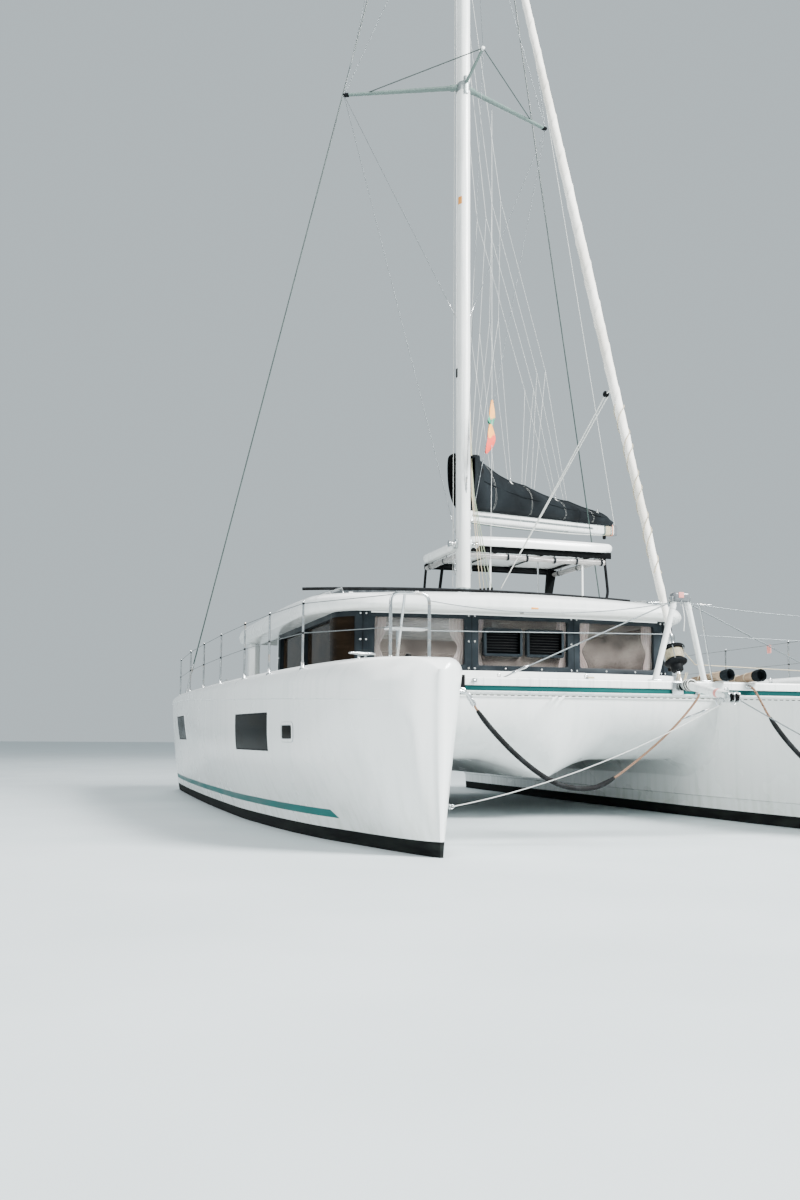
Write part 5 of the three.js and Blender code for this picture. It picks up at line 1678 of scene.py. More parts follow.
def make_furler():
    drum = Piece("furling_drum")
    parts = [
        ([(0.022, -0.905), (0.022, -0.71)], STEEL), ([(0.05, -0.9), (0.05, -0.885), (0.024, -0.87)], STEEL),
        ([(0.05, -0.712), (0.06, -0.7), (0.06, -0.645), (0.102, -0.634), (0.11, -0.627), (0.114, -0.615),
          (0.11, -0.606), (0.09, -0.6), (0.076, -0.592)], BLACK),
        ([(0.075, -0.6), (0.075, -0.48)], BLACK),
        ([(0.078, -0.488), (0.112, -0.482), (0.118, -0.468), (0.112, -0.456), (0.06, -0.446),
          (0.044, -0.43)], BLACK),
        ([(0.038, -0.44), (0.038, -0.38), (0.046, -0.37), (0.046, -0.33), (0.03, -0.315), (0.026, -0.2)],
         STEEL)]
    for profile, material in parts:
        drum.lathe(profile, DRUM_PLACE, STAY_DIRECTION, material, 36)
    turn = upright(STAY_DIRECTION)
    sweep = 14 * math.pi
    winding = [(0.082 * math.cos(a), 0.082 * math.sin(a), -0.588 + 0.096 * a / sweep)
               for a in spread(0, sweep, 150)]
    winding = [DRUM_PLACE + turn @ Vector(p) for p in winding]
    drum.tube(winding, 0.0068, BEIGE_ROPE, 8)
    for a in spread(0, 5 * math.pi / 3, 6):
        spoke = [DRUM_PLACE + turn @ Vector((r * math.cos(a), r * math.sin(a), d))
                 for r, d in ((0.108, -0.615), (0.112, -0.53), (0.11, -0.468))]
        drum.tube(bend(spoke, 0.02), 0.005, STEEL, 8)
    drum.done(replaces=["furler"], slot="black_plastic")
    lead = [on_stay(-0.55) + Vector((0.09, 0, 0)), Vector((0.3, -5.45, 1.72)), Vector((2.28, -4.6, 1.74))]
    lash = [([(x, BEAM_Y - 0.085 + 0.05 * k, 1.4 + 0.02 * k), (x + 0.01, BEAM_Y - 0.03, 1.62),
              (x, BEAM_Y + 0.08, 1.42)], 0.005) for k, x in enumerate((-0.05, -0.03, 0.03, 0.05))]
    lines("furling_line", [(lead, 0.005)] + lash, BEIGE_ROPE)


SAIL_RADII = [(-0.3, 0.028), (0.15, 0.042), (1.2, 0.044), (2.5, 0.053), (4.2, 0.061), (5.5, 0.058),
              (8.5, 0.052), (12.0, 0.044), (15.0, 0.03), (15.33, 0.014), (15.69, 0.012)]


def roll_radius(distance):
    for (low, first), (high, second) in zip(SAIL_RADII, SAIL_RADII[1:]):
        if distance <= high:
            return first + (second - first) * soft_step(low, high, distance)
    return SAIL_RADII[-1][1]


def rolled_cloth(angle, run):
    """The sail's edge running round the roll once in 0.62 m, with a crease half-way between."""
    turn = (angle / (2 * math.pi) - run / 0.62) % 1
    edge = 0.2 * math.exp(-7 * turn) * min(1, turn * 14)
    second = (angle / (2 * math.pi) - run / 0.62 + 0.45) % 1
    ripple = 0.02 * math.sin(3 * angle + 5.1 * run)
    return 0.94 + edge + 0.1 * math.exp(-9 * second) * min(1, second * 14) + ripple


def foredeck_block():
    """The small pale block that stands on the foredeck in front of the port pane."""
    block = Piece("foredeck_block")
    block.soft_box((0.56, -2.45, DECK_Z - 0.002), (0.72, -2.35, DECK_Z + 0.018), 0.006, GELCOAT)
    block.soft_box((0.59, -2.43, DECK_Z + 0.015), (0.69, -2.37, DECK_Z + 0.062), 0.012, BEIGE_ROPE)
    block.done(slot="deck")


def make_headsail():
    sail = Piece("rolled_headsail")
    distances = spread(-0.3, 15.69, 800)
    sail.tube([on_stay(d) for d in distances], [roll_radius(d) for d in distances], SAIL, 36,
              relief=rolled_cloth)
    sail.done(replaces=["headsail"], slot="sailcloth", sharp=60)
    turn, wraps = upright(STAY_DIRECTION), []
    for start in (0, 2.2):
        wraps.append(([on_stay(d) + turn @ (Vector((math.cos(12 * d + start), math.sin(12 * d + start), 0))
                                            * (roll_radius(d) * 1.1 + 0.002))
                       for d in spread(0.3, 2.4, 160)], 0.0045))
    lines("sheet_wraps", wraps, BEIGE_ROPE, sides=6)
    clew, block = on_stay(2.62), Vector((0, -4.2, 4.81))
    gear = Piece("clew_block")
    gear.lathe([(0.03, -0.022), (0.036, -0.016), (0.022, 0), (0.036, 0.016), (0.03, 0.022)], block,
               (1, 0.2, 0), BLACK, 20)
    gear.tube(bend([clew, clew.lerp(block, 0.5) + Vector((0, 0, 0.02)), block], 0.1), 0.009, WHITE_ROPE, 10)
    swivel = on_stay(15.55)
    gear.lathe([(0.02, -0.09), (0.034, -0.07), (0.034, -0.01), (0.026, 0), (0.034, 0.02), (0.034, 0.06),
                (0.016, 0.09)], swivel, STAY_DIRECTION, BLACK, 24)
    gear.done(slot="black_plastic")
    sheets = [([block, (0.16, -0.62, 3.06)], 0.007), ([block + Vector((0.02, 0, -0.03)), (0.28, -0.3, 3.1)],
                                                      0.007)]
    lines("jib_sheets", sheets, WHITE_ROPE)
    lines("forestay", [([on_stay(15.6), (0, MAST_Y - 0.125, 17.06)], 0.006)], WIRE)


BOW_SEAT_Y = -5.85
LIFELINE_Z = (1.99, 2.28)


def make_bow_seat(name, side):
    def at(out, y, z):
        return at_side(side, out, y, z)
    deck_z = 1.675
    hoop = bend([at(0.29, BOW_SEAT_Y, deck_z), at(0.29, BOW_SEAT_Y, 2.26), at(-0.07, BOW_SEAT_Y, 2.26),
                 at(-0.07, BOW_SEAT_Y, deck_z)], 0.09, 8)
    lines(f"bow_seat_rail_{name}", [
        (hoop, 0.0155), ([at(0.16, -5.62, deck_z), at(0.16, BOW_SEAT_Y, 2.25)], 0.012),
        (bend([at(0.29, BOW_SEAT_Y, 1.955), at(0.29, -5.64, 1.955), at(-0.07, -5.64, 1.955),
               at(-0.07, BOW_SEAT_Y, 1.955)], 0.05), 0.0125),
        ([at(0.16, -5.64, 1.955), at(0.16, -5.62, deck_z)], 0.0125),
    ], STEEL, sides=16, replaces=[f"bow_seat_{name}"])
    seat = Piece(f"bow_seat_top_{name}")
    low, high = sorted((side * (HULL_X - 0.064), side * (HULL_X + 0.284)))
    for y in (-5.79, -5.745, -5.7):
        seat.rod((low + 0.012, y, 1.955), (high - 0.012, y, 1.955), 0.006, STEEL, sides=12)
    for out, y in ((0.29, BOW_SEAT_Y), (-0.07, BOW_SEAT_Y), (0.16, -5.62)):
        foot = at(out, y, deck_z - 0.004)
        seat.lathe([(0.038, 0), (0.038, 0.006), (0.022, 0.012), (0.018, 0.03)], foot, UP, STEEL, 24)
    seat.done(slot="stainless")


STANCHIONS = [(-4.55, 0.8), (-3.4, 0.92), (-2.2, 0.99), (-0.6, 1.04), (1.0, 1.055), (2.6, 1.055),
              (4.7, 0.975)]


def gunwale(y):
    """The deck's height just inside the hull's rounded edge."""
    return HULL.at(y)[0] - 0.05


def make_lifelines(name, side):
    posts, wires = [], []
    feet = Piece(f"stanchion_feet_{name}")
    for y, out in STANCHIONS:
        posts.append(([at_side(side, out, y, gunwale(y) - 0.1), at_side(side, out, y, 2.296)], 0.012))
        feet.lathe([(0.03, -0.06), (0.03, 0.004), (0.019, 0.016), (0.0165, 0.07)],
                   at_side(side, out, y, gunwale(y)), UP, STEEL, 20)
        for z in LIFELINE_Z:
            feet.lathe([(0.009, -0.016), (0.0135, -0.008), (0.0135, 0.008), (0.009, 0.016)],
                       at_side(side, out, y, z), AFT, BLACK, 12)
        feet.lathe([(0.0125, -0.004), (0.0135, 0.004), (0.009, 0.012), (0.003, 0.014)],
                   at_side(side, out, y, 2.292), UP, STEEL, 14)
    feet.done(slot="stainless")
    for z in LIFELINE_Z:
        run = [at_side(side, 0.29, BOW_SEAT_Y, z - 0.04),
               *[at_side(side, out, y, z) for y, out in STANCHIONS]]
        wires += [([a, b], 0.004) for a, b in zip(run, run[1:])]
    rail = bend([at_side(side, 0.975, 4.7, 2.29), at_side(side, 0.95, 4.95, 2.29),
                 at_side(side, 0.9, 5.45, 1.75), at_side(side, 0.88, 5.55, 1.15)], 0.12)
    if name == "port":
        tag = Piece("lifeline_tag")
        tag.soft_box(at_side(1, 1.0, -1.78, 2.17), at_side(1, 1.012, -1.69, 2.286), 0.004, PINK)
        tag.done(slot="sailcloth")
    lines(f"lifeline_wires_{name}", wires, WIRE, sides=8, replaces=[f"lifelines_{name}"])
    lines(f"stanchions_{name}", posts + [(rail, 0.0125)], STEEL, sides=14)


def make_pulpit_lines():
    """The wires from each bow seat to the striker's head and leg."""
    wires = []
    for side in SIDES.values():
        wires.append((sagging(at_side(side, -0.07, BOW_SEAT_Y, 2.2), Vector((side * 0.1, BEAM_Y, 2.3)),
                              0.075 - 0.03 * side), 0.0045))
        wires.append(([at_side(side, -0.07, BOW_SEAT_Y, 1.93), (side * 0.15, BEAM_Y, 1.99)], 0.0045))
    lines("pulpit_wires", wires, WIRE)
    ends = Piece("pulpit_wire_ends")
    for side in SIDES.values():
        start, end = at_side(side, -0.07, BOW_SEAT_Y, 2.2), Vector((side * 0.12, BEAM_Y, 2.3))
        turnbuckle(ends, end.lerp(start, 0.03), end.lerp(start, 0.09), 0.007)
    ends.done(slot="stainless")


def deck_gear(name, side):
    """Cleats, chainplate, fuel and water caps, and the small lamp on each bow."""
    gear = Piece(f"deck_gear_{name}")
    for out, y, angle in ((0.44, -5.45, 75), (0.83, 0.3, 0), (0.72, 4.2, 8)):
        cleat(gear, at_side(side, out, y, HULL.at(y)[0] - 0.012), side * angle)
    plate = Vector((0.008, 0, 0))
    gear.soft_box(at_side(side, 1.1, 3.02, 1.3) - plate, at_side(side, 1.1, 3.08, 1.56) + plate, 0.004, STEEL)
    for y in (1.6, 1.85):
        gear.lathe([(0.036, -0.004), (0.036, 0.004), (0.03, 0.007), (0.012, 0.006)],
                   at_side(side, 0.2, y, DECK_Z), UP, STEEL, 24)
    gear.lathe([(0.03, 0), (0.03, 0.03), (0.022, 0.045), (0.008, 0.05)], at_side(side, 0.11, -5.8, 1.676),
               UP, BLACK, 20)
    gear.done(slot="stainless")


def glazed_hatch(piece, low, high, base, top, surface=flat_top(0)):
    """A deck hatch: an alloy frame with a smoked acrylic lid, its handles and hinges."""
    piece.inlay((low, high, 0.06), surface, [
        (0, base, ALLOY), (0, top - 0.008, ALLOY), (0.004, top - 0.003, ALLOY), (0.022, top - 0.001, ALLOY),
        (0.026, top - 0.004, BLACK), (0.03, top - 0.004, BLACK), (0.034, top, HATCH_GLASS),
        (0.12, top + 0.001, HATCH_GLASS)])
    for t in (0.25, 0.75):
        x = low[0] + (high[0] - low[0]) * t
        foot, head = surface(x, high[1] - 0.03, base), surface(x, high[1] - 0.004, top + 0.002)
        piece.soft_box((x - 0.03, foot.y, foot.z), (x + 0.03, head.y, head.z), 0.005, ALLOY)
        piece.lathe([(0.016, -0.004), (0.016, 0.004), (0.008, 0.008)], surface(x, low[1] + 0.05, top), UP,
                    BLACK, 16)


def make_bow_hatch(name, side):
    hatch = Piece(f"bow_hatch_lid_{name}")
    glazed_hatch(hatch, (side * HULL_X - 0.26, -4.9), (side * HULL_X + 0.26, -4.34), 1.6905, 1.719)
    hatch.done(body=f"bow_hatch_{name}", replaces=[f"bow_hatch_{name}"], slot="glass")


def make_foredeck_lid(name, side):
    lid = Piece(f"foredeck_lid_{name}_moulding")
    low, high = sorted((side * 0.42, side * 1.18))
    lid.inlay(((low, -2.7), (high, -2.05), 0.05), flat_top(0), [
        (0, 1.6905, GELCOAT), (0, 1.706, GELCOAT), (0.006, 1.713, GELCOAT), (0.05, 1.713, GELCOAT),
        (0.054, 1.7145, DECK), (0.2, 1.7145, DECK)])
    for x in (low + 0.15, high - 0.15):
        lid.soft_box((x - 0.035, -2.09, 1.692), (x + 0.035, -2.052, 1.7155), 0.004, STEEL)
        lid.lathe([(0.022, -0.004), (0.022, 0.002), (0.01, 0.003)], (x, -2.64, 1.7135), UP, STEEL, 20)
    lid.done(body=f"foredeck_lid_{name}", replaces=[f"foredeck_lid_{name}"], slot="deck")


def hull_deck_hatches(name, side):
    """Fixed flush hatches over the cabins."""
    hatches = Piece(f"cabin_hatches_{name}")
    for out, y, half in ((-0.04, -3.35, 0.2), (0.3, -1.2, 0.15), (0.3, 2.4, 0.15)):
        x = side * (HULL_X + out)
        glazed_hatch(hatches, (x - half, y - half), (x + half, y + half), DECK_Z - 0.01, DECK_Z + 0.016)
    hatches.done(slot="glass")


make_crossbeam()
make_striker()
make_sprit()
beam_rolls()
for name, side in SIDES.items():
    make_net(name, side)
    net_border(name, side)
net_spine()
make_furler()
make_headsail()
foredeck_block()
make_pulpit_lines()
for name, side in SIDES.items():
    make_bow_seat(name, side)
    make_lifelines(name, side)
    deck_gear(name, side)
    make_bow_hatch(name, side)
    make_foredeck_lid(name, side)
    hull_deck_hatches(name, side)


# Rig

TAPER_Z = 16.5
SPREADER_ROOT = Vector((0, MAST_Y + 0.02, SPREADER_Z))


def mast_scale(z):
    return 1 - 0.28 * max(0, z - TAPER_Z) / (MAST_TOP_Z - TAPER_Z)


def mast_outline(z, grown=0.0):
    scale = mast_scale(z)
    ring = []
    for a in turns(44):
        c, s = math.cos(a), math.sin(a)
        ring.append(Vector((math.copysign(abs(c) ** 0.88, c) * (0.1 * scale + grown),
                            MAST_Y + math.copysign(abs(s) ** 0.88, s) * (0.14 * scale + grown), z)))
    return ring


def make_mast():
    mast = Piece("mast_extrusion")
    rings = [mast_outline(z) for z in (MAST_FOOT_Z + 0.001, 9.0, TAPER_Z, MAST_TOP_Z - 0.01)]
    mast.skin([*rings, mast_outline(MAST_TOP_Z, -0.012)], WHITE_ALLOY)
    track = []
    for z in (4.7, 10.0, TAPER_Z, 20.1):
        y = MAST_Y + 0.14 * mast_scale(z) - 0.004
        track.append([Vector((x, y + d, z))
                      for x, d in ((-0.016, 0), (0.016, 0), (0.016, 0.012), (0.008, 0.016), (-0.008, 0.016),
                                   (-0.016, 0.012))])
    mast.skin(track, ALLOY)
    mast.skin([mast_outline(MAST_FOOT_Z + 0.0005, 0.012), mast_outline(MAST_FOOT_Z + 0.05, 0.012),
               mast_outline(MAST_FOOT_Z + 0.055, 0.002)], ALLOY)
    mark = [[p for p in mast_outline(z, 0.0015) if p.x < -0.05 and p.y < 0.46] for z in (9.12, 9.24)]
    under = [[p for p in mast_outline(z, -0.003) if p.x < -0.05 and p.y < 0.46] for z in (9.12, 9.24)]
    mast.skin([[*outer, *reversed(inner)] for outer, inner in zip(mark, under)], ORANGE)
    for z in (SPREADER_Z - 0.09, SHROUD_TOP_Z - 0.06, 15.06):
        mast.skin([mast_outline(z, 0.001), mast_outline(z + 0.01, 0.004), mast_outline(z + 0.13, 0.004),
                   mast_outline(z + 0.14, 0.001)], ALLOY)
    mast.soft_box((-0.125, 0.56, SHROUD_TOP_Z), (0.125, 0.61, SHROUD_TOP_Z + 0.06), 0.012, STEEL)
    mast.soft_box((-0.055, 0.3, MAST_TOP_Z - 0.03), (0.055, 0.78, MAST_TOP_Z + 0.03), 0.014, ALLOY)
    for y in (0.33, 0.75):
        mast.lathe([(0.045, -0.03), (0.05, -0.02), (0.035, 0), (0.05, 0.02), (0.045, 0.03)],
                   (0, y, MAST_TOP_Z - 0.02), PORT, BLACK, 24)
    mast.lathe([(0.008, 0), (0.008, 0.18), (0.005, 0.19), (0.0045, 0.345)], (0, MAST_Y, MAST_TOP_Z), UP,
               BLACK, 12)
    mast.lathe([(0.03, 0), (0.03, 0.03), (0.024, 0.034), (0.026, 0.09), (0.014, 0.1)],
               (0.03, 0.62, MAST_TOP_Z + 0.03), UP, VINYL, 20)
    mast.done(replaces=["mast"], slot="painted_alloy", sharp=35)


def mast_fittings():
    """Gooseneck, winches, cleats, deck light, lamp and the halyards' exits."""
    gear = Piece("mast_fittings")
    gear.soft_box((-0.045, 0.62, 4.16), (0.045, 0.66, 4.4), 0.01, ALLOY)
    gear.soft_box((-0.028, 0.63, 4.262), (0.028, 0.742, 4.298), 0.008, STEEL)
    for side in SIDES.values():
        gear.soft_box((side * 0.1 - 0.03, 0.45, 3.78), (side * 0.1 + 0.03, 0.57, 3.92), 0.01, ALLOY)
        winch(gear, (side * 0.12, 0.51, 3.85), 0.9, (side, 0, 0))
        for z in (3.45, 3.55):
            cleat_turn = [(side * 0.122, 0.5, z - 0.07), (side * 0.135, 0.5, z),
                          (side * 0.122, 0.5, z + 0.07)]
            gear.tube(smooth_path(cleat_turn), 0.008, STEEL, 10)
            gear.rod((side * 0.09, 0.5, z), (side * 0.133, 0.5, z), 0.01, STEEL)
        for z in (16.1, 12.6, 6.4):
            gear.soft_box((side * 0.098 - 0.012, 0.47, z), (side * 0.098 + 0.012, 0.52, z + 0.14), 0.006,
                          BLACK)
    gear.soft_box((-0.04, 0.3, 12.9), (0.04, 0.37, 13.03), 0.02, BLACK)
    gear.lathe([(0.03, 0), (0.045, 0.03), (0.04, 0.04), (0.01, 0.042)], (0, 0.335, 12.9), (0, -0.3, -1),
               VINYL, 20)
    gear.soft_box((-0.03, 0.33, 16.95), (0.03, 0.4, 17.12), 0.012, STEEL)
    gear.soft_box((-0.035, 0.34, 10.9), (0.035, 0.45, 11.2), 0.015, ALLOY)
    gear.done(slot="black_plastic")


def mast_lines():
    """Halyards up the mast's front and sides, and the reefing lines that fan out at its foot."""
    halyards = [([(-0.135, 0.56, 3.9), (-0.12, 0.56, 12.0), (-0.09, 0.56, 20.1)], 0.005),
                ([(-0.15, 0.53, 3.2), (-0.135, 0.53, 9.0), (-0.1, 0.53, 18.2)], 0.004),
                ([(0.13, 0.56, 3.9), (0.115, 0.55, 16.1)], 0.005)]
    lines("white_halyards", halyards, WHITE_ROPE)
    bundle = [([(0.12 + 0.012 * i, 0.57 - 0.02 * i, 6.4 - 0.5 * i), (0.14 + 0.012 * i, 0.5, 4.6),
                (0.2 + 0.04 * i, 0.3 - 0.05 * i, 3.14)], 0.006) for i in range(4)]
    lines("reef_lines_at_mast", bundle[:2], BEIGE_ROPE)
    lines("green_lines_at_mast", bundle[2:], GREEN_ROPE)


def mast_foot_blocks():
    blocks = Piece("mast_foot_blocks")
    for i, x in enumerate((0.2, 0.24, 0.28, 0.32)):
        blocks.lathe([(0.02, -0.012), (0.026, -0.008), (0.016, 0), (0.026, 0.008), (0.02, 0.012)],
                     (x, 0.3 - 0.05 * i, 3.15), PORT, BLACK, 16)
    blocks.soft_box((0.16, 0.1, 3.1), (0.36, 0.34, 3.128), 0.008, ALLOY)
    blocks.done(slot="black_plastic")


def make_spreader(name, side):
    """An aerofoil arm from its socket on the mast to a rubber boot at the tip."""
    tip = Vector((side * SPREADER_TIP[0], SPREADER_TIP[1], SPREADER_Z))
    root = SPREADER_ROOT + Vector((side * 0.08, 0, 0))
    along = (tip - root).normalized()
    chord = Vector(UP).cross(along)
    arm = Piece(f"spreader_arm_{name}")
    rings, bands = [], []
    # The arm in the painted-shade grey-green, its boot black
    for t, wide, thick, material in ((0, 0.07, 0.045, SPREADER_SHADE_GREY), (0.06, 0.07, 0.045, SPREADER_SHADE_GREY),
                                     (0.07, 0.056, 0.033, SPREADER_SHADE_GREY), (0.95, 0.037, 0.023, SPREADER_SHADE_GREY),
                                     (0.952, 0.042, 0.029, BLACK), (0.99, 0.042, 0.03, BLACK),
                                     (1.0, 0.03, 0.02, BLACK)):
        centre = root.lerp(tip, t)
        rings.append([centre + chord * wide * math.cos(a) + Vector((0, 0, thick * math.sin(a)))
                      for a in turns(28)])
        bands.append(material)
    arm.skin(rings, bands[1:])
    arm.done(replaces=[f"spreader_{name}"], slot="painted_alloy")


def make_jumper():
    root, tip = Vector((0, 0.44, 11.075)), Vector((0, -0.39, 11.22))
    strut = Piece("jumper_strut_tube")
    # The strut in the same painted-shade grey-green
    strut.lathe([(0.026, 0), (0.02, (tip - root).length - 0.03), (0.02, (tip - root).length - 0.03)], root,
                tip - root, SPREADER_SHADE_GREY, 20)
    strut.lathe([(0.021, 0), (0.026, 0.01), (0.026, 0.045), (0.012, 0.055)], tip - (tip - root).normalized()
                * 0.045, tip - root, WHITE_ALLOY, 20)
    strut.done(replaces=["jumper_strut"], slot="painted_alloy")


def standing_rigging():
    diamonds, jumpers, screws = [], [], Piece("diamond_screws")
    jumper_tip = Vector((0, -0.38, 11.215))
    for side in SIDES.values():
        tip = Vector((side * 1.73, 1.254, SPREADER_Z))
        root = SPREADER_ROOT + Vector((side * 0.08, 0, 0))
        for x, z in ((0.1, 3.98), (0.1, 7.35), (0.1, 15.1), (0.078, 20.0)):
            end = Vector((side * x, MAST_Y + 0.03, z))
            diamonds.append(([tip, end], 0.0045))
            if z < 10:
                turnbuckle(screws, end, end.lerp(tip, 0.32 / (tip - end).length), 0.012)
        jumpers.append(([jumper_tip, root.lerp(tip, 0.82)], 0.0085))
    diamonds += [([jumper_tip, (0, MAST_Y - 0.135, 4.6)], 0.004),
                 ([jumper_tip, (0, MAST_Y - 0.13, 16.6)], 0.004)]
    turnbuckle(screws, (0, MAST_Y - 0.14, 4.6), (0, MAST_Y - 0.175, 4.9), 0.012)
    screws.done(slot="stainless")
    lines("diamond_stays", diamonds, WIRE)
    lines("jumper_stays", jumpers, SHROUD)


def make_cap_shroud(name, side):
    foot = Vector((side * SHROUD_FOOT[0], *SHROUD_FOOT[1:]))
    head = Vector((side * 0.112, MAST_Y + 0.085, SHROUD_TOP_Z - 0.0003))
    lines(f"cap_shroud_wire_{name}", [([foot.lerp(head, 0.035), head], 0.0105)], SHROUD,
          replaces=[f"cap_shroud_{name}"])
    screw = Piece(f"shroud_screw_{name}")
    turnbuckle(screw, foot, foot.lerp(head, 0.042), 0.016)
    screw.done(slot="stainless")


def hung_flag(name, top, edges, height, material):
    """A small flag hanging limp in three folds. edges gives its left and right sides down it."""
    rings = []
    sides = Stations(edges)
    for t in spread(0, 1, 26):
        left, right = sides.at(t)
        row = []
        for s in spread(0, 1, 31):
            across = 0.5 - 0.5 * math.cos(3 * math.pi * s) * (1 - 0.25 * s)
            row.append(Vector(top)
                       + Vector((left + (right - left) * across, 0.07 * s - 0.03 + 0.012
                                 * math.sin(9 * s + 5 * t), -height * t - 0.03 * math.sin(4 * s) * t)))
        rings.append([*row, *[p + Vector((0.0003, 0.001, 0)) for p in reversed(row)]])
    flag = Piece(name)
    flag.skin(rings, material)
    cloth = flag.done(slot="sailcloth")


def make_flags():
    lines("flag_halyard",
          [([(0.62, 0.86, SPREADER_Z - 0.03), (0.3, 0.07, 5.97), (0.26, -0.02, 5.1), (0.2, -0.1, 3.1)],
            0.003)], WHITE_ROPE)
    hung_flag("upper_flag", (0.3, 0.07, 5.97), [(0, -0.01, 0.012), (0.3, -0.03, 0.03), (0.7, -0.055, 0.05),
                                                (0.85, -0.08, 0.03), (1, -0.05, 0.02)], 0.37, FLAG_GREEN)
    hung_flag("lower_flag", (0.265, 0.02, 5.58), [(0, -0.03, 0.01), (0.25, -0.05, 0.045),
                                                  (0.5, -0.06, 0.07), (0.75, -0.085, 0.035),
                                                  (1, -0.1, -0.06)], 0.42, FLAG_RED)


make_mast()
mast_fittings()
mast_lines()
mast_foot_blocks()
make_jumper()
standing_rigging()
make_flags()
for name, side in SIDES.items():
    make_spreader(name, side)
    make_cap_shroud(name, side)


# Boom, sail bag and lazy jacks, all on the swinging body

BOOM = Matrix.Translation(BOOM_PIVOT) @ Matrix.Rotation(-BOOM_ANGLE, 4, "Z")
BOOM_TOP = 0.145


def swung(x, y, z):
    """A place by its distance along the boom and its height above the gooseneck."""
    return BOOM @ Vector((x, y, z))


def on_boom(x, y, z):
    """As swung, with the height from the boom's own rising line."""
    return BOOM @ Vector((x, y, z + BOOM_RISE * y))


def make_boom():
    boom = Piece("boom_extrusion")
    rings = []
    for y, half, low in ((0.07, 0.05, -0.035), (0.085, 0.062, -0.05), (4.2, 0.062, -0.05),
                         (5.13, 0.062, -0.05)):
        outline = rounded_outline((-half, low), (half, BOOM_TOP), 0.038, 6)
        rings.append([on_boom(x, y, z) for x, z in outline])
    boom.skin(rings, WHITE_ALLOY)
    for x in (-0.062, 0.062):
        boom.skin([[on_boom(x + dx, y, z) for dx, z in ((-0.003, 0.02), (0.003, 0.02), (0.003, 0.055),
                                                        (-0.003, 0.055))] for y in (0.3, 4.2)], ALLOY)
    cap = [rounded_outline((-w, low), (w, high), 0.03, 6) for w, low, high in
           ((0.066, -0.054, 0.15), (0.066, -0.054, 0.15), (0.055, -0.04, 0.14), (0.03, 0.0, 0.1))]
    boom.skin([[on_boom(x, y, z) for x, z in outline] for outline, y in zip(cap, (5.02, 5.14, 5.17, 5.18))],
              HEAD_GREY)
    boom.skin([[on_boom(x, y, z) for x, z in rounded_outline((-0.064, -0.052), (0.064, 0.147), 0.038, 6)]
               for y in (0.062, 0.13)], BLACK)
    turn = BOOM.to_quaternion()
    boom.lathe([(0.026, 0.002), (0.028, 0.01), (0.028, 0.08), (0.024, 0.09)], BOOM_PIVOT, UP, STEEL, 24)
    for middle, half, radius, material in ((swung(0, 0.045, 0.05), Vector((0.02, 0.035, 0.03)), 0.006,
                                            STEEL), (on_boom(0, 4.75, -0.07), Vector((0.03, 0.02, 0.05)),
                                                     0.008, BLACK)):
        boom.soft_box(middle - half, middle + half, radius, material, turn=turn)
    boom.lathe([(0.03, -0.018), (0.036, -0.012), (0.02, 0), (0.036, 0.012), (0.03, 0.018)],
               on_boom(0, 4.75, -0.1), turn @ Vector(PORT), BLACK, 20)
    boom.done(body="boom_and_bag", replaces=["boom"], slot="painted_alloy", sharp=35)


# y, half width, height above the boom's top
BAG = Stations([
    [-0.03, 0.27, 0.74], [0.11, 0.29, 0.8], [0.35, 0.235, 0.825], [0.81, 0.205, 0.7], [1.47, 0.19, 0.553],
    [2.19, 0.178, 0.452], [2.93, 0.165, 0.363], [3.75, 0.148, 0.298], [4.58, 0.122, 0.215],
    [4.93, 0.085, 0.12]])
BAG_LOOPS = (1.47, 2.93, 4.45)


def bag_half(y, shrink=1.0):
    """One side of the bag at a distance along the boom, from its lower hem up to the zip."""
    half, height = BAG.at(y)
    sag = 0.03 * abs(math.sin(math.pi * (y - 0.5) / 1.45)) * soft_step(0.6, 1.2, y)
    height -= sag
    hem = 0.076
    corners = [(hem, -0.03), (0.6 * half + 0.02, 0.0), (0.95 * half, 0.14 * height), (half, 0.32 * height),
               (0.93 * half, 0.5 * height), (0.72 * half, 0.7 * height), (0.42 * half, 0.87 * height),
               (0.14 * half, 0.965 * height), (0.012, height + 0.012)]
    spreading = 1 - soft_step(0.02, 0.55, y)
    mouth = [(hem, -0.03), (0.1, 0.01), (0.15, 0.16 * height), (0.2, 0.34 * height), (0.25, 0.52 * height),
             (0.3, 0.72 * height), (0.335, 0.9 * height), (0.325, 0.985 * height), (0.012, height + 0.012)]
    corners = [(a + (c - a) * spreading, b + (d - b) * spreading) for (a, b), (c, d) in zip(corners, mouth)]
    side = smooth_path([(x, 0, z) for x, z in corners], 3)
    folded = []
    for i, p in enumerate(side):
        t = i / (len(side) - 1)
        middle = math.sin(math.pi * t)
        fold = 0.011 * math.sin(5.1 * y + 5 * t) * middle + 0.006 * math.sin(13.7 * y - 9 * t) * middle
        folded.append(((p.x + fold) * shrink, p.z * shrink + (1 - shrink) * 0.1 * height))
    return folded


def bag_ring(y, shrink=1.0, mouth=0.0):
    """The whole ring. mouth slants it as the open front is cut: the top reaches further forward."""
    right = bag_half(y, shrink)
    left = bag_half(y + 0.37, shrink)
    height = BAG.at(y)[1]
    points = [*right, *[(-x, z) for x, z in reversed(left)]]
    return [on_boom(x, y + mouth * (0.2 - 0.24 * max(0, z) / height), z + BOOM_TOP) for x, z in points]


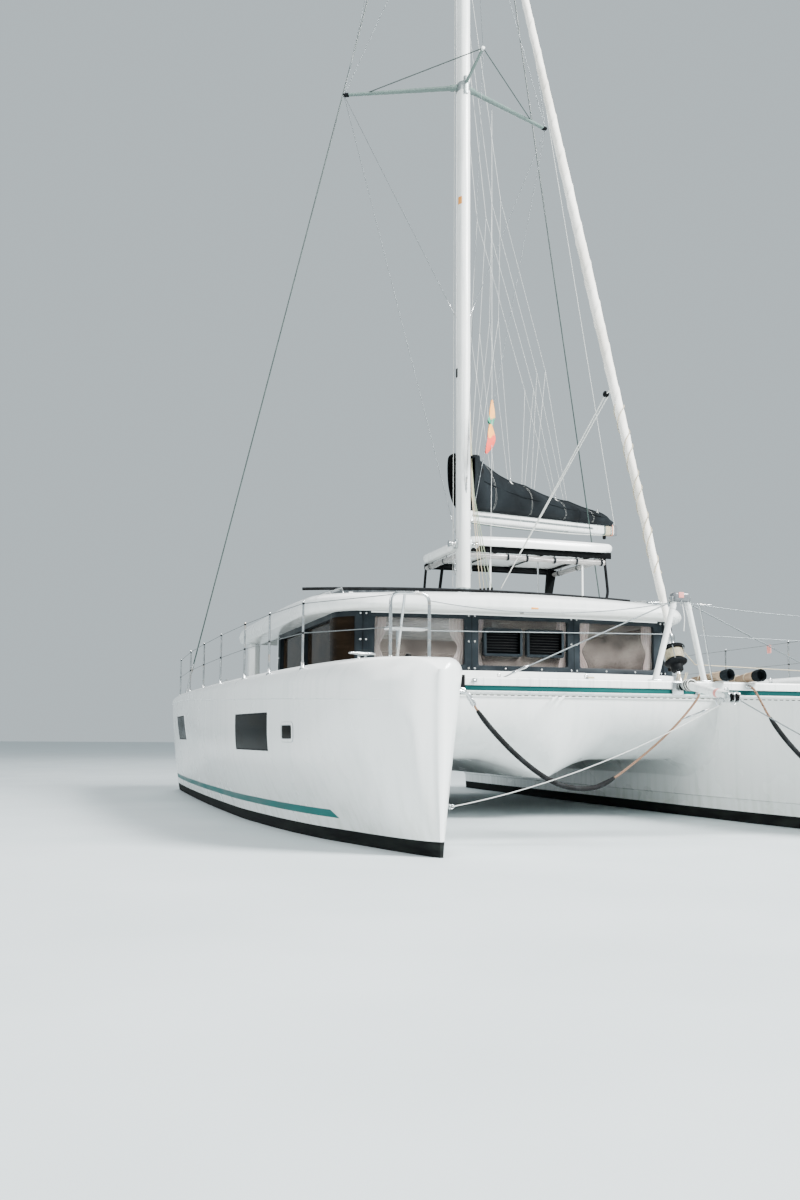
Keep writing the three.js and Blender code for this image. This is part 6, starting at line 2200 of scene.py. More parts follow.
def make_bag():
    ys = [*spread(4.93, 0.4, 92), *spread(0.4, -0.01, 14)[1:]]
    mouths = [1 - soft_step(-0.01, 0.4, y) for y in ys]
    outer = [bag_ring(y, 1.0, m) for y, m in zip(ys, mouths)]
    inner = [bag_ring(y, 0.965, m) for y, m in zip(ys[-10:][::-1], mouths[-10:][::-1])]
    inner.append(bag_ring(0.62, 0.9, 0))
    bag = Piece("sail_bag")
    end = sum(outer[0], Vector()) / len(outer[0])
    aft = on_boom(0, 0.032, 0) - on_boom(0, 0, 0)
    tail = [p.lerp(end, 0.35) + aft for p in outer[0]]
    # The lining inside the open mouth is drawn in painted shade
    bag.skin([tail, *outer, *inner], [CANVAS] * len(outer) + [SHADED] * len(inner))
    for y in (0.75, 1.9, 3.05, 4.1):
        bag.tube(bag_ring(y, 1.004)[:27], 0.0045, CANVAS, 6)
        bag.tube(bag_ring(y, 1.004)[27:], 0.0045, CANVAS, 6)
    for sign in (-1, 1):
        hem = [on_boom(sign * 0.077, y, BOOM_TOP - 0.028) for y in spread(0.3, 4.9, 40)]
        bag.tube(hem, 0.008, CANVAS, 8)
        pocket = [on_boom(sign * (BAG.at(y)[0] * 0.93 + 0.006), y, BOOM_TOP + 0.5 * BAG.at(y)[1])
                  for y in spread(0.4, 4.7, 70)]
        bag.tube(pocket, 0.007, CANVAS, 8)
    bag.tube(outer[-1][1:-1], 0.009, CANVAS, 8)
    bag.done(body="boom_and_bag", replaces=["boom_bag"], slot="canvas", sharp=60)


def bag_seams():
    """The zip along the bag's top and the white stitches beside its battens."""
    zip_line = [on_boom(0, y, BOOM_TOP + bag_half(y)[-1][1] + 0.004) for y in spread(0.1, 4.9, 110)]
    lines("bag_zip", [(zip_line, 0.009)], BLACK, sides=8, body="boom_and_bag")
    stitches = []
    for y in (0.735, 0.765, 1.885, 1.915, 3.035, 3.065, 4.085, 4.115):
        for sign in (-1, 1):
            side = [on_boom(sign * (x + 0.0022), y, z + BOOM_TOP)
                    for x, z in bag_half(y if sign > 0 else y + 0.37)]
            side = even(side[2:-1], 0.011)
            stitches += [([a, a.lerp(b, 0.6)], 0.0011) for a, b in zip(side, side[1:])]
    lines("bag_stitches", stitches, WHITE_ROPE, sides=4, body="boom_and_bag")


def stowed_mainsail():
    """The flaked sail that shows in the bag's open mouth, painted near-black as the shade inside the bag."""
    sail = Piece("stowed_mainsail")
    folds = [(0.05 + 0.035 * (i % 2), t) for i, t in enumerate(spread(0, 1, 20))]
    folds += [(-x, t) for x, t in reversed(folds)]
    layers = [[on_boom(x, y, BOOM_TOP + 0.03 + 0.6 * t * (1 - 0.25 * y)) for x, t in folds]
              for y in spread(0.12, 0.9, 9)]
    sail.skin(layers, SHADED)
    sail.done(body="boom_and_bag", slot="sailcloth", sharp=70)


def webbing(piece, path, normals, width, material, thickness=0.0025):
    """A flat strap along a path, lying on the surface that the normals stand on."""
    rings = []
    for i, point in enumerate(path):
        along = (path[min(i + 1, len(path) - 1)] - path[max(i - 1, 0)]).normalized()
        out = Vector(normals[i]).normalized()
        across = along.cross(out).normalized() * width / 2
        rings.append([point - across, point + across, point + across + out * thickness, point - across + out
                      * thickness])
    piece.skin(rings, material)


def bag_straps():
    """White webbing loops for the lazy jacks, and the strap round the bag and boom."""
    straps = Piece("bag_webbing")
    outward = BOOM.to_quaternion() @ Vector(PORT)
    for y in BAG_LOOPS:
        for sign in (-1, 1):
            side = bag_half(y if sign > 0 else y + 0.37)[19:]
            path = [on_boom(sign * (x + 0.004), y, z + BOOM_TOP) for x, z in side]
            webbing(straps, path, [outward * sign + Vector((0, 0, 0.6))] * len(path), 0.045, WEBBING)
            straps.tube([on_boom(sign * 0.03, y + 0.03 * math.cos(a), BOOM_TOP + side[-1][1] + 0.012 + 0.03
                                 * math.sin(a)) for a in spread(0, 2 * math.pi, 13)], 0.004, STEEL, 8)
    straps.done(body="boom_and_bag", slot="canvas")


# Each leg of the lazy jacks: its two ends by distance along the boom and height over the gooseneck
JACK_RINGS = {"a": (1.1, 5.43), "b": (0.66, 4.97), "c": (1.02, 3.37), "d": (0.47, 2.99), "e": (2.51, 2.91),
              "f": (2.11, 2.49)}
JACK_LEGS = [("a", "c"), ("a", "e"), ("b", "d"), ("b", "f")]
JACK_FEET = {"c": (0.5, 1.47), "d": (0.3, 0.95), "e": (2.2, 3.3), "f": (1.9, 2.93)}


def closed_outline(low, high, radius):
    outline = rounded_outline(low, high, radius, 6)
    return [*outline, outline[0]]


def lazy_jacks():
    legs, rings = [], Piece("lazy_jack_rings")
    for sign in (-1, 1):
        def ring(key):
            y, z = JACK_RINGS[key]
            return swung(sign * 0.085, y, z)

        def bag_top(y):
            return on_boom(sign * 0.03, y, BOOM_TOP + bag_half(y)[-1][1] + 0.01)
        legs += [([ring(a), ring(b)], 0.0025) for a, b in JACK_LEGS]
        legs += [([ring(key), bag_top(y)], 0.0025) for key, feet in JACK_FEET.items() for y in feet]
        legs += [([ring("a"), swung(sign * 0.06, 0.02, 9.6)], 0.003),
                 ([ring("b"), swung(sign * 0.06, 0.02, 8.4)], 0.003)]
        for key in JACK_RINGS:
            rings.hoop(ring(key), (0.014, 0, 0), (0, 0, 0.014), 0.004, STEEL, 12)
    lines("lazy_jacks", legs, WHITE_ROPE, sides=6, body="boom_and_bag")
    rings.done(body="boom_and_bag", slot="stainless")


def boom_lines():
    """Topping lift, reefing lines under the boom and the ropes wound round its end."""
    lift = [([on_boom(0, 5.17, 0.14), swung(0, 0.03, MAST_TOP_Z - BOOM_PIVOT.z - 0.1)], 0.004)]
    lines("topping_lift", lift, WHITE_ROPE, body="boom_and_bag")
    reefs = [(sagging(on_boom(x, 0.3, -0.06), on_boom(x, 4.7, -0.06), 0.03), 0.005) for x in (-0.02, 0.02)]
    hitches = [([on_boom(0.068 * math.cos(a), y, 0.04 + 0.115 * math.sin(a))
                 for a in spread(0, 2 * math.pi, 21)], 0.005) for y in (1.7, 3.2, 4.35)]
    lines("reef_lines", reefs + hitches, WHITE_ROPE, body="boom_and_bag")
    slack = sagging(on_boom(0.0, 0.15, -0.062), on_boom(0.0, 3.4, -0.062), 0.035)
    lines("teal_reef_line", [(slack, 0.008)], TEAL_ROPE, body="boom_and_bag")
    for name, material, ys in (("beige", BEIGE_ROPE, spread(4.7, 4.86, 9)),
                               ("green", TEAL_ROPE, (4.64, 4.66, 4.9)),
                               ("orange", ORANGE_ROPE, (4.95, 4.97))):
        wraps = [([on_boom(x, y, z) for x, z in closed_outline((-0.068, -0.056), (0.068, 0.151), 0.04)],
                  0.008) for y in ys]
        lines(f"boom_end_wraps_{name}", wraps, material, body="boom_and_bag")


make_boom()
make_bag()
bag_seams()
stowed_mainsail()
bag_straps()
lazy_jacks()
boom_lines()


# Roof gear, solar panels and hardtop

SOLAR_X = ((-2.12, -1.1), (-1.04, -0.02), (0.02, 1.04), (1.1, 2.12))


def make_solar_panels():
    panels = Piece("solar_panels")
    for low, high in SOLAR_X:
        panels.inlay(((low, -0.6), (high, 0.12), 0.02), roof_top, [
            (0, 0.018, FRAME), (0, 0.062, FRAME), (0.004, 0.066, FRAME), (0.022, 0.066, FRAME),
            (0.024, 0.063, SOLAR), (0.2, 0.063, SOLAR)])
    panels.tube([Vector((x, -0.6, 3.011 - 0.011 * x * x)) for x in spread(-2.66, 2.16, 50)], 0.021, BLACK, 12)
    for x in (-2.0, -1.07, -0.45, 0.35, 0.75, 1.07, 1.85):
        for y in (-0.6, 0.08):
            foot = roof_top(x, y)
            panels.soft_box((x - 0.03, y - 0.025, foot.z - 0.006), (x + 0.03, y + 0.03, foot.z + 0.03),
                            0.006, GELCOAT)
    panels.done(slot="glass")


def make_roof_trim():
    trim = Piece("roof_trim")
    trim.tube([front_wall(x, 2.548, -0.014) for x in spread(-2.0, 2.0, 40)], 0.011, GELCOAT, 10)
    trim.lathe([(0.034, 0), (0.034, 0.03), (0.028, 0.045)], (-0.135, -2.06, 2.6), (0, -0.25, -1), STEEL, 24)
    trim.lathe([(0.027, 0), (0.022, 0.008), (0.008, 0.011)], (-0.135, -2.071, 2.556), (0, -0.25, -1), VINYL,
               24)
    trim.soft_box((-0.045, -2.165, 2.6), (0.055, -2.1, 2.626), 0.006, ORANGE)
    for x in (-1.45, 1.45):
        trim.soft_box((x - 0.05, -2.12, 2.585), (x + 0.05, -2.04, 2.612), 0.006, ALLOY)
    trim.done(slot="gelcoat")


def make_grab_rails():
    rails = []
    feet = Piece("grab_rail_feet")
    for side in SIDES.values():
        span = [roof_top(side * 2.22, y, 0.07) for y in spread(-1.0, 1.1, 12)]
        rails.append((bend([roof_top(side * 2.22, -1.06, 0), *span, roof_top(side * 2.22, 1.16, 0)], 0.04),
                      0.011))
        for y in (-1.06, -0.35, 0.4, 1.16):
            at = roof_top(side * 2.22, y, 0)
            feet.lathe([(0.026, -0.006), (0.026, 0.006), (0.013, 0.012),
                        (0.0115, 0.07 if -1 < y < 1.1 else 0.02)], at, UP, STEEL, 18)
    feet.done(slot="stainless")
    lines("roof_grab_rails", rails, STEEL, sides=14)


def make_roof_hatches():
    hatches = Piece("roof_hatches")
    for x in (-1.55, 1.55):
        glazed_hatch(hatches, (x - 0.25, 0.42), (x + 0.25, 0.92), -0.02, 0.03, roof_top)
    hatches.done(slot="glass")
    deck = Piece("roof_tread")
    for low, high in (((-2.1, 1.25), (-0.45, 4.3)), ((0.45, 0.98), (1.1, 3.9)),
                      ((-0.95, 0.3), (-0.35, 1.1)), ((0.35, 0.3), (0.95, 0.9))):
        deck.inlay((low, high, 0.06), roof_top, [(0, -0.01, DECK), (0, 0.001, DECK), (0.004, 0.0025, DECK)])
    deck.done(slot="deck")


# x and y of the hardtop, and its underside's height
HARDTOP = ((0.32, 2.98), (1.3, 3.68), 4.03)
# x and y of the frame's rim, and its height
BARS = ((0.43, 2.79), (1.45, 3.59), 4.01)
# The head of each leg, and its foot in plan
LEGS = [((0.43, 1.45, 4.0), (0.35, 1.45)), ((0.43, 3.59, 4.0), (0.35, 3.59)),
        ((2.74, 3.59, 4.0), (2.63, 3.59))]


def hardtop_ring(y):
    """A section of the crowned top, with a lip that stands down round its rim."""
    (left, right), (front, back), base = HARDTOP
    into = min(1, max(0, min(y - front, back - y) / 0.3))
    inset = 0.28 * (1 - math.sqrt(1 - (1 - into) ** 2))
    left, right = left + inset, right - inset
    middle, half = (left + right) / 2, (right - left) / 2 - 0.06
    lip = base - 0.04
    at_end = max(0, 1 - into * 5) ** 2
    high, under = base + 0.108 - 0.042 * at_end, 0.09 - 0.055 * at_end
    ring = [(x, base if into > 0.167 else lip) for x in spread(left + 0.15, right - 0.15, 14)]
    ring += [(right - 0.13, lip),
             *[(x, z) for x, z in arc((right - 0.12, lip + under), (0.12, under), -75, 0, 6)]]
    ring += arc((right - 0.05, high - 0.04), (0.05, 0.04), 0, 90, 8)[:-1]
    ring += [(middle + half * t, high + 0.018 * (1 - t * t)) for t in spread(1, -1, 41)]
    ring += arc((left + 0.05, high - 0.04), (0.05, 0.04), 90, 180, 8)[1:]
    ring += [*[(x, z) for x, z in arc((left + 0.12, lip + under), (0.12, under), 180, 255, 6)],
             (left + 0.13, lip)]
    return [Vector((x, y, z)) for x, z in ring]


def make_hardtop():
    top = Piece("hardtop_moulding")
    front, back = HARDTOP[1]
    ends = [0.3 * t * t for t in spread(0, 0.407, 8)] + [0.051] + [0.3 * t * t for t in spread(0.43, 1, 9)]
    ys = [*(front + y for y in ends), *spread(1.65, 3.33, 16), *(back - y for y in reversed(ends))]
    top.skin([hardtop_ring(y) for y in ys], GELCOAT)
    top.done(replaces=["hardtop"], slot="gelcoat", sharp=38)


def hardtop_frame():
    """Black tubes: a rim under the top, its legs, two cross bars and a post; and three bare poles."""
    (left, right), (front, aft), high = BARS
    rim = ((left, 2.4), (left, front), (right, front), (right, aft), (left, aft), (left, 2.4))
    tubes = [(bend([(x, y, high) for x, y in rim], 0.08), 0.02),
             ([(0.42, aft, 3.98), (2.8, aft, 3.98)], 0.036)]
    feet = Piece("hardtop_feet")
    for head, (x, y) in LEGS:
        foot = roof_top(x, y, -0.01)
        tubes.append(([head, foot], 0.023))
        feet.lathe([(0.05, -0.004), (0.05, 0.008), (0.03, 0.016), (0.026, 0.06)], foot, UP, BLACK, 24)
    outer_foot = roof_top(2.6, front, -0.01)
    tubes.append((bend([(right, front, 4.0), (2.86, front, 3.3), (2.74, front, 3.1), outer_foot], 0.14),
                  0.023))
    feet.lathe([(0.05, -0.004), (0.05, 0.008), (0.03, 0.016), (0.026, 0.05)], outer_foot, (0.4, 0, 1),
               BLACK, 24)
    tubes += [([(x, front, high), (x, aft, high)], 0.014) for x in (1.13, 1.96)]
    tubes.append(([(0.72, 3.55, 4.0), (0.6, 3.55, 3.05)], 0.028))
    lines("hardtop_tubes", tubes, BLACK, sides=16, replaces=["hardtop_frame"])
    for x in (0.8, 2.4):
        foot = roof_top(x, front, -0.01)
        feet.lathe([(0.034, -0.004), (0.034, 0.008), (0.02, 0.014)], foot, UP, STEEL, 20)
    feet.done(slot="black_coated")
    poles = [([(x, front, 4.0), roof_top(x, front, 0)], 0.016) for x in (0.8, 2.4)]
    lines("hardtop_white_poles", poles, WHITE_ALLOY, sides=16)
    pole = ([(1.62, front, 4.0), roof_top(1.62, front, 0)], 0.013)
    lines("hardtop_steel_poles", [pole], STEEL, sides=14)


def hardtop_trim():
    """The dark aprons along the top's front and back, and the one that narrows down to the roof."""
    trim = Piece("hardtop_trim")
    trim.soft_box((0.4, 1.36, 3.893), (2.88, 1.38, 4.0), 0.008, SHADED)
    trim.soft_box((0.4, 3.6, 3.92), (2.88, 3.63, 4.0), 0.008, SHADED)
    apron = [[Vector((x, y, z)) for x, y in ((near, 3.5), (far, 3.5), (far, 3.55), (near, 3.55))]
             for near, far, z in ((2.56, 2.68, 2.97), (2.73, 2.88, 4.0))]
    trim.skin(apron, SHADED)
    trim.done(slot="black_coated")


def rolled_panels():
    """Clear side screens rolled up under the front and side edges, with their black straps."""
    def crumple(angle, run):
        return 1 + 0.1 * math.sin(3 * angle + 4.4 * run) + 0.06 * math.sin(7 * angle - 6 * run)
    rolls = [[(0.42, 1.42, 3.853), (0.9, 1.41, 3.845), (1.8, 1.41, 3.83), (2.78, 1.42, 3.835)],
             [(0.42, 1.55, 3.92), (0.41, 2.5, 3.905), (0.42, 3.5, 3.92)],
             [(2.83, 1.55, 3.92), (2.84, 2.5, 3.905), (2.83, 3.5, 3.92)]]
    panel = Piece("rolled_screens")
    straps = Piece("screen_straps")
    for corners, holders in zip(rolls, ((0.28, 0.42, 0.62, 0.78, 0.97), (0.12, 0.5, 0.88),
                                        (0.12, 0.5, 0.88))):
        path = even(smooth_path(corners), 0.03)
        panel.tube(path, 0.043, VINYL, 24, relief=crumple)
        for t in holders:
            i = min(len(path) - 2, round(t * (len(path) - 1)))
            along = (path[i + 1] - path[i]).normalized()
            across = along.cross(Vector(UP)).normalized()
            loop = [path[i] + 0.052 * (across * math.cos(a) + Vector((0, 0, math.sin(a))))
                    for a in spread(-1.4, math.pi + 1.4, 20)]
            loop = [path[i] + Vector((0, 0, 0.1)), *loop[::-1], path[i] + Vector((0, 0, 0.1))]
            webbing(straps, [Vector(p) for p in loop[1:-1]], [p - path[i] for p in loop[1:-1]], 0.034,
                    CANVAS, 0.003)
            webbing(straps, [path[i] + Vector((0, 0, z)) + across * 0.02 for z in (0.055, 0.13)],
                    [across] * 2, 0.034, CANVAS, 0.003)
    panel.done(slot="glass", sharp=70)
    straps.done(slot="canvas")


make_solar_panels()
make_roof_trim()
make_grab_rails()
make_roof_hatches()
make_hardtop()
hardtop_frame()
hardtop_trim()
rolled_panels()


# Cushions: cloth blown up inside a slab's size, then piped along its edges

PUFF_CAP = 0.026
BLOW_FRAMES = 20


def puffed(thing, low, high):
    """Blows the cloth up for some frames and holds it near the slab and inside its box."""
    even_mesh = thing.modifiers.new("even", "REMESH")
    even_mesh.mode = "VOXEL"
    even_mesh.voxel_size = 0.018
    bake_modifiers(thing)
    starts = [vertex.co.copy() for vertex in thing.data.vertices]
    blown = thing.modifiers.new("blown", "CLOTH")
    blown.settings.quality = 4
    blown.settings.use_pressure = True
    blown.settings.uniform_pressure_force = 4
    blown.settings.effector_weights.gravity = 0
    for frame_number in range(1, BLOW_FRAMES + 1):
        bpy.context.scene.frame_set(frame_number)
    bake_modifiers(thing)
    bpy.context.scene.frame_set(1)
    for vertex, start in zip(thing.data.vertices, starts):
        move = vertex.co - start
        moved = start + move * min(1, PUFF_CAP / max(move.length, 1e-6))
        vertex.co = [min(max(value, least), most) for value, least, most in zip(moved, low, high)]
    smooth = thing.modifiers.new("smooth", "SUBSURF")
    smooth.levels = smooth.render_levels = 1
    bake_modifiers(thing)


def cushion(name, low, high, thin):
    """A box cushion in a space from low to high. thin is the axis across its thickness."""
    room = Vector([0.012 if axis == thin else 0.004 for axis in range(3)])
    start, end = Vector(low) + room, Vector(high) - room
    pad = Piece(name)
    pad.soft_box(start, end, 0.022, CUSHION, steps=4)
    thing = pad.done(slot="canvas", sharp=180)
    puffed(thing, low, high)
    settle(thing, 180)
    piping = Piece(f"{name}_piping")
    others = [axis for axis in range(3) if axis != thin]
    for level in (start[thin] + 0.006, end[thin] - 0.006):
        outline = rounded_outline([start[a] for a in others], [end[a] for a in others], 0.03, 6, along=24)
        path = []
        for u, v in [*outline, outline[0]]:
            point = Vector((0, 0, 0))
            point[thin], point[others[0]], point[others[1]] = level, u, v
            found, near, *_ = thing.closest_point_on_mesh(point)
            path.append(near if found else point)
        piping.tube(path, 0.005, CANVAS, 8)
    piping.done(slot="canvas", sharp=70)


# Cockpit: doors, benches, table, helm

def rounded_prism(name, outline, low, high, axis, radius, material, **mounting):
    """A moulding of one outline with its edges rounded."""
    part = Piece(name)
    part.prism(outline, low, high, axis, material)
    return part.done(round_edges=radius, **mounting)


def make_roof_posts():
    plan = [(2.38, 4.15), (2.48, 4.08), (2.56, 4.15), (2.56, 4.38), (2.38, 4.38)]
    for name, side in SIDES.items():
        rounded_prism(f"roof_post_{name}_moulding", [(side * x, y) for x, y in plan], 1.6, WALL_TOP_Z, 2,
                      0.02, GELCOAT, replaces=[f"roof_post_{name}"], slot="gelcoat")


def make_benches():
    bench = Piece("aft_bench_moulding")
    bench.prism([(4.25, SOLE_Z), (4.745, SOLE_Z), (4.745, 1.79), (4.7, 1.79), (4.69, 1.355), (4.25, 1.355)],
                -1.75, 1.75, 0, GELCOAT)
    bench.done(round_edges=0.018, replaces=["aft_bench"], slot="gelcoat")
    for i, (low, high) in enumerate(((-1.74, -0.6), (-0.58, 0.58), (0.6, 1.74))):
        cushion(f"aft_seat_cushion_{i + 1}", (low, 4.245, 1.353), (high, 4.62, 1.44), 2)
        cushion(f"aft_back_cushion_{i + 1}", (low, 4.612, 1.45), (high, 4.703, 1.775), 1)
    settee = Piece("cockpit_settee_moulding")
    settee.prism([(-2.12, SOLE_Z), (-1.5, SOLE_Z), (-1.5, 1.355), (-2.06, 1.355), (-2.075, 1.68),
                  (-2.12, 1.68)], 2.9, 4.248, 1, GELCOAT)
    settee.done(round_edges=0.018, replaces=["cockpit_settee"], slot="gelcoat")
    for i, (low, high) in enumerate(((2.91, 3.57), (3.59, 4.235))):
        cushion(f"settee_seat_cushion_{i + 1}", (-1.99, low, 1.353), (-1.495, high, 1.44), 2)
        cushion(f"settee_back_cushion_{i + 1}", (-2.065, low, 1.45), (-1.975, high, 1.68), 0)


def make_cockpit_table():
    table = Piece("cockpit_table_top")
    table.soft_box((-1.15, 3.05, 1.68), (0.15, 3.85, 1.72), 0.016, GELCOAT)
    table.inlay(((-1.11, 3.09), (0.11, 3.81), 0.05), flat_top(1.72),
                [(0, -0.004, ALLOY), (0, 0.0012, ALLOY), (0.006, 0.0012, TABLE), (0.2, 0.001, TABLE)])
    table.lathe([(0.14, 0), (0.14, 0.01), (0.06, 0.022), (0.055, 0.1), (0.05, 0.62), (0.07, 0.66),
                 (0.16, 0.678)], (-0.5, 3.45, SOLE_Z), UP, ALLOY, 32)
    table.done(replaces=["cockpit_table"], slot="deck")


def make_cockpit_sole():
    sole = Piece("cockpit_sole_tread")
    for low, high in (((-1.45, 2.62), (0.95, 4.2)), ((-0.9, 2.52), (0.9, 2.6))):
        sole.inlay((low, high, 0.05), flat_top(SOLE_Z),
                   [(0, -0.004, DECK), (0, 0.001, DECK), (0.004, 0.003, DECK)])
    for side in SIDES.values():
        sole.soft_box((side * 2.3 - 0.3, 4.33, 1.48), (side * 2.3 + 0.3, 4.45, 1.49), 0.004, DECK)
    sole.done(slot="deck")


def make_door_gear():
    door = Piece("door_furniture")
    door.tube(bend([(-0.36, 2.5, 1.9), (-0.36, 2.545, 1.9), (-0.36, 2.545, 1.55), (-0.36, 2.5, 1.55)],
                   0.02), 0.009, STEEL, 14)
    door.done(body="saloon_door", slot="stainless")
    frames = Piece("door_track_and_window_frame")
    for z in (SOLE_Z + 0.0045, 2.388):
        frames.soft_box((-1.56, 2.462, z - 0.004), (1.0, 2.512, z + 0.006), 0.002, ALLOY, steps=1)
    frames.inlay(((0.055, 1.745), (1.045, 2.335), 0.01),
                 lambda x, z, lift: Vector((x, BULKHEAD_Y + WALL + lift, z)), [
        (0, -0.05, GREY), (0, -0.002, GREY), (0.036, -0.002, GREY), (0.04, -0.02, BLACK),
        (0.05, -0.02, SMOKED_PANE), (0.25, -0.02, SMOKED_PANE)])
    frames.done(slot="window_frame")


# The helm seat's and console's shared width, and the console's sloping face from its foot to its head
HELM_X = (1.35, 2.45)
DASH = (Vector((0, 2.82, 2.83)), Vector((0, 2.75, 3.14)))
DASH_OUT = Vector((0, 0.31, 0.07)).normalized()


def dash(x, up, lift):
    """The console's face as a surface."""
    point = DASH[0].lerp(DASH[1], up / 0.318) + DASH_OUT * lift
    return Vector((x, point.y, point.z))


def make_helm_platform():
    (left, right), (front, back) = (1.18, 2.7), (2.535, 3.48)
    platform = Piece("helm_platform_moulding")
    platform.soft_box((left, front, SOLE_Z), (right, back, 1.95), 0.03, GELCOAT)
    for i, z in enumerate((1.24, 1.48, 1.72)):
        platform.soft_box((left - 0.3 + 0.08 * i, 2.75, SOLE_Z + 0.001), (left + 0.02, 3.3, z), 0.02, GELCOAT)
        platform.inlay(((left - 0.27 + 0.08 * i, 2.79), (left - 0.2 + 0.08 * i, 3.26), 0.02), flat_top(z),
                       [(0, -0.003, DECK), (0, 0.001, DECK), (0.003, 0.002, DECK)])
    platform.inlay(((left + 0.05, front + 0.3), (right - 0.1, 3.06), 0.04), flat_top(1.95),
                   [(0, -0.003, DECK), (0, 0.001, DECK), (0.004, 0.0025, DECK)])
    platform.done(replaces=["helm_platform"], slot="gelcoat")


def make_helm_console():
    console = Piece("helm_console_moulding")
    console.prism([(2.54, 1.952), (2.79, 1.952), (2.82, 2.83), (2.75, 3.14), (2.7, 3.19), (2.54, 3.2)],
                  *HELM_X, 0, GELCOAT)
    console.done(round_edges=0.022, replaces=["helm_console"], slot="gelcoat")
    panel = Piece("helm_instruments")
    for low, high in (((1.42, 0.03), (1.68, 0.27)), ((1.76, 0.06), (2.14, 0.28)), ((2.2, 0.03), (2.4, 0.17))):
        panel.inlay((low, high, 0.02), dash, [(0, -0.004, BLACK), (0, 0.008, BLACK), (0.004, 0.012, BLACK),
                                              (0.014, 0.012, BLACK), (0.016, 0.009, HULL_GLASS),
                                              (0.06, 0.009, HULL_GLASS)])
    for x in (2.24, 2.36):
        panel.lathe([(0.045, -0.004), (0.048, 0.01), (0.04, 0.016), (0.038, 0.01)], dash(x, 0.235, 0),
                    DASH_OUT, BLACK, 28)
    panel.lathe([(0.075, 0), (0.08, 0.02), (0.07, 0.035), (0.062, 0.07), (0.035, 0.1), (0.01, 0.106)],
                (1.95, 2.62, 3.195), UP, BLACK, 32)
    for x in (1.43, 1.5):
        panel.tube(smooth_path([(x, 2.84, 2.78), (x, 2.9, 2.84), (x, 2.93, 2.95)]), [0.009] * 12 + [0.014],
                   STEEL, 12)
    panel.soft_box((1.39, 2.8, 2.7), (1.54, 2.85, 2.82), 0.012, STEEL)
    for x in (1.45, 2.33):
        winch(panel, (x, 2.62, 3.19), 1.05)
    panel.done(slot="black_plastic")


def make_wheel():
    wheel = Piece("steering_wheel_rim")
    centre = Vector((1.95, 2.88, 2.83))

    def spot(radius, angle, y):
        return centre + Vector((radius * math.sin(angle), y, radius * math.cos(angle)))
    wheel.tube([spot(0.36, a, 0) for a in spread(0, 2 * math.pi, 65)], 0.0135, STEEL, 16)
    for a in turns(5):
        wheel.tube([spot(r, a, y) for r, y in ((0.03, -0.006), (0.12, -0.004), (0.25, 0), (0.35, 0))],
                   [0.012, 0.0095, 0.0085, 0.008], STEEL, 12)
        if a == 0:
            wheel.tube([spot(0.36, b, 0) for b in spread(-0.12, 0.12, 9)], 0.0155, CANVAS, 16)
    wheel.lathe([(0.03, -0.03), (0.045, -0.024), (0.045, 0.01), (0.03, 0.024), (0.012, 0.027)], centre, AFT,
                STEEL, 32)
    wheel.rod(centre + Vector((0, -0.0595, 0)), centre + Vector((0, -0.02, 0)), 0.018, STEEL)
    wheel.done(body="steering_wheel", replaces=["steering_wheel"], slot="stainless")


def make_helm_seat():
    seat = Piece("helm_seat_moulding")
    seat.prism([(3.08, 1.952), (3.46, 1.952), (3.46, 2.84), (3.425, 2.84), (3.41, 2.345), (3.08, 2.345)],
               *HELM_X, 0, GELCOAT)
    seat.done(round_edges=0.018, replaces=["helm_seat"], slot="gelcoat")
    cushion("helm_seat_cushion", (1.36, 3.075, 2.343), (2.44, 3.37, 2.425), 2)
    cushion("helm_back_cushion", (1.36, 3.355, 2.45), (2.44, 3.43, 2.835), 1)


def make_cabin():
    """What shows through the panes: counter, lockers and a table in a dark cabin."""
    cabin = Piece("cabin_joinery")
    cabin.soft_box((-2.1, -1.25, SOLE_Z), (-1.5, 1.7, 1.86), 0.02, WOOD)
    cabin.soft_box((-2.12, -1.27, 1.86), (-1.47, 1.72, 1.9), 0.012, TABLE)
    cabin.soft_box((-0.9, 1.75, SOLE_Z + 0.001), (-0.28, 2.3, 1.6), 0.02, WOOD)
    cabin.soft_box((0.5, -0.4, 1.66), (1.5, 0.6, 1.7), 0.014, WOOD)
    cabin.lathe([(0.12, 0), (0.05, 0.02), (0.045, 0.66)], (1.0, 0.1, SOLE_Z), UP, ALLOY, 24)
    cabin.soft_box((1.75, -1.2, SOLE_Z), (2.12, 1.9, 1.5), 0.04, CABIN_CLOTH)
    cabin.soft_box((0.2, -1.45, SOLE_Z), (1.76, -0.85, 1.45), 0.04, CABIN_CLOTH)
    cabin.soft_box((0.2, -1.56, SOLE_Z), (1.76, -1.44, 1.8), 0.04, CABIN_CLOTH)
    cabin.soft_box((-1.45, -1.2, SOLE_Z + 0.001), (1.7, 2.3, SOLE_Z + 0.02), 0.008, WOOD)
    cabin.done(slot="deck")


# Underwater gear

def foil(chord, thick, steps=18):
    """A symmetric section by half thickness and distance from its middle, nose first."""
    side = []
    for t in spread(0, 1, steps):
        u = (1 - math.cos(math.pi * t)) / 2
        half = 5 * thick * (0.2969 * math.sqrt(u) - 0.126 * u - 0.3516 * u ** 2 + 0.2843 * u ** 3 - 0.1015
                            * u ** 4)
        side.append((max(half, 0.0012), (u - 0.5) * chord))
    return [*side, *[(-x, y) for x, y in reversed(side)]]


def fin(piece, x, rows, material):
    """A fin from rows of (z, middle y, chord, thickness), its foot rounded over."""
    rings = [[Vector((x + across, y + along, z)) for across, along in foil(chord, thick)] for z, y, chord,
             thick in rows]
    piece.skin(rings, material)


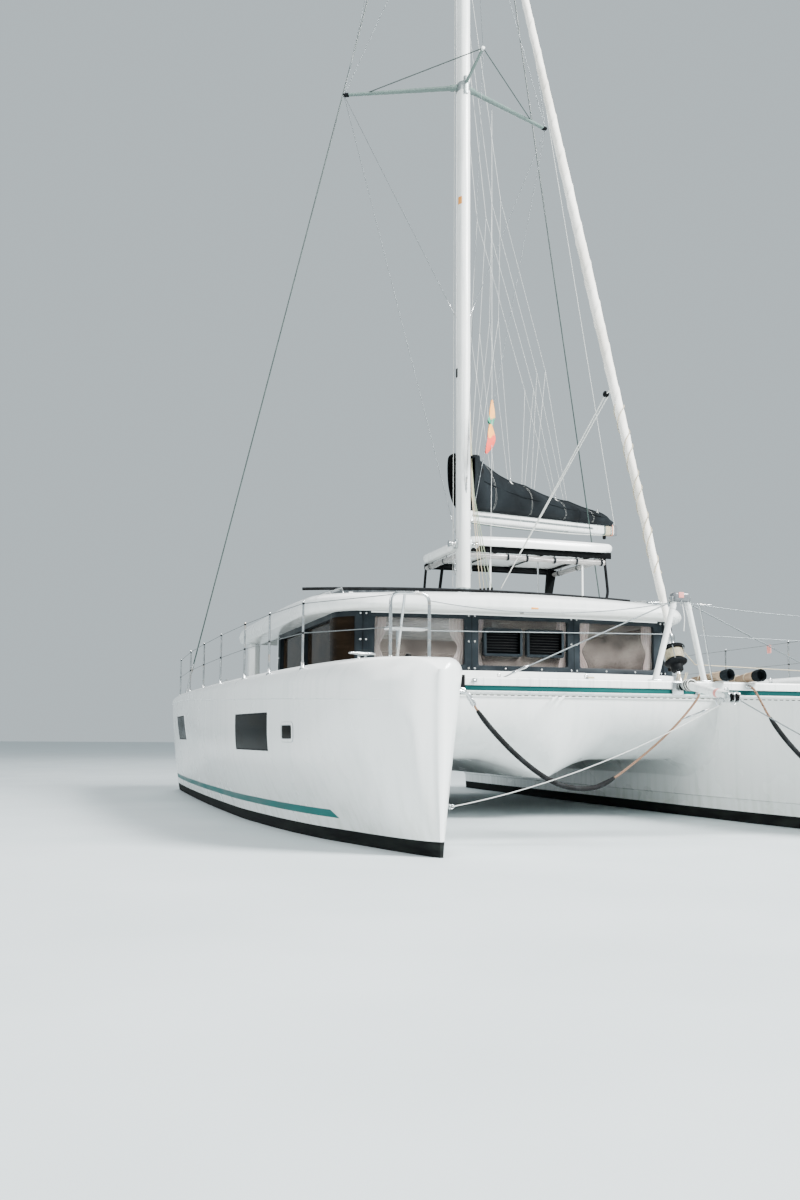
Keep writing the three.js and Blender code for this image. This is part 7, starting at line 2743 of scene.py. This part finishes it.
def make_underwater(name, side):
    x = side * HULL_X
    keel = Piece(f"keel_fin_{name}")
    fin(keel, x, [(-0.4, 0.345, 2.32, 0.325), (-0.8, 0.385, 1.98, 0.276), (-1.19, 0.426, 1.67, 0.234),
                  (-1.225, 0.43, 1.64, 0.2), (-1.243, 0.432, 1.58, 0.13), (-1.25, 0.433, 1.5, 0.06)],
        BOTTOM)
    keel.done(replaces=[f"keel_{name}"], slot="antifouling")
    drive = Piece(f"saildrive_leg_{name}")
    fin(drive, x, [(-0.4, 3.85, 0.33, 0.12), (-0.6, 3.85, 0.31, 0.11), (-0.95, 3.85, 0.3, 0.1)], BOTTOM)
    drive.lathe([(0.014, -0.2), (0.034, -0.185), (0.048, -0.14), (0.052, -0.06), (0.05, 0.1), (0.044, 0.2),
                 (0.04, 0.22)], (x, 3.85, -0.95), AFT, BOTTOM, 32)
    drive.lathe([(0.047, 0.17), (0.047, 0.205), (0.043, 0.21)], (x, 3.85, -0.95), AFT, ALLOY, 32)
    fin(drive, x, [(-0.72, 3.87, 0.42, 0.16), (-0.712, 3.87, 0.43, 0.168), (-0.705, 3.87, 0.42, 0.16)],
        BOTTOM)
    drive.done(replaces=[f"saildrive_{name}"], slot="antifouling")


def make_propeller(name, side):
    screw = Piece(f"propeller_blades_{name}")
    centre = Vector((side * HULL_X, 4.14, -0.95))
    screw.lathe([(0.036, -0.064), (0.042, -0.058), (0.04, 0), (0.03, 0.058), (0.016, 0.065)], centre, AFT,
                BRONZE, 32)
    for blade in turns(3):
        spin = Matrix.Rotation(blade, 4, "Y")
        rings = []
        for t in spread(0, 1, 10):
            radius = 0.03 + 0.188 * t
            belly = math.sin(math.pi * min(1, t * 0.62 + 0.12))
            chord = 0.05 + 0.07 * belly - 0.085 * max(0, t - 0.7) ** 1.2 / 0.3
            pitch = math.radians(62 - 34 * t)
            thick = 0.13 - 0.09 * t
            ring = []
            for across, along in foil(chord, thick * chord, 8):
                u = along * math.cos(pitch) - across * math.sin(pitch)
                v = along * math.sin(pitch) + across * math.cos(pitch)
                ring.append(centre + spin @ Vector((u, v * 0.8, radius)))
            rings.append(ring)
        screw.skin(rings, BRONZE)
    screw.done(body=f"propeller_{name}", replaces=[f"propeller_{name}"], slot="bronze")


def make_rudder(name, side):
    x = side * HULL_X
    rudder = Piece(f"rudder_blade_{name}")
    top = Vector((x, 5.25, -0.47))
    fin(rudder, x, [(-0.49, 5.33, 0.47, 0.074), (-0.8, 5.322, 0.41, 0.062), (-1.14, 5.312, 0.34, 0.048),
                    (-1.162, 5.31, 0.325, 0.038), (-1.17, 5.308, 0.3, 0.02)], BOTTOM)
    rudder.rod(top + Vector((0, 0, -0.06)), top + Vector((0, 0, -0.0004)), 0.032, STEEL, sides=24)
    rudder.done(body=f"rudder_{name}", replaces=[f"rudder_{name}"], slot="antifouling")


def stern_gear(name, side):
    """Engine lids on the aft decks and a folded swim ladder on the starboard stern."""
    lids = Piece(f"stern_gear_{name}")
    low, high = sorted((side * (HULL_X - 0.38), side * (HULL_X + 0.34)))
    lids.inlay(((low, 3.35), (high, 4.0), 0.05), flat_top(DECK_Z), [
        (0, -0.004, BLACK), (0, 0.001, BLACK), (0.006, 0.001, BLACK), (0.007, 0.008, GELCOAT),
        (0.05, 0.008, GELCOAT), (0.054, 0.0095, DECK), (0.2, 0.0095, DECK)])
    for x in (low + 0.14, high - 0.14):
        lids.lathe([(0.024, 0), (0.024, 0.012), (0.012, 0.013)], (x, 3.93, DECK_Z), UP, STEEL, 20)
    for out in (-0.25, 0.62):
        cleat(lids, at_side(side, out, 5.9 if out < 0 else 5.95, 0.332), 0, 0.2)
    if side < 0:
        for out in (-0.02, 0.34):
            lids.tube(bend([at_side(side, out, 6.3, 0.345), at_side(side, out, 6.3, 0.72),
                            at_side(side, out, 6.2, 0.74)], 0.05), 0.012, STEEL, 14)
        for z in (0.44, 0.54, 0.64):
            lids.soft_box(at_side(side, 0.34, 6.285, z - 0.008), at_side(side, -0.02, 6.33, z + 0.008),
                          0.005, STEEL)
    lids.done(slot="deck")


make_roof_posts()
make_benches()
make_cockpit_table()
make_cockpit_sole()
make_door_gear()
make_helm_platform()
make_helm_console()
make_wheel()
make_helm_seat()
make_cabin()
for name, side in SIDES.items():
    make_underwater(name, side)
    make_propeller(name, side)
    make_rudder(name, side)
    stern_gear(name, side)
refinish(GELCOAT, "saloon_bulkhead")
refinish(GREY, "saloon_door")


# Studio: a pale floor at the waterline and soft light

# Each soft light's place, the length of its side and its power
LIGHTS = [("key", (16, -22, 22), 10, 44000), ("fill", (-20, -12, 14), 16, 4500),
          ("rear", (4, 26, 24), 18, 3000)]
LIGHTS_AIM = (0, 0, 3)


def make_studio():
    mesh = bpy.data.meshes.new("floor")
    mesh.from_pydata([(-90, -60, 0), (90, -60, 0), (90, 160, 0), (-90, 160, 0)], [], [(0, 1, 2, 3)])
    mesh.materials.append(floor_paint())
    linked("floor", mesh)
    world = bpy.data.worlds.new("studio")
    bpy.context.scene.world = world
    world.use_nodes = True
    backdrop = world.node_tree.nodes["Background"]
    backdrop.inputs["Color"].default_value = linear("#c0ccd1")
    backdrop.inputs["Strength"].default_value = 1.1
    for label, place, size, power in LIGHTS:
        lamp = bpy.data.lights.new(label, "AREA")
        lamp.size = size
        lamp.energy = power
        light = linked(label, lamp)
        aim = Vector(LIGHTS_AIM) - Vector(place)
        light.matrix_world = Matrix.Translation(place) @ aim.to_track_quat("-Z", "Y").to_matrix().to_4x4()


make_studio()
